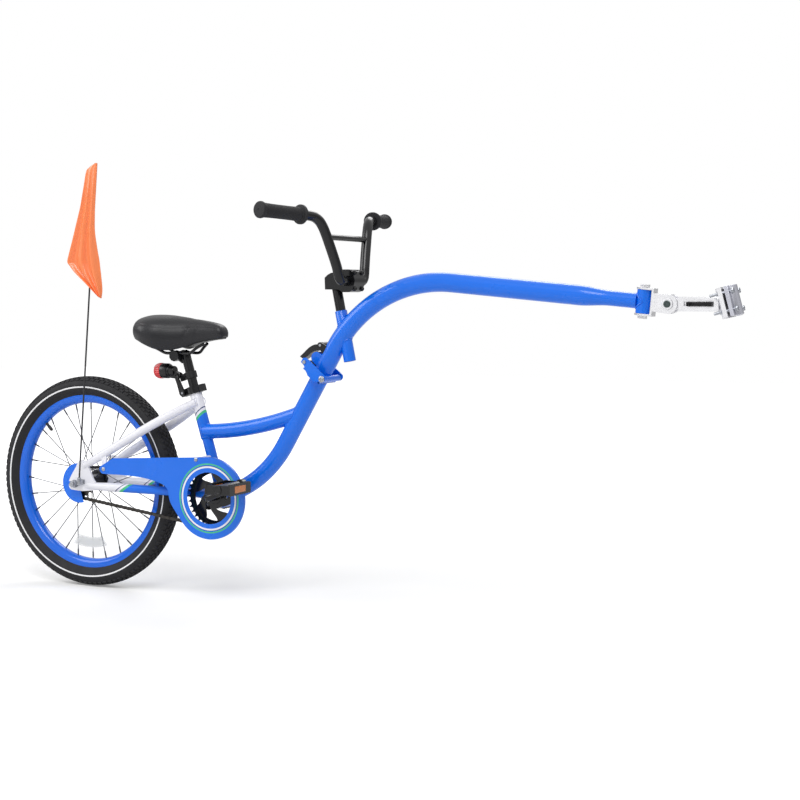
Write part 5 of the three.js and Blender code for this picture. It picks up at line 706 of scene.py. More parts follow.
# %% Rim, hub, spokes and nipples
RIM_OUT = [(211, 15.3), (209, 15.5), (201, 14.6), (196.6, 12.6), (193.2, 8.5), (191.6, 4.2)]
RIM_IN = [(209.5, -13.4), (202, -12.8), (198, -10.8), (195.4, -7), (194, -3.6)]
rim_profile = there_and_back(RIM_OUT, (191, 0)) + there_and_back(RIM_IN, (193.6, 0))
make_piece("rim_hoop", lathe(rim_profile, AXLE, turns=144, ring=True), rim_enamel, "rim")

SPOKES, SLANT, FLANGE_RADIUS, NIPPLE_SHARE = 28, 62, 23, 0.085
number = np.arange(SPOKES)
side = np.where(number % 2 == 1, 1, -1)
slant = np.where(number // 2 % 2 == 1, SLANT, -SLANT)
around = np.radians(360 * number / SPOKES)
foot_angle = around + np.radians(slant)


def round_axle(radius, angle, y):
    """Points at a radius and angle round the axle, at a distance y across the bike."""
    return AXLE + np.stack([radius * np.cos(angle), y, radius * np.sin(angle)], axis=1)


feet = round_axle(FLANGE_RADIUS, foot_angle, side * (28 + np.sign(slant) * 1.5))
tips = round_axle(190.5, around, side * 2.0)
nipple_feet = tips + (feet - tips) * NIPPLE_SHARE
head_out = feet + np.stack([0 * around, np.sign(slant) * 1.6, 0 * around], axis=1) * side[:, None]
spokes = [rods(feet, tips, 1.05), rods(nipple_feet, tips, 1.9, sides=6), rods(feet, head_out, 1.9)]
make_piece("spokes", spokes, spoke_steel, "hub_and_spokes")
hub_half = [(5.8, 31), (15, 31), (16, 30.4), (25, 30.6), (26, 30), (26, 27.6), (25, 27), (19, 26), (16.6, 22),
            (15.6, 14)]
make_piece("hub_shell", lathe(there_and_back(hub_half), AXLE, ring=True), hub_alloy, "hub_and_spokes")

# %% [markdown]
# ## Inner tube
# A rubber tube fills the tyre, and its brass valve stands through the rim. The tube is a circle spun round
# the axle, and the valve is a turned profile with its cap and collar.

# %% Inner tube and valve
TUBE_AROUND, TUBE_RADIUS = 233.15, 14
valve_angle = math.radians(360 / SPOKES * 10.5)
valve_way = np.array([math.cos(valve_angle), 0, math.sin(valve_angle)])
section = np.linspace(0, 2 * math.pi, 20, endpoint=False)
tube_profile = np.stack([TUBE_AROUND + TUBE_RADIUS * np.cos(section), TUBE_RADIUS * np.sin(section)], axis=1)
valve_profile = [(4.6, 0), (4, -3), (4, -30), (3.4, -32), (3.4, -36), (4.1, -37), (4.1, -47), (3.6, -49.5),
                 (2.2, -51)]
valve = lathe(valve_profile, AXLE + valve_way * 219, valve_way, 20)
make_piece("inner_tube_and_valve", [lathe(tube_profile, AXLE, turns=96, ring=True), valve], tube_rubber, "inner_tube")

# %% [markdown]
# ## Spoke reflector
# A moulded lens is clipped between the spokes. It is a band cut from a ring round the axle, with a slightly
# smaller band on each face for its raised middle.

# %% Clear spoke reflector
HALF_SPAN = math.degrees(92 / 150 / 2)


def ring_band(outer, inner, outer_share, inner_share):
    """A part of a ring below the axle: out along one arc and back along the other, by shares of the span."""
    return np.concatenate([arc(0, 257, radius, -90 - way * HALF_SPAN * share, -90 + way * HALF_SPAN * share, 24)
                           for radius, share, way in ((outer, outer_share, 1), (inner, inner_share, -1))])


lens_band, raised = ring_band(163, 137, 1, 0.8), ring_band(160, 140, 0.9, 0.74)
make_piece("spoke_reflector", [plate(lens_band, -10.6, -5), plate(raised, -11.3, -10.6), plate(raised, -5, -4.4)],
           clear_lens, "wheel_reflector", edge=0.5)

# %% [markdown]
# ## Axle and sprocket
# A threaded rod is a profile that zigzags. Only its ends show, outside the nuts, so the thread is drawn
# there and the middle stays plain.

# %% Threaded axle, nuts and the freewheel
thread = [(5.0 - 0.45 * (n % 2), -80.8 + 0.6 * n) for n in range(22)]
axle_profile = there_and_back([(4.2, -81), *thread, (5, -67)])
make_piece("threaded_axle", lathe(axle_profile, AXLE, turns=32), bolt_steel, "rear_axle")
for _, word in SIDES:
    softened(f"axle_nut_{word}", bolt_steel, 0.6)
softened("freewheel_sprocket", chain_steel, 0.3)

# %% [markdown]
# ## The chain
# A roller chain is two kinds of link by turns. Inner links are a pair of plates on rollers, and outer links
# are a pair of plates on pins. The pitch circles and the two straight runs between them give every roller's
# place. One template of each kind is turned and shifted to all its links at once.

# %% Where the rollers are
PITCH, RING_TEETH, COG_TEETH, LINKS, CHAIN_Y = 12.7, 36, 18, 88, -40.0
ring_radius, cog_radius = (PITCH / 2 / math.sin(math.pi / teeth) for teeth in (RING_TEETH, COG_TEETH))
between = CRANKS - AXLE
distance = np.linalg.norm(between)
rise = math.atan2(between[2], between[0])
lean = math.asin((ring_radius - cog_radius) / distance)
run = distance * math.cos(lean) / PITCH
on_ring = RING_TEETH * (math.pi + 2 * lean) / (2 * math.pi)
top, bottom = rise + math.pi / 2 + lean, rise - math.pi / 2 - lean


def chain_place(n):
    """Roller n's place: along the upper run, down round the chainring, back below and up the sprocket."""
    def on(centre, radius, angle):
        return np.stack([centre[0] + radius * np.cos(angle), np.full_like(angle, CHAIN_Y),
                         centre[2] + radius * np.sin(angle)], axis=1)
    zero = np.zeros_like(n)
    a, b = on(AXLE, cog_radius, zero + top), on(CRANKS, ring_radius, zero + top)
    c, d = on(CRANKS, ring_radius, zero + bottom), on(AXLE, cog_radius, zero + bottom)
    past = n - run
    back = past - on_ring
    stages = [a + (b - a) * (n / run)[:, None],
              on(CRANKS, ring_radius, top - 2 * math.pi * past / RING_TEETH),
              c + (d - c) * (back / run)[:, None],
              on(AXLE, cog_radius, bottom - 2 * math.pi * (back - run) / COG_TEETH)]
    which = (n >= run).astype(int) + (past >= on_ring) + (back >= run)
    return np.choose(which[:, None], stages)


rollers = chain_place(np.arange(LINKS, dtype=float))
following = np.roll(rollers, -1, axis=0)
steps = np.linalg.norm(following - rollers, axis=1)
print("link pitch from", steps.min().round(3), "to", steps.max().round(3))


# %% Lay the links
def repeated(template, starts, ends):
    """A template shell, drawn from its start along X, laid between each pair of points by two axes."""
    points, quads, tris = template
    along = unit(ends - starts)[:, None]
    across = np.cross(along, ACROSS)
    laid = starts[:, None] + points[:, :1] * along + points[:, 1:2] * np.array(ACROSS) + points[:, 2:] * across
    offsets = np.arange(len(starts))[:, None, None] * len(points)
    return laid.reshape(-1, 3), (quads + offsets).reshape(-1, 4), (tris + offsets).reshape(-1, 3)


def link_outline(half, waist):
    """A link plate: two round ends of radius `half`, drawn in to `waist` between them."""
    far, near = arc(PITCH, 0, half, -70, 70, 6), arc(0, 0, half, 110, 250, 6)
    return np.concatenate([far, [(PITCH / 2, waist)], near, [(PITCH / 2, -waist)]])


LINK_SHEET = 0.95
odd = np.arange(LINKS) % 2 == 1
shells = [rods(rollers - [0, half, 0], rollers + [0, half, 0], radius, sides=sides)
          for half, radius, sides in ((1.65, 3.7, 8), (4.1, 1.8, 6))]
for chosen, near, half, waist in ((~odd, 1.7, 4.15, 3.1), (odd, 2.7, 4.0, 2.6)):
    for low in (near, -near - LINK_SHEET):
        link = plate(link_outline(half, waist), low, low + LINK_SHEET)
        shells.append(repeated(link, rollers[chosen], following[chosen]))
make_piece("roller_chain", shells, chain_steel, "chain")

# %% [markdown]
# ## Chainring and crank
# The chainring is stamped from sheet, with five swirled arms, so it is an outline with windows. The crank is
# one forged bar, bent twice, so it is a circle carried along its path, a little slimmer towards its eyes.

# %% Chainring: a toothed outline with five windows
def toothed(teeth, radius, phase, tooth=3.0, seat=4.5):
    """Round every tooth: down one flank, round the valley that holds a roller, up the other flank."""
    valley = np.arange(teeth) * 2 * math.pi / teeth + phase
    turn = np.radians([-78, -52, -26, 0, 26, 52, 78])
    towards = valley[:, None] + math.pi - turn
    dips = radius * np.stack([np.cos(valley), np.sin(valley)], axis=1)[:, None] + seat * np.stack(
        [np.cos(towards), np.sin(towards)], axis=2)
    crest = (valley + math.pi / teeth)[:, None] + np.array([-0.012, 0.012])
    tips = (radius + tooth) * np.stack([np.cos(crest), np.sin(crest)], axis=2)
    return np.concatenate([dips, tips], axis=1).reshape(-1, 2)


def ring_window(number, inner=27, outer=55, swirl=42, wide=33):
    """A gap between two arms: both edges turn by `swirl` degrees on their way out, fast and then slow."""
    start = 72 * number - 15
    radius = np.linspace(inner, outer, 14)
    out = (radius - inner) / (outer - inner)
    edges = [np.radians(start + extra + swirl * out * (2 - out)) for extra in (0, wide)]
    first, second = (np.stack([radius * np.cos(a), radius * np.sin(a)], axis=1) for a in edges)
    rim_part = arc(0, 0, outer, start + swirl, start + swirl + wide, 14)[1:-1]
    return np.concatenate([first, rim_part, second[::-1]])


held = rollers[np.abs(np.linalg.norm(rollers - CRANKS - [0, CHAIN_Y, 0], axis=1) - ring_radius) < 0.01][0]
phase = math.atan2(held[2] - CRANKS[2], held[0] - CRANKS[0])
at_cranks = CRANKS[[0, 2]]
openings = [circle(*at_cranks, 8.4), *(ring_window(n) + at_cranks for n in range(5))]
ring_sheet = plate(toothed(RING_TEETH, ring_radius, phase) + at_cranks, -41.2, -38.8, openings)
boss_profile = [(8.4, -42.4), (15, -42.4), (16, -41.6), (16, -38.4), (15, -37.6), (8.4, -37.6)]
make_piece("chainring_toothed", [ring_sheet, lathe(boss_profile, CRANKS, turns=40, ring=True)], black_enamel,
           "chainring", edge=0.3)

# %% One-piece crank
CRANK_TURN, CRANK_LONG, EYES_OUT = 21, 105, 84
arm_way = heading(CRANK_TURN)


def crank_point(side, along, out):
    """A place on the crank: so far along the arm and so far out from the middle, on one side."""
    return CRANKS + arm_way * (-side * along) + np.array([0, side * out, 0])


# along the arm and out from the middle
HALF_CRANK = [(0, 0), (0, 30), (0, 60), (0, 69), (1.3, 74.5), (4.4, 79.6), (9, 82.8), (15, 84), (35, 84), (70, 84),
              (101, 84)]
path_and_reach = [(crank_point(-1, *place), place[0]) for place in reversed(HALF_CRANK)]
path_and_reach += [(crank_point(1, *place), place[0]) for place in HALF_CRANK[1:]]
thick = np.interp([reach for _, reach in path_and_reach], [0, 8, 15, 101], [8, 8.4, 8.2, 6.6])
bar_of_crank = sweep([place for place, _ in path_and_reach], thick, 28, beside=(-arm_way[2], 0, arm_way[0]))
eye_profile = there_and_back([(5.4, -7), (13, -7), (14, -6)])
eyes = [lathe(eye_profile, crank_point(side, CRANK_LONG, EYES_OUT), turns=40, ring=True) for side in (-1, 1)]
make_piece("forged_crank", [bar_of_crank, *eyes], black_enamel, "crank")

# %% [markdown]
# ## Bearing cups and pedals
# The cups that carry the crank are turned steel, so they are profiles. A child's pedal is a moulded cage
# round a steel axle: two toothed walls that hold amber reflectors, two ends and two braces, all cut sheets.

# %% Bearing cups with their lock nuts
CUP = [(8.7, 36.7), (20, 36.7), (22, 35.9), (27.7, 35.9), (27.7, 34.3), (24, 34.3), (24, 24.3), (8.7, 24.3)]
LOCK_NUT = [(8.7, 39.4), (17, 39.4), (18, 38.6), (18, 36.9), (8.7, 36.9)]
for side, word in SIDES:
    turned = [lathe([(r, side * y) for r, y in part], CRANKS, turns=44, ring=True) for part in (CUP, LOCK_NUT)]
    make_piece(f"bb_cup_{word}_turned", turned, bolt_steel, f"bb_cup_{word}")


# %% Pedals: moulded cages with a toothed tread
def on_its_side(shell):
    """A plate drawn in X and Z, turned so that its outline runs across the bike and its thickness along."""
    points, quads, tris = shell
    return outward(points[:, [1, 0, 2]], quads, tris)


def toothed_wall(side, middle, low, high, lens):
    """A cage wall: nine teeth along the top and the bottom edge, and a window that holds the reflector."""
    y = side * np.linspace(95, 182.5, 19)
    lift = np.where(np.arange(19) % 2 == 1, 13.0, 10.7)
    edge = np.concatenate([np.stack([y, middle[1] + lift], axis=1), np.stack([y, middle[1] - lift], axis=1)[::-1]])
    return on_its_side(plate(edge, middle[0] + low, middle[0] + high, [lens]))


def box_outline(half_x, half_z):
    """A rectangle round the origin."""
    return np.array([(-half_x, -half_z), (half_x, -half_z), (half_x, half_z), (-half_x, half_z)])


END_SHAPE = np.array([(-32, -8), (-28, -11), (28, -11), (32, -8), (32, 8), (28, 11), (-28, 11), (-32, 8)])
PEDAL_BOSS = [(0.01, 183.2), (6.8, 183.2), (7.4, 184), (10.4, 184), (11, 183.4), (11, 95), (5.4, 95), (5.4, 176),
              (0.01, 176)]
LENS_MIDDLE, LENS_HALF_LONG, LENS_HALF_HIGH = 139.0, 21.8, 7.3


def slab(side, near, thick, outline, holes=()):
    """A sheet across the bike from `near` outward, on either side."""
    return plate(outline, *sorted((side * near, side * (near + thick))), holes)


for (side, word), middle in zip(SIDES, ((483.47, 282.63), (287.42, 207.37))):
    window = box_outline(LENS_HALF_LONG, LENS_HALF_HIGH) + [LENS_MIDDLE, 0]
    window = window * [side, 1] + [0, middle[1]]
    cage = [toothed_wall(side, middle, *span, window) for span in ((27, 32.6), (-32.6, -27))]
    cage += [slab(side, near, 4, END_SHAPE + middle, [circle(*middle, hole, 28)])
             for near, hole in ((94.4, 5.4), (178, 8))]
    cage.append(lathe(PEDAL_BOSS, (middle[0], 0, middle[1]), (0, side, 0), 40))
    cage += [slab(side, near, 2.4, box_outline(28, 8.4) + middle) for near in (112.0, 163.6)]
    make_piece(f"pedal_{word}_cage", cage, lever_plastic, f"pedal_{word}", edge=0.5)
    softened(f"pedal_axle_{word}", bolt_steel, 0.4)
    for end in ("front", "rear"):
        softened(f"pedal_{word}_lens_{end}", amber_lens, 0.7)

# %% [markdown]
# ## Chain guard and rear cover
# Both are pressed steel sheet with a rolled lip, so each is an outline with holes and a thin wall along its
# edge. The guard's two rings are painted on it, and two small bolts hold it.

# %% Chain guard
GUARD_TIP_RADIUS, GUARD_RADIUS, GUARD_OPENING, GUARD_Y = 11, 95, 60, -67
tip_x, tip_z = 88.0, 297.0
ring_x, ring_z = at_cranks
under_tip = tip_z - GUARD_TIP_RADIUS
throat = (ring_x - GUARD_RADIUS * 1.24, ring_z + GUARD_RADIUS * 0.2)
tip_edge = arc(tip_x, tip_z, GUARD_TIP_RADIUS, 150, 270, 12)
lower = [tip_edge[-1]] + [(tip_x + on * (throat[0] - tip_x), under_tip - drop * (under_tip - throat[1]))
                          for on, drop in ((0.42, 0.03), (0.75, 0.3))]
lower += [throat] + [(ring_x - GUARD_RADIUS * on, ring_z - GUARD_RADIUS * down)
                     for on, down in ((1.11, 0.18), (0.76, 0.65))]
disc_edge = arc(ring_x, ring_z, GUARD_RADIUS, -132, 90, 70)
outline = np.concatenate([tip_edge[:-1], smooth_edge(lower), disc_edge, [(tip_x + 28.6, tip_z + 27.5)]])
guard_holes = [circle(ring_x, ring_z, GUARD_OPENING, 96), circle(tip_x, tip_z, 3.3, 20)]
sheet = plate(outline, GUARD_Y - 1, GUARD_Y + 1, guard_holes)
lip = plate(np.concatenate([disc_edge, arc(ring_x, ring_z, GUARD_RADIUS - 2, 90, -132, 70)]), GUARD_Y, GUARD_Y + 6)
edges = ((arc(ring_x, ring_z, 93.9, -130, 88, 90), 1.05, False), (circle(ring_x, ring_z, 60.6, 110), 1.15, True))
rolled = [sweep(on_middle_plane(edge) + [0, GUARD_Y, 0], radius, 10, loop=loop) for edge, radius, loop in edges]
make_piece("chain_guard_sheet", [sheet, lip, *rolled], guard_enamel, "chain_guard", edge=0.3)

# %% Rear cover: a disc with a sector cut away where the chain leaves, on a sleeve
rim_of_cover = arc(0, 257, 48, 62, 286, 60)
cover_outline = np.concatenate([rim_of_cover, arc(0, 257, 13.5, 286, 422, 30)])
cover_lip = np.concatenate([rim_of_cover, arc(0, 257, 46.8, 286, 62, 60)])
sleeve = lathe([(5.6, -58.7), (9, -58.7), (9, -48.5), (5.6, -48.5)], AXLE, turns=32, ring=True)
disc = plate(cover_outline, -49.6, -48, [circle(0, 257, 5.6, 24)])
make_piece("rear_cover_sheet", [disc, plate(cover_lip, -49, -46), sleeve], blue_enamel, "rear_chain_cover", edge=0.25)

# %% Bolts that hold the guard
BOSS_ALONG = 91.67
boss_foot = seat_tube_point(BOSS_ALONG)
bolt_head = [(0.01, -2.6), (2.2, -2.4), (4.4, -1.4), (5.2, 0), (5.2, 0.4), (2.9, 0.4), (2.9, 4)]
guard_bolts = [lathe(bolt_head, place, turns=24) for place in ((tip_x, -68.0, tip_z), boss_foot + [0, -68, 0])]
make_piece("guard_bolts", guard_bolts, bolt_steel, "chain_guard", extra=True)

# %% [markdown]
# ## The rear frame
# Steel tubes, brazed or welded where they meet. Each is a circle carried along its own curve, with the same
# bends as the CAD. At each joint runs a small bead of weld, which is the curve in which one tube's surface
# cuts the other's. Seat tube and stays change from white to blue at painted stripes, so they are pieces of
# their own with their own paint.

# %% Weld beads
def tube_meeting(point, along, radius, other, other_along, other_radius, near=1.0, steps=72):
    """The curve where one tube runs into another. A line on the first tube is w + t·d, and it meets the
    other where |(w + t·d)×e| is that tube's radius, a quadratic in t. `near` picks which of its roots."""
    d, e = unit(np.asarray(along, float)), unit(np.asarray(other_along, float))
    u = unit(np.cross(d, ACROSS if abs(d[1]) < 0.9 else [1, 0, 0]))
    v = np.cross(d, u)
    turn = np.linspace(0, 2 * math.pi, steps, endpoint=False)[:, None]
    start = point + radius * (np.cos(turn) * u + np.sin(turn) * v)
    b, a = np.cross(start - other, e), np.cross(d, e)
    square, cross_term = a @ a, b @ a
    under = np.maximum(cross_term**2 - square * ((b * b).sum(axis=1) - other_radius**2), 0)
    return start + ((-cross_term + near * np.sqrt(under)) / square)[:, None] * d


def bead(curve, size=1.5, drop=3.2):
    """Weld along a closed curve, with the ripple that each drop leaves: so far apart, a tenth as high."""
    length = np.linalg.norm(np.roll(curve, -1, axis=0) - curve, axis=1).sum()
    steps = max(round(length / drop), 8) * 4
    share = np.linspace(0, len(curve), steps, endpoint=False)
    closed = np.concatenate([curve, curve[:1]])
    fine = np.stack([np.interp(share, np.arange(len(closed)), closed[:, k]) for k in range(3)], axis=1)
    height = size * (1 + 0.1 * np.cos(2 * math.pi * np.arange(steps) / 4))
    return sweep(fine, height, 8, beside=(0.31, 0.9, 0.3), loop=True)


# %% Main tube, top tube and bottom bracket shell
MAIN_SLOPE, MAIN_START, MAIN_RADIUS, MAIN_BEND = 59.5, 17, 20, 280
TOP_RADIUS, TOP_REAR_UP, TOP_RISE, TOP_SAG = 17.5, 147, 52, 22
SHELL_RADIUS, SEAT_FOOT_RADIUS, SEAT_RADIUS = 28, 12.5, 14.5
seat_way, main_way, fold_up = heading(90 + SEAT_LEAN), heading(MAIN_SLOPE), heading(FOLD_SLOPE + 90)
tubes_at_joint = FOLD + 24.4 * fold_up
main_top = crossing(tubes_at_joint, main_way, FOLD - 16.4 * heading(FOLD_SLOPE), fold_up) + main_way
main_path = bent_line(CRANKS + 4 * heading(MAIN_START), MAIN_START, main_top, MAIN_SLOPE, MAIN_BEND, steps=60)
top_rear = seat_tube_point(TOP_REAR_UP / seat_way[2])
top_front = crossing(top_rear + [0, 0, TOP_RISE], heading(0), tubes_at_joint, main_way)
sag = (top_rear + top_front) / 2 - [0, 0, TOP_SAG]
share = np.linspace(0, 1, 40)[:, None]
top_path = (1 - share) ** 2 * top_rear + 2 * share * (1 - share) * sag + share**2 * top_front
shell = lathe(there_and_back([(25.6, -34), (27.4, -34), (SHELL_RADIUS, -33.2)]), CRANKS, ring=True)
in_seat, in_main = (SEAT_FOOT, seat_way, 14.3), (tubes_at_joint, main_way, MAIN_RADIUS)
in_shell = (CRANKS, ACROSS, SHELL_RADIUS)
meets = [tube_meeting(top_rear, top_path[3] - top_path[0], TOP_RADIUS, *in_seat),
         tube_meeting(top_front, top_path[-1] - top_path[-4], TOP_RADIUS, *in_main, near=-1.0),
         tube_meeting(CRANKS, heading(19), MAIN_RADIUS, *in_shell),
         tube_meeting(SEAT_FOOT, seat_way, SEAT_FOOT_RADIUS, *in_shell)]
tubes = [sweep(main_path, MAIN_RADIUS, 48), sweep(top_path, TOP_RADIUS, 40), shell]
make_piece("main_tubes", tubes + [bead(curve) for curve in meets], blue_enamel, "rear_frame")

# %% Seat tube: a slim foot in a wider sleeve, open at the top, in two colours
seat_profile = [(SEAT_FOOT_RADIUS, 26), (SEAT_FOOT_RADIUS, 135.5), (14.1, 137.4), (SEAT_RADIUS, 139),
                (SEAT_RADIUS, 258), (13.8, 259), (11.8, 259), (11.8, 141), (0.01, 140.5)]
make_piece("seat_tube", lathe(seat_profile, SEAT_FOOT, seat_way, 56), seat_tube_enamel, "rear_frame")

# %% Stays and dropouts
STAY_RADIUS, STAY_OUT, DROPOUT_IN, DROPOUT_SHEET = 10.5, 62, 59, 5
stay_foot = np.array([27.3, 0, 301.1])
stay_run = seat_tube_point(224) - stay_foot
seat_stay = [stay_foot + stay_run * share + [0, out, 0]
             for share, out in ((0, STAY_OUT), (0.3, 56.75), (0.62, 50.45), (0.82, 34.7), (1, 11.6))]
stay_end = CRANKS[0] - 14
chain_stay = [(30.45, STAY_OUT, 253.85), (173.475, 51.5, 252.8), (254.43, 37.85, 250.7),
              (stay_end * 0.82, 24.1, 248.6), (stay_end, 19.9, 245)]
# round the slot that is open to the rear, then up, over and down the plate in shares of the stay's radius
SLOT = [(-18.9, -5.3), (2.65, -5.3), (5.035, -3.71), (5.83, 0), (5.035, 3.71), (2.65, 5.3), (-17.85, 5.3)]
ROUND_PLATE = [(-1.5, 1), (-1.2, 1.6), (0.4, 4), (0.9, 5), (1.7, 5.6), (3.6, 5.1), (3.8, 4.7), (4.1, 3.5), (5.3, 1),
               (5.7, 0.7), (5.7, -1.2), (2, -1.6), (-1, -1.4), (-1.5, -1.1)]
dropout = np.concatenate([SLOT, np.array(ROUND_PLATE) * STAY_RADIUS]) + [0, AXLE[2]]
white, chain_stays = [], []
for side in (-1, 1):
    upper, stay = (smooth_path(np.array(line) * [1, side, 1], 14) for line in (seat_stay, chain_stay))
    thick = np.interp(np.linspace(0, 1, len(upper)), [0, 0.05, 0.12, 0.9, 1], [6.5, 9, STAY_RADIUS, STAY_RADIUS, 9])
    into_seat_tube = tube_meeting(upper[-6], upper[-1] - upper[-8], 10, SEAT_FOOT, seat_way, SEAT_RADIUS, near=-1.0)
    white += [sweep(upper, thick, 32), bead(into_seat_tube, 1.2)]
    thick = np.interp(np.linspace(0, 1, len(stay)), [0, 0.05, 0.12, 1], [6.5, 9, STAY_RADIUS, 10])
    chain_stays.append(sweep(stay, thick, 32))
    low = DROPOUT_IN if side > 0 else -DROPOUT_IN - DROPOUT_SHEET
    white.append(plate(dropout, low, low + DROPOUT_SHEET))
make_piece("seat_stays_and_dropouts", white, white_enamel, "rear_frame", edge=0.7)
make_piece("chain_stays", chain_stays, chain_stay_enamel, "rear_frame")


# %% Rear half of the fold joint, and the tabs for the guard
def fold_plate(outline, low, high, holes=()):
    """A plate drawn in the fold joint's own frame, whose X runs through the joint."""
    return moved(plate(outline, low, high, holes), FOLD, FOLD_SLOPE)


CHEEK_SHEET = 3.2
cheek = np.concatenate([arc(2.5, 0, 8, -110, 0, 14), arc(2.5, 58, 8, 0, 96, 14),
                        [(-5.6, 64.6), (-6.2, 55), (-14.9, 39), (-14.9, 11), (-8, -2)]])
cheek_holes = [circle(0, 0, 4.6, 24), circle(0, 58, 3.5, 20)]
rear_joint = [fold_plate([(-17.9, 12), (-14.7, 10), (-14.7, 38.6), (-17.9, 33)], -40.9, 40.9)]
rear_joint += [fold_plate(cheek, low, low + CHEEK_SHEET, cheek_holes) for low in (-41, 37.8)]
make_piece("fold_joint_rear_half", rear_joint, blue_enamel, "rear_frame", edge=0.8)
tab = np.concatenate([arc(tip_x, tip_z, 7.2, 180, 360, 14), [(tip_x + 7.2, tip_z + 42), (tip_x - 7.2, tip_z + 31.5)]])
tabs = [plate(tab, -65.7, -62), rods(boss_foot, boss_foot + [0, -65.7, 0], 4.8, 24)]
make_piece("guard_tabs", tabs, white_enamel, "rear_frame", edge=0.4)

# %% [markdown]
# ## The tow arm
# The arm is one thick tube: up from the fold joint, over a wide bend, and forward at a slight drop. Near its
# front it is drawn down to a slimmer neck that is welded to an upright barrel, the pivot on which the bike
# swings left and right. A short head tube passes through it for the handlebar stem.

# %% Arm, neck and barrel
ARM_RADIUS, ARM_BEND, NECK_THINNER, NECK_LONG = 21.0, 300, 5.5, 66
forward = heading(-ARM_DROP)
taper_start = BARREL - forward * 141
arm_start = crossing(tubes_at_joint, main_way, FOLD - 14.5 * heading(FOLD_SLOPE), fold_up) + 1.5 * main_way
arm_path = bent_line(arm_start, MAIN_SLOPE, taper_start, -ARM_DROP, ARM_BEND, steps=90)
ahead = np.array([4, 12, 22, 34, 46, 58, 66, 72, 90, 110, 128])
share = np.clip((ahead - 4) / NECK_LONG, 0, 1)
neck_thick = ARM_RADIUS - NECK_THINNER * share**2 * (3 - 2 * share)
whole_path = np.concatenate([arm_path, taper_start + ahead[:, None] * forward])
arm_thick = np.concatenate([np.full(len(arm_path), ARM_RADIUS), neck_thick])
barrel_way = heading(90 - ARM_DROP)
barrel = lathe(there_and_back([(6.7, -24), (14.4, -24), (15, -23.4)]), BARREL, barrel_way, 56, ring=True)
neck_weld = tube_meeting(BARREL - forward * 40, forward, ARM_RADIUS - NECK_THINNER, BARREL, barrel_way, 15.2, near=-1.0)
make_piece("arm_tube", [sweep(whole_path, arm_thick, 48), barrel, bead(neck_weld)], blue_enamel, "tow_arm")

# %% Head tube and the welds round it
HEAD_RADIUS = 13.5
head_way = heading(90 + HEAD_LEAN)
head_profile = [(11.7, 0), (13, 0), (HEAD_RADIUS, 0.6), (HEAD_RADIUS, 113.2), (13, 114), (11.7, 114)]
head_tube = lathe(head_profile, HEAD_FOOT, head_way, 48, ring=True)
nearest = np.argmin(np.linalg.norm(arm_path - (HEAD_FOOT + 57 * head_way), axis=1))
middle, slope = arm_path[nearest], arm_path[nearest + 3] - arm_path[nearest]
welds = [bead(tube_meeting(HEAD_FOOT, head_way, HEAD_RADIUS, middle, slope, ARM_RADIUS, near=way), 1.4)
         for way in (-1.0, 1.0)]
make_piece("head_tube", [head_tube, *welds], blue_enamel, "tow_arm")

# %% Front half of the fold joint, its latch lug and the lever's ears
WEB_HALF = 37.5
front_half = [fold_plate([(-14.5, 0), (-11.3, 0), (-11.3, 52.5), (-14.5, 52.5)], -WEB_HALF, WEB_HALF),
              fold_plate([(-14.5, 0), (0, 0), (0, 4.8), (-14.5, 4.8)], -WEB_HALF, WEB_HALF)]
hinge = lathe(there_and_back([(4.7, -WEB_HALF), (7, -WEB_HALF), (7.4, -37)]), (0, 0, 0), turns=32, ring=True)
lug = np.concatenate([[(4.2, 37), (30.2, 37)], arc(17.2, 51.5, 13, 0, 180, 20)])
front_half += [moved(hinge, FOLD, FOLD_SLOPE), fold_plate(lug, -15, 15)]
make_piece("fold_joint_front_half", front_half, blue_enamel, "tow_arm", edge=0.7)
ear = np.concatenate([[(34, 39.1), (56, 39.1)], arc(45, 62, 6.6, 0, 180, 16)])
ears = [fold_plate(ear, low, low + CHEEK_SHEET) for low in (-15.8, 12.6)]
ears += [fold_plate([(-11.5, 24), (-11.5, 51), (-5, 52.6), (5, 52.6), (5, 36)], -14, 14)]
make_piece("lever_ears", ears, black_enamel, "tow_arm", edge=0.8, extra=True)
pin_ends = tilted(np.array([[45.0, -16.4, 62], [45, 16.4, 62]]), FOLD, FOLD_SLOPE)
make_piece("lever_pin", rods(*pin_ends, 3, 20), bolt_steel, "tow_arm")

# %% [markdown]
# ## Fold lever and the joint's bolts
# The lever is pressed from one strip and dips between its ends, so it is an outline with smooth edges. The
# bolts are turned: a shank, a low head at each end, and in the head the hole for a key.

# %% The lever that locks the fold
LEVER_PIVOT = (45.0, 62)
OUTER = [(41.5, 69.5), (34, 76), (24, 80.6), (12.7, 83), (1.7, 84.4), (-9.5, 86.6)]
INNER = [(-8.2, 75.4), (2.7, 72.2), (13.7, 69.9), (22.6, 66.4), (29.6, 61.4), (36.5, 56.4)]
lever_outline = np.concatenate([arc(*LEVER_PIVOT, 6.6, -130, 100, 24), smooth_edge(OUTER), smooth_edge(INNER)])
lever = fold_plate(lever_outline, -12, 12, [circle(*LEVER_PIVOT, 3.4, 24)])
make_piece("fold_lever_pressed", lever, lever_plastic, "fold_lever", edge=1.2)


# %% Pivot bolt and latch pin
def bolt_shell(pivot, slope, half, radius, head_radius, head_high, sides):
    """A bolt across the bike: a round shank out to `half`, and at each end a head whose rim is turned off."""
    shank = there_and_back([(radius * 0.8, -half), (radius, -half + 0.4)])
    parts = [lathe(shank, (0, 0, 0), turns=28)]
    for side in (-1, 1):
        head = [(head_radius * 0.96, half), (head_radius, half + 0.5), (head_radius, half + head_high - 0.7),
                (head_radius * 0.86, half + head_high)]
        parts.append(lathe([(r, side * y) for r, y in head], (0, 0, 0), turns=sides))
    return [moved(part, pivot, slope) for part in parts]


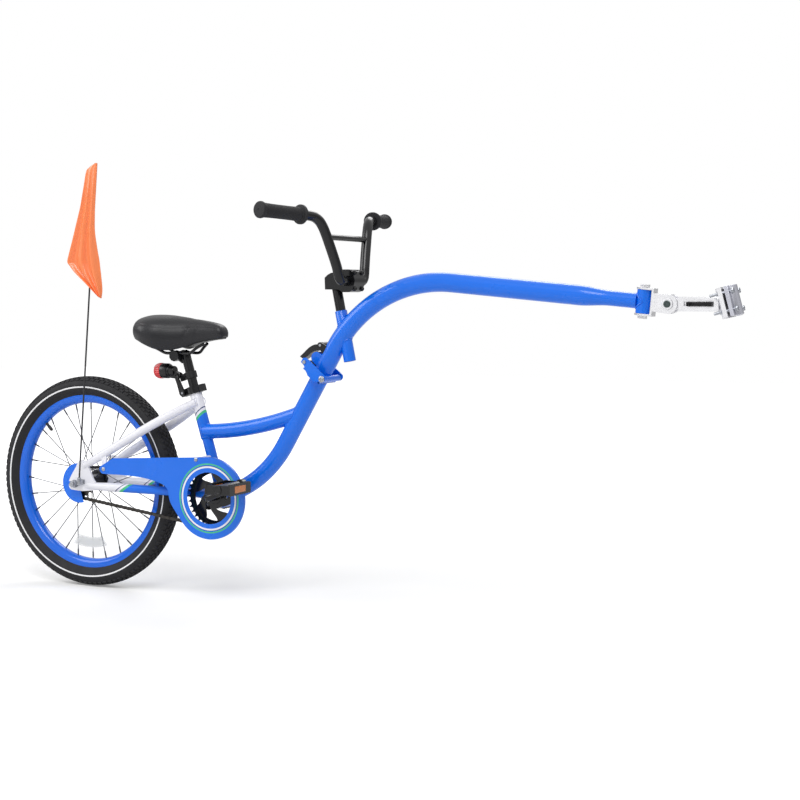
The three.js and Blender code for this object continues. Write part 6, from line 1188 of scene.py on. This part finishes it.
def socket_cap(place, axis, radius, high, socket=0.5):
    """The head of a socket screw, with its hole: up the side, over a rounded rim and down inside."""
    inside = radius * socket
    return lathe([(0.01, 0), (radius, 0), (radius, high * 0.8), (radius * 0.9, high), (inside * 1.1, high),
                  (inside, high - 0.4), (inside, high * 0.35), (0.01, high * 0.3)], place, axis, 28)


def two_caps(place, out, *sizes):
    """A socket head on each side of the bike, both facing away from its middle."""
    return [socket_cap(np.array(place) + [0, side * out, 0], (0, side, 0), *sizes) for side in (-1, 1)]


joint_bolt = bolt_shell(FOLD, FOLD_SLOPE, 41.4, 3.9, 7.4, 2.4, 28) + two_caps(FOLD, 43.7, 4.6, 1.8)
make_piece("fold_pivot_bolt_turned", joint_bolt, bolt_steel, "fold_pivot_bolt")
softened("fold_latch_pin", bolt_steel, 0.4)

# %% [markdown]
# ## Stem
# The stem is a cast block on a quill, split at the bar, with a cast cap that four screws hold. The block and
# the cap are outlines whose open side follows the bar, and the quill is a turned rod.

# %% Quill and block
BAR = np.array([722.1, 0, 741.03])
BAR_HOLE, SPLIT, CAP_HALF = 11.6, 1.5, 24.6
quill = lathe([(9.6, -150), (11, -148.6), (11, -2), (10.4, 0)], (681.1, 0, 741.0), head_way, 40)
lower_side = np.concatenate([[(663.5, -19), (697, -19)], arc(709, -18, 7, 215, 270, 5), [(721.8, -25)]])
upper_side = np.concatenate([[(721.8, 25)], arc(709, 18, 7, 90, 150, 5),
                             [(697, 20), (678, 17.5), (670, 13.5), (662.5, 7)]])
near_side = arc(BAR[0], BAR[2], BAR_HOLE, 270 - SPLIT, 90 + SPLIT, 40)
block = plate(np.concatenate([lower_side + [0, BAR[2]], near_side, upper_side + [0, BAR[2]]]), -17, 17)
make_piece("stem_cast", [quill, block], black_enamel, "stem", edge=1.6)

# %% Cap with its bosses and screws
turn = np.radians(np.linspace(-90, 90, 61))
scallop = (1 + 0.035 * np.cos(6 * turn)) / 1.035
bulge = 19.7 * np.cos(turn) ** 0.7 * np.where(np.abs(turn) < 1.5, scallop, 1)
cap_curve = np.stack([722.4 + bulge, BAR[2] + 25 * np.sin(turn)], axis=1)
cap_outline = np.concatenate([cap_curve, arc(BAR[0], BAR[2], BAR_HOLE, 90 - SPLIT, -90 + SPLIT, 40)])
screws = [(y, BAR[2] + z) for y in (-17, 17) for z in (-17.5, 17.5)]
boss_profile = [(0.01, 0), (5.6, 0), (5.6, 12.4), (5, 13), (0.01, 13)]
cap = [plate(cap_outline, -CAP_HALF, CAP_HALF)] + [lathe(boss_profile, (727.0, *at), (1, 0, 0), 24) for at in screws]
make_piece("bar_clamp_cast", cap, black_enamel, "bar_clamp_plate", edge=1.2)
cap_bolts = [socket_cap((739.4, *at), (1, 0, 0), 3.9, 2.6) for at in screws]
make_piece("bar_clamp_bolts", cap_bolts, black_enamel, "bar_clamp_plate", extra=True)

# %% [markdown]
# ## Handlebar and grips
# The bar is one long tube with six bends, so its path is measured for one side and mirrored, and a thinner
# tube bridges it. The grips are moulded rubber: a profile with a flange, fine ribs and a rounded end.

# %% Handlebar: across, up and ahead of the clamp
BAR_SIDE = [(42, 0, 0), (50, 0.8, 0), (56.5, 5.5, -0.3), (61, 14.5, -0.9), (65.5, 30, -2.2), (75, 54, -5.6),
            (86, 79, -9.2), (95.5, 100, -12.4), (104, 115.5, -15.2), (114, 127.5, -18.6), (127, 135, -23.4),
            (143, 137.6, -28.2), (165, 138.6, -33.4), (205, 140.3, -43), (245, 142, -52.6), (283, 143.6, -61.75)]
across_bar = smooth_path([(-y, up, ahead) for y, up, ahead in reversed(BAR_SIDE)] + BAR_SIDE, 8)
bar_tube = sweep(BAR + across_bar[:, [2, 0, 1]], 11.1, 32, beside=(1, 0, 0.2))
bridge = np.linspace(*(BAR + [-11.6, side * 92.6, 93.5] for side in (-1, 1)), 24)
make_piece("handlebar_bent", [bar_tube, sweep(bridge, 6.4, 20, beside=(1, 0, 0))], black_enamel, "handlebar")

# %% Grips
GRIP_LONG, RIB_EVERY = 127.3, 4.4
FLANGE = [(0.01, 0.6), (11.3, -0.2), (20.2, -0.2), (21, 0.6), (21, 5.2), (20.2, 6.2), (16.2, 7.2)]
GRIP_END = [(15.8, 118), (17.4, 119.6), (17.8, 121), (17.6, 124.4), (15.6, 126.8), (10, GRIP_LONG), (3.2, GRIP_LONG),
            (2.6, 126.4), (0.01, 126.2)]
along = np.arange(8.5, 117, 0.55)
ribs = 14.3 + 0.45 * np.cos(2 * math.pi * along / RIB_EVERY)
waist = 0.9 * (1 - np.sin(math.pi * (along - 8.5) / 108.5)) ** 2
grip_profile = [*FLANGE, *zip(ribs + waist, along), *GRIP_END]
for side, word in SIDES:
    bar_end, bar_before = (BAR + np.array([ahead, side * y, up]) for ahead, y, up in (
        (-62, 284.0, 143.6), (-33.4, 165.0, 138.6)))
    way = unit(bar_end - bar_before)
    start = bar_end + way * 3.3 - way * GRIP_LONG
    make_piece(f"grip_{word}_ribbed", lathe(grip_profile, start, way, 44), grip_rubber, f"grip_{word}")

# %% [markdown]
# ## Seat hardware and hitch
# These are small steel castings and folded plates whose CAD shape is already right, so each is copied, merged
# and given the small rounded edges that casting and deburring leave.

# %% Collar, levers, clamp, receiver, tongue and clevis
for node, material, edge in (("seat_clamp", black_enamel, 1.0), ("seat_clamp_bolt", bolt_steel, 0.5),
                             ("seat_clamp_lever", lever_plastic, 1.2), ("light_strap", black_plastic, 0.5),
                             ("saddle_clamp", black_enamel, 0.8), ("hitch_clamp_front", cast_alloy, 1.8),
                             ("hitch_clamp_rear", zinc_steel, 1.2)):
    softened(node, material, edge)
softened("clamp_shim", black_plastic, 0.3)
for node, material, edge in (("latch_lever", lever_plastic, 0.9), ("tongue", zinc_steel, 0.8),
                             ("yaw_clevis", zinc_steel, 0.9), ("yaw_bolt", zinc_steel, 0.9)):
    softened(node, material, edge)

# %% [markdown]
# ## The hitch's bolts
# Four bolts draw the clamp's halves together, and one crosses the tongue. They are turned: a washer and a
# domed head with its hole, a shank, and a nut. The four are laid along the lines of the CAD's bolts.


# %% Clamp bolts
def bolt_line(node):
    """A bolt's axis, read off its CAD shape: the middle of its points, the direction in which they spread
    most, turned to face forward, and how far they reach behind the middle."""
    spots = np.empty(len(nodes[node].data.vertices) * 3)
    nodes[node].data.vertices.foreach_get("co", spots)
    spots = spots.reshape(-1, 3) * 1000 + CLAMP
    centre = (spots.max(axis=0) + spots.min(axis=0)) / 2
    way = np.linalg.eigh(np.cov((spots - centre).T))[1][:, -1]
    way = way * np.sign(way[0])
    return centre, way, ((spots - centre) @ way).min()


SHANK_LONG, EAR_THICK, BOLT_OUT = 44, 22, 25
SHANK = [(0.01, 0), (2.6, 0), (3, 0.6), (3, SHANK_LONG), (0.01, SHANK_LONG)]
HEAD = [(0.01, 0), (6.9, 0), (6.9, 1.1), (5.7, 1.3), (5.7, 4.2), (5.1, 5.2), (3.2, 5.6), (2.9, 3), (0.01, 2.8)]
NUT = [(0.01, 0), (6.4, 0), (6.4, -1), (5.9, -1.2), (5.9, -5), (5, -6), (0.01, -6)]
for n in range(1, 5):
    centre, way, back = bolt_line(f"clamp_bolt_{n}")
    centre[1] = np.sign(centre[1]) * BOLT_OUT
    turned = [lathe(part, centre + way * (back + ahead), way, sides) for part, ahead, sides in (
        (SHANK, 0, 20), (HEAD, SHANK_LONG, 28), (NUT, SHANK_LONG - EAR_THICK, 28))]
    make_piece(f"clamp_bolt_{n}_turned", turned, bolt_steel, f"clamp_bolt_{n}")
print("clamp bolts lean", round(math.degrees(math.asin(way[2])), 1), "degrees")

# %% Pitch bolt, its washers, and the ribs on the latch's finger end
PITCH_PIVOT, BOLT_HALF = np.array([1441.0, 0, 692.0]), 18.4
washer = [(6.2, 16.7), (11, 16.7), (11, 18), (10.4, 18.5), (6.2, 18.5)]
pitch_bolt = [lathe([(0.01, -BOLT_HALF), (6, -BOLT_HALF), (6, BOLT_HALF), (0.01, BOLT_HALF)], PITCH_PIVOT, turns=32)]
pitch_bolt += [lathe(washer, PITCH_PIVOT, (0, side, 0), 40, ring=True) for side in (-1, 1)]
make_piece("pitch_bolt_turned", pitch_bolt, zinc_steel, "pitch_bolt")
make_piece("pitch_bolt_socket", two_caps(PITCH_PIVOT, BOLT_HALF, 7.2, 1.9, 0.55), dark_steel, "pitch_bolt",
           extra=True)
rib_foot = np.array([(x, -19.5, 689.4) for x in np.arange(1482.5, 1496, 2.8)])
make_piece("latch_finger_ribs", rods(rib_foot, rib_foot + [0, 0, 5.2], 0.8), lever_plastic, "latch_lever",
           extra=True)

# %% [markdown]
# ## Seat post and rear light
# The post is a drawn tube with a flattened head that holds the saddle clamp's bolt. The light is a moulded
# cup with two ears on the post's strap, and its lens is fluted round the rim, so both are spun profiles.

# %% Seat post and its head
POST_RADIUS, POST_FROM, POST_TO = 11.1, 153, 343
post_top = seat_tube_point(POST_TO)
post_profile = [(0.01, POST_FROM), (9.8, POST_FROM), (POST_RADIUS, 154.4), (POST_RADIUS, 342), (10.2, POST_TO),
                (0.01, POST_TO)]
px, pz, tx, tz = 263.98, 568.03, post_top[0], post_top[2]
ear_outline = np.concatenate([arc(px, pz, 9.1, 100, 250, 14),
                              [(tx - 3.3, tz - 23.4), (tx + 6.7, tz - 11.7), (tx + 2.2, tz + 0.3)]])
post = [lathe(post_profile, SEAT_FOOT, seat_way, 48), plate(ear_outline, -9.9, 9.9, [circle(px, pz, 4.3, 20)])]
make_piece("seat_post_drawn", post, black_enamel, "seat_post", edge=0.9)

# %% Light housing and its screw
HOUSING_PROFILE = [(0.01, 0), (16.4, 0), (16.4, 2.6), (17.9, 3), (18, 3.6), (18, 19), (17.2, 21.4), (15.4, 22.2),
                   (14.6, 23), (14.6, 25.4), (12.6, 26), (12, 36.4), (11.2, 37.8), (0.01, 38)]
light_ear = np.concatenate([[(241, 534)], arc(259, 521, 8, 62, -90, 18), [(241, 514.8)]])
housing = [lathe(HOUSING_PROFILE, (212.0, 0, 531.0), (1, 0, 0), 56)]
housing += [plate(light_ear, low, low + 3) for low in (-6.6, 3.6)]
make_piece("light_housing_moulded", housing, lever_plastic, "light_housing", edge=0.6)
make_piece("light_screw", two_caps((259.0, 0, 521), 6.5, 4.2, 3), black_enamel, "light_housing",
           extra=True)


# %% Fluted lens
def fluted(profile, centre, axis, flutes, depth, turns):
    """A turned shape whose radius swells and sinks `flutes` times round by a share: r·(1 + depth·cos(n·turn)).
    The swell fades towards the middle, where it would only crowd."""
    points, quads, tris = lathe(profile, centre, axis, turns)
    count = len(profile) * turns
    offset = points[:count] - centre
    along = (offset @ axis)[:, None] * axis
    turn = np.tile(np.arange(turns) / turns * 2 * math.pi, len(profile))
    reach = np.linalg.norm(offset - along, axis=1)
    swell = 1 + depth * np.cos(flutes * turn) * np.clip(reach / 12, 0, 1) ** 2
    points[:count] = centre + along + (offset - along) * swell[:, None]
    return points, quads, tris


LENS_PROFILE = [(16.6, 0), (18, 0), (18.2, 0.8), (18.2, 11), (17.2, 12.6), (16.7, 13), (16.2, 16), (13.6, 18.8),
                (13, 18), (9.4, 19.4), (9, 19.9), (5, 20.9), (0.01, 21.2), (0.01, 4), (16.6, 4)]
lens = fluted(LENS_PROFILE, np.array([216.0, 0, 531.0]), np.array([-1.0, 0, 0]), 24, 0.028, 192)
make_piece("light_lens_fluted", lens, red_lens, "light_lens")

# %% [markdown]
# ## The saddle
# A saddle is foam under a vinyl cover, on a moulded plastic base with steel rails. Its outline, crown and skirt
# change all along its length, so its skin is a table of stations with a smooth curve through them, and at
# each station the same closed section is stretched to fit. Then Blender's cloth, with air inside, draws the
# cover tight, so that it swells between its tacked edge and its seam as the real cover does.

# %% Stations and section of the cover
SADDLE_REAR, SADDLE_LONG, SADDLE_WIDE, SADDLE_TALL, SKIRT = 159.98, 232.0, 156.0, 83.0, 579.03
# along, half width, top, bottom: shares of length, half width and height
STATIONS = [(0.002, 0.22, 0.76, 0.385), (0.006, 0.44, 0.82, 0.36), (0.018, 0.6, 0.87, 0.345),
            (0.045, 0.74, 0.92, 0.325), (0.1, 0.87, 0.965, 0.285), (0.2, 0.975, 0.995, 0.18),
            (0.32, 0.915, 0.985, 0.06), (0.45, 0.65, 0.945, 0.035), (0.58, 0.42, 0.905, 0.125),
            (0.7, 0.32, 0.87, 0.255), (0.82, 0.29, 0.83, 0.33), (0.92, 0.275, 0.775, 0.365),
            (0.965, 0.25, 0.71, 0.385), (0.988, 0.19, 0.62, 0.405), (0.999, 0.08, 0.52, 0.43)]
# across and up: crown, shoulder, side, lower edge, then a little way under the cover
SECTION = [(0, 1), (0.24, 0.992), (0.46, 0.965), (0.66, 0.905), (0.82, 0.8), (0.93, 0.66), (0.985, 0.5),
           (0.985, 0.34), (0.94, 0.18), (0.875, 0.065), (0.82, 0.01)]
# the underside from there to the middle: share of the half width, and share of the way up into the hollow
UNDER = np.array([(0.79, 0), (0.76, 0), (0.745, 0.12), (0.74, 0.7), (0.735, 1), (0.6, 1), (0.3, 1), (0, 1)])
HOLLOW_TOP, TUCK, ROWS_BETWEEN = 595.2, 0.16, 4


def along_stations(stations, steps):
    """Smooth curves through each column of a table: place, half width, lowest and highest, in millimetres."""
    table = np.array(stations)
    place = smooth_path(np.stack([table[:, 0], table[:, 1], 0 * table[:, 0]], axis=1), steps)
    heights = smooth_path(np.stack([table[:, 0], table[:, 2], table[:, 3]], axis=1), steps)
    low, high = (SKIRT + heights[:, k] * SADDLE_TALL for k in (2, 1))
    return place[:, 0], place[:, 1] * SADDLE_WIDE / 2, low, high


def both_halves(x, y, z):
    """Whole rings from their right halves, which run from the middle plane round to the middle plane."""
    right = np.stack([np.broadcast_to(x[:, None], y.shape), y, z], axis=2)
    return np.concatenate([right, right[:, 1:-1][:, ::-1] * [1, -1, 1]], axis=1)


def cover_rings(steps=7):
    """The cover's rings. Point (s, t): x from the station, y = half width times the section's across, and
    z = bottom + up times (top - bottom). The underside turns in and up into a hollow that fades out at both
    ends of the saddle."""
    share, half, low, high = along_stations(STATIONS, steps)
    skin = smooth_path(np.array([(a, b, 0) for a, b in SECTION]), ROWS_BETWEEN)[:, :2]
    deep = np.clip((share - 0.05) / 0.07, 0, 1) * np.clip((0.985 - share) / 0.05, 0, 1)
    rise = deep * np.maximum(HOLLOW_TOP - low, 5.2)
    z_under = low[:, None] + UNDER[:, 1] * rise[:, None]
    z_under[:, 0] -= TUCK * deep
    y = half[:, None] * np.concatenate([skin[:, 0], UNDER[:, 0]])
    z = np.concatenate([low[:, None] + (high - low)[:, None] * skin[:, 1], z_under], axis=1)
    return both_halves(SADDLE_REAR + share * SADDLE_LONG, y, z)


cover = cover_rings()
ring_count, columns = cover.shape[:2]
saddle = make_piece("saddle_cover", capped(cover), saddle_vinyl, "saddle_cushion")


# %% Air under the cover
def places_of(mesh):
    """A mesh's points, one row each."""
    places = np.empty(len(mesh.vertices) * 3)
    mesh.vertices.foreach_get("co", places)
    return places.reshape(-1, 3)


def inflated(piece, held, pressure=45.0, stiffness=8, bending=0.3, frames=14, cap=0.0028):
    """Cloth with pressure and no gravity: held points stay, the rest swell by `cap` metres at most, and
    the result is written back to the mesh with the simulation removed."""
    group = piece.vertex_groups.new(name="held")
    group.add([int(n) for n in np.flatnonzero(held)], 1.0, "REPLACE")
    before = places_of(piece.data)
    cloth = piece.modifiers.new("cover drawn tight", "CLOTH")
    settings = cloth.settings
    settings.vertex_group_mass = "held"
    settings.quality, settings.mass, settings.air_damping = 6, 0.25, 2.0
    settings.tension_stiffness = settings.compression_stiffness = settings.shear_stiffness = stiffness
    settings.bending_stiffness = bending
    settings.use_pressure, settings.uniform_pressure_force = True, pressure
    settings.effector_weights.gravity = 0
    cloth.collision_settings.use_collision = cloth.collision_settings.use_self_collision = False
    cloth.point_cache.frame_start, cloth.point_cache.frame_end = 1, frames
    scene = bpy.context.scene
    for number in range(1, frames + 1):
        scene.frame_set(number)
    step = places_of(piece.evaluated_get(bpy.context.evaluated_depsgraph_get()).data) - before
    size = np.linalg.norm(step, axis=1, keepdims=True)
    piece.modifiers.remove(cloth)
    piece.vertex_groups.clear()
    piece.data.vertices.foreach_set("co", (before + step * np.minimum(1, cap / np.maximum(size, 1e-9))).ravel())
    piece.data.update()
    scene.frame_set(1)
    most, mean = (size.max() * 1000).round(2), (size.mean() * 1000).round(2)
    print("the cover moved by", most, "mm before the cap; mean", mean)


on_skin = (len(SECTION) - 1) * ROWS_BETWEEN
column = np.arange(len(saddle.data.vertices)) % columns
column[ring_count * columns:] = columns // 2
from_top = np.minimum(column, columns - column)
inflated(saddle, from_top >= on_skin)

# %% Seam between the top and the side panels, and one level of smoothing
SEAM_ROW, SEAM_WIDE, SEAM_DEEP = 19, 0.55, 0.0011
places = places_of(saddle.data)
on_rings = np.arange(len(places)) < ring_count * columns
middle = places[on_rings].reshape(ring_count, columns, 3).mean(axis=1)
ring_of = np.minimum(np.arange(len(places)) // columns, ring_count - 1)
inward = np.zeros_like(places)
inward[:, 1:] = unit(middle[ring_of][:, 1:] - places[:, 1:] + 1e-9)
groove = np.exp(-((from_top - SEAM_ROW) / SEAM_WIDE) ** 2) * on_rings
x = places[:, 0] * 1000 + CLAMP[0] - SADDLE_REAR
fade = np.clip(x / 22, 0, 1) * np.clip((226 - x) / 12, 0, 1)
saddle.data.vertices.foreach_set("co", (places + inward * (groove * fade * SEAM_DEEP)[:, None]).ravel())
saddle.data.update()
smoother = saddle.modifiers.new("smooth cover", "SUBSURF")
smoother.levels = smoother.render_levels = 1

# %% [markdown]
# ## Saddle base and rails
# The base is moulded plastic that follows the cover's edge, so it is worked out from the same stations. The
# rails are two bent wires that run low where the clamp grips them and rise to meet under the nose.

# %% Base
BASE_LOW, BASE_UNDER, BASE_SHARE = 588.53, 2.5, 0.7


def base_rings(steps=4):
    """The base plate: its edge follows the cover's at seven tenths of the half width, 6 mm thick, with its
    underside flat over the rails and rising with both ends of the cover."""
    share, half, bottom, _ = along_stations(STATIONS[4:-2], steps)
    low = np.maximum(BASE_LOW, bottom - BASE_UNDER)
    across = np.array([0, 0.9, 0.98, 1, 1, 0.98, 0.9, 0])
    up = np.array([0.9, 0, 0, 0.8, 5, 5.8, 6, 6])
    return both_halves(SADDLE_REAR + share * SADDLE_LONG, half[:, None] * BASE_SHARE * across, low[:, None] + up)


make_piece("saddle_base_moulded", capped(base_rings()), black_plastic, "saddle_base")

# %% Rails
RAIL, SPREAD, CLEAR = 3.5, 20.0, 0.3
low_rail = 578.03 - RAIL
rear_rail = SKIRT + 0.24 * SADDLE_TALL - BASE_UNDER - CLEAR - RAIL
nose_rail = max(BASE_LOW, SKIRT + 0.3 * SADDLE_TALL - BASE_UNDER) - CLEAR - RAIL * 1.2
# along as a share of the saddle, height, and share of the spread
rail_shape = [(0.15, rear_rail, 1.3), (0.24, (rear_rail + low_rail) / 2, 1.08)]
rail_shape += [(along, low_rail, 1) for along in (0.33, 0.42, 0.52, 0.62)]
rail_shape += [(0.69, (low_rail + nose_rail) / 2 + 1, 0.75), (0.76, nose_rail, 0.3)]
rails = [sweep(smooth_path([(SADDLE_REAR + along * SADDLE_LONG, side * SPREAD * out, up)
                            for along, up, out in rail_shape], 10), RAIL, 16) for side in (-1, 1)]
make_piece("saddle_rails_bent", rails, black_enamel, "saddle_rails")

# %% [markdown]
# ## The safety flag
# A triangle of glossy orange vinyl is sewn to a thin fibreglass rod by its hoist. Its free corner has
# dropped, so the cloth hangs in soft upright folds. Its two side edges are smooth curves through a table of
# places along the rod, and between them the cloth stands off from the rod by one raised cosine for each fold.

# %% Flag cloth
ROD_FOOT, ROD_LONG, HOIST, FLY = np.array([25.0, -80, 262.3]), 757.0, 312.0, 145.0
rod_way = heading(90 - 4.9)
# rear edge: down the hoist, out to the rear; front edge: down, out to the front
FLAG_ROWS = [(0.004, 0.03, -0.004, 0.02), (0.03, 0.12, 0.024, 0.024), (0.06, 0.175, 0.05, 0.028),
             (0.16, 0.2, 0.13, 0.032), (0.308, 0.235, 0.28, 0.036), (0.42, 0.283, 0.4, 0.045),
             (0.535, 0.333, 0.515, 0.066), (0.676, 0.393, 0.647, 0.135), (0.735, 0.41, 0.728, 0.185),
             (0.765, 0.36, 0.79, 0.213), (0.817, 0.25, 0.849, 0.24), (0.904, 0.023, 0.946, 0.276),
             (1.0, -0.212, 1.012, 0.268)]


def cloth_grid(steps=9, columns=73):
    """Point (row, share): the straight line between the two edges, moved off the rod by depth times
    (1 - cos) of two and a half waves. The depth grows with the width, and a slow wave leans the folds."""
    table = np.array(FLAG_ROWS)
    rear, front = (smooth_edge(table[:, k:k + 2], steps) for k in (0, 2))
    share = np.linspace(0, 1, columns)
    a, b = (ROD_FOOT + (ROD_LONG - edge[:, :1] * HOIST) * rod_way + sign * edge[:, 1:] * FLY * np.array([1.0, 0, 0])
            for edge, sign in ((rear, -1), (front, 1)))
    points = a[:, None] + (b - a)[:, None] * share[:, None]
    down = np.minimum(rear[:, :1], 1)
    depth = np.clip(down * (rear[:, 1:] + front[:, 1:]) * 9, 0, 3.6) + 1.2 * np.clip(down * 4, 0, 1)
    middle = np.sin(math.pi * share)
    wave = 1 - np.cos(5 * math.pi * (1 - share) + 0.55 * np.sin(math.pi * down) * middle)
    fine = 0.12 * (1 - np.cos(14 * math.pi * share + 9 * down)) * middle
    points[:, :, 1] -= 3.1 + depth * (wave + fine) + 0.9 * middle * (1 - down)
    return points


cloth = cloth_grid()
tall, wide = cloth.shape[:2]
flat_points = cloth.reshape(-1, 3)
first = (np.arange(tall - 1)[:, None] * wide + np.arange(wide - 1)).reshape(-1, 1)
cloth_quads = first + [0, 1, wide + 1, wide]
flag_uv = np.stack([np.tile(np.linspace(0, 1, wide), tall), np.repeat(np.linspace(0, 1, tall), wide)], axis=1)
flag = make_piece("flag_cloth", (flat_points, cloth_quads, NO_FACES), flag_vinyl, "flag", uv=flag_uv)
thick = flag.modifiers.new("cloth thickness", "SOLIDIFY")
thick.thickness, thick.offset = 0.0005, 0
sleeve_line = ROD_FOOT + (ROD_LONG - np.linspace(-0.2, 0.84 * HOIST, 60))[:, None] * rod_way
sleeve = make_piece("flag_sleeve", sweep(sleeve_line, 2.75, 20), flag_vinyl, "flag", extra=True)

# %% [markdown]
# ## Rod and bracket
# The rod is pultruded fibreglass with a small cap on its tip. It stands in a turned socket on a pressed strap
# that the axle nut holds, so rod and socket are round and the strap is an outline.

# %% Rod with its cap
rod_top = ROD_FOOT + ROD_LONG * rod_way
rod = sweep(np.linspace(ROD_FOOT, rod_top - rod_way, 30), 2.0, 16)
rod_cap = sweep(np.linspace(rod_top - 9 * rod_way, rod_top, 4), [2.3, 2.3, 2.3, 1.7], 16)
make_piece("fibre_rod", [rod, rod_cap], rod_fibre, "flag_rod")

# %% Bracket: a strap round the axle, a bridge outward and a socket for the rod
strap = np.concatenate([arc(0, 257, 9.6, 60, 300, 24),
                        [(14, 252.6), (29.6, 258.4), (30.4, 268.6), (20, 268.8), (9, 264.2)]])
bridge = [(21, 259.6), (28.4, 259.6), (28.4, 267), (21, 267)]
socket = [(0.01, -5), (4.8, -5), (4.8, 11.6), (4.2, 12.6), (2.3, 12.6), (2.3, 1), (0.01, 0.9)]
bracket = [plate(strap, -67.2, -64.4, [circle(0, 257, 5.6, 24)]), plate(bridge, -81, -67),
           lathe(socket, ROD_FOOT, rod_way, 28)]
make_piece("flag_bracket_pressed", bracket, bolt_steel, "flag_bracket", edge=0.5)
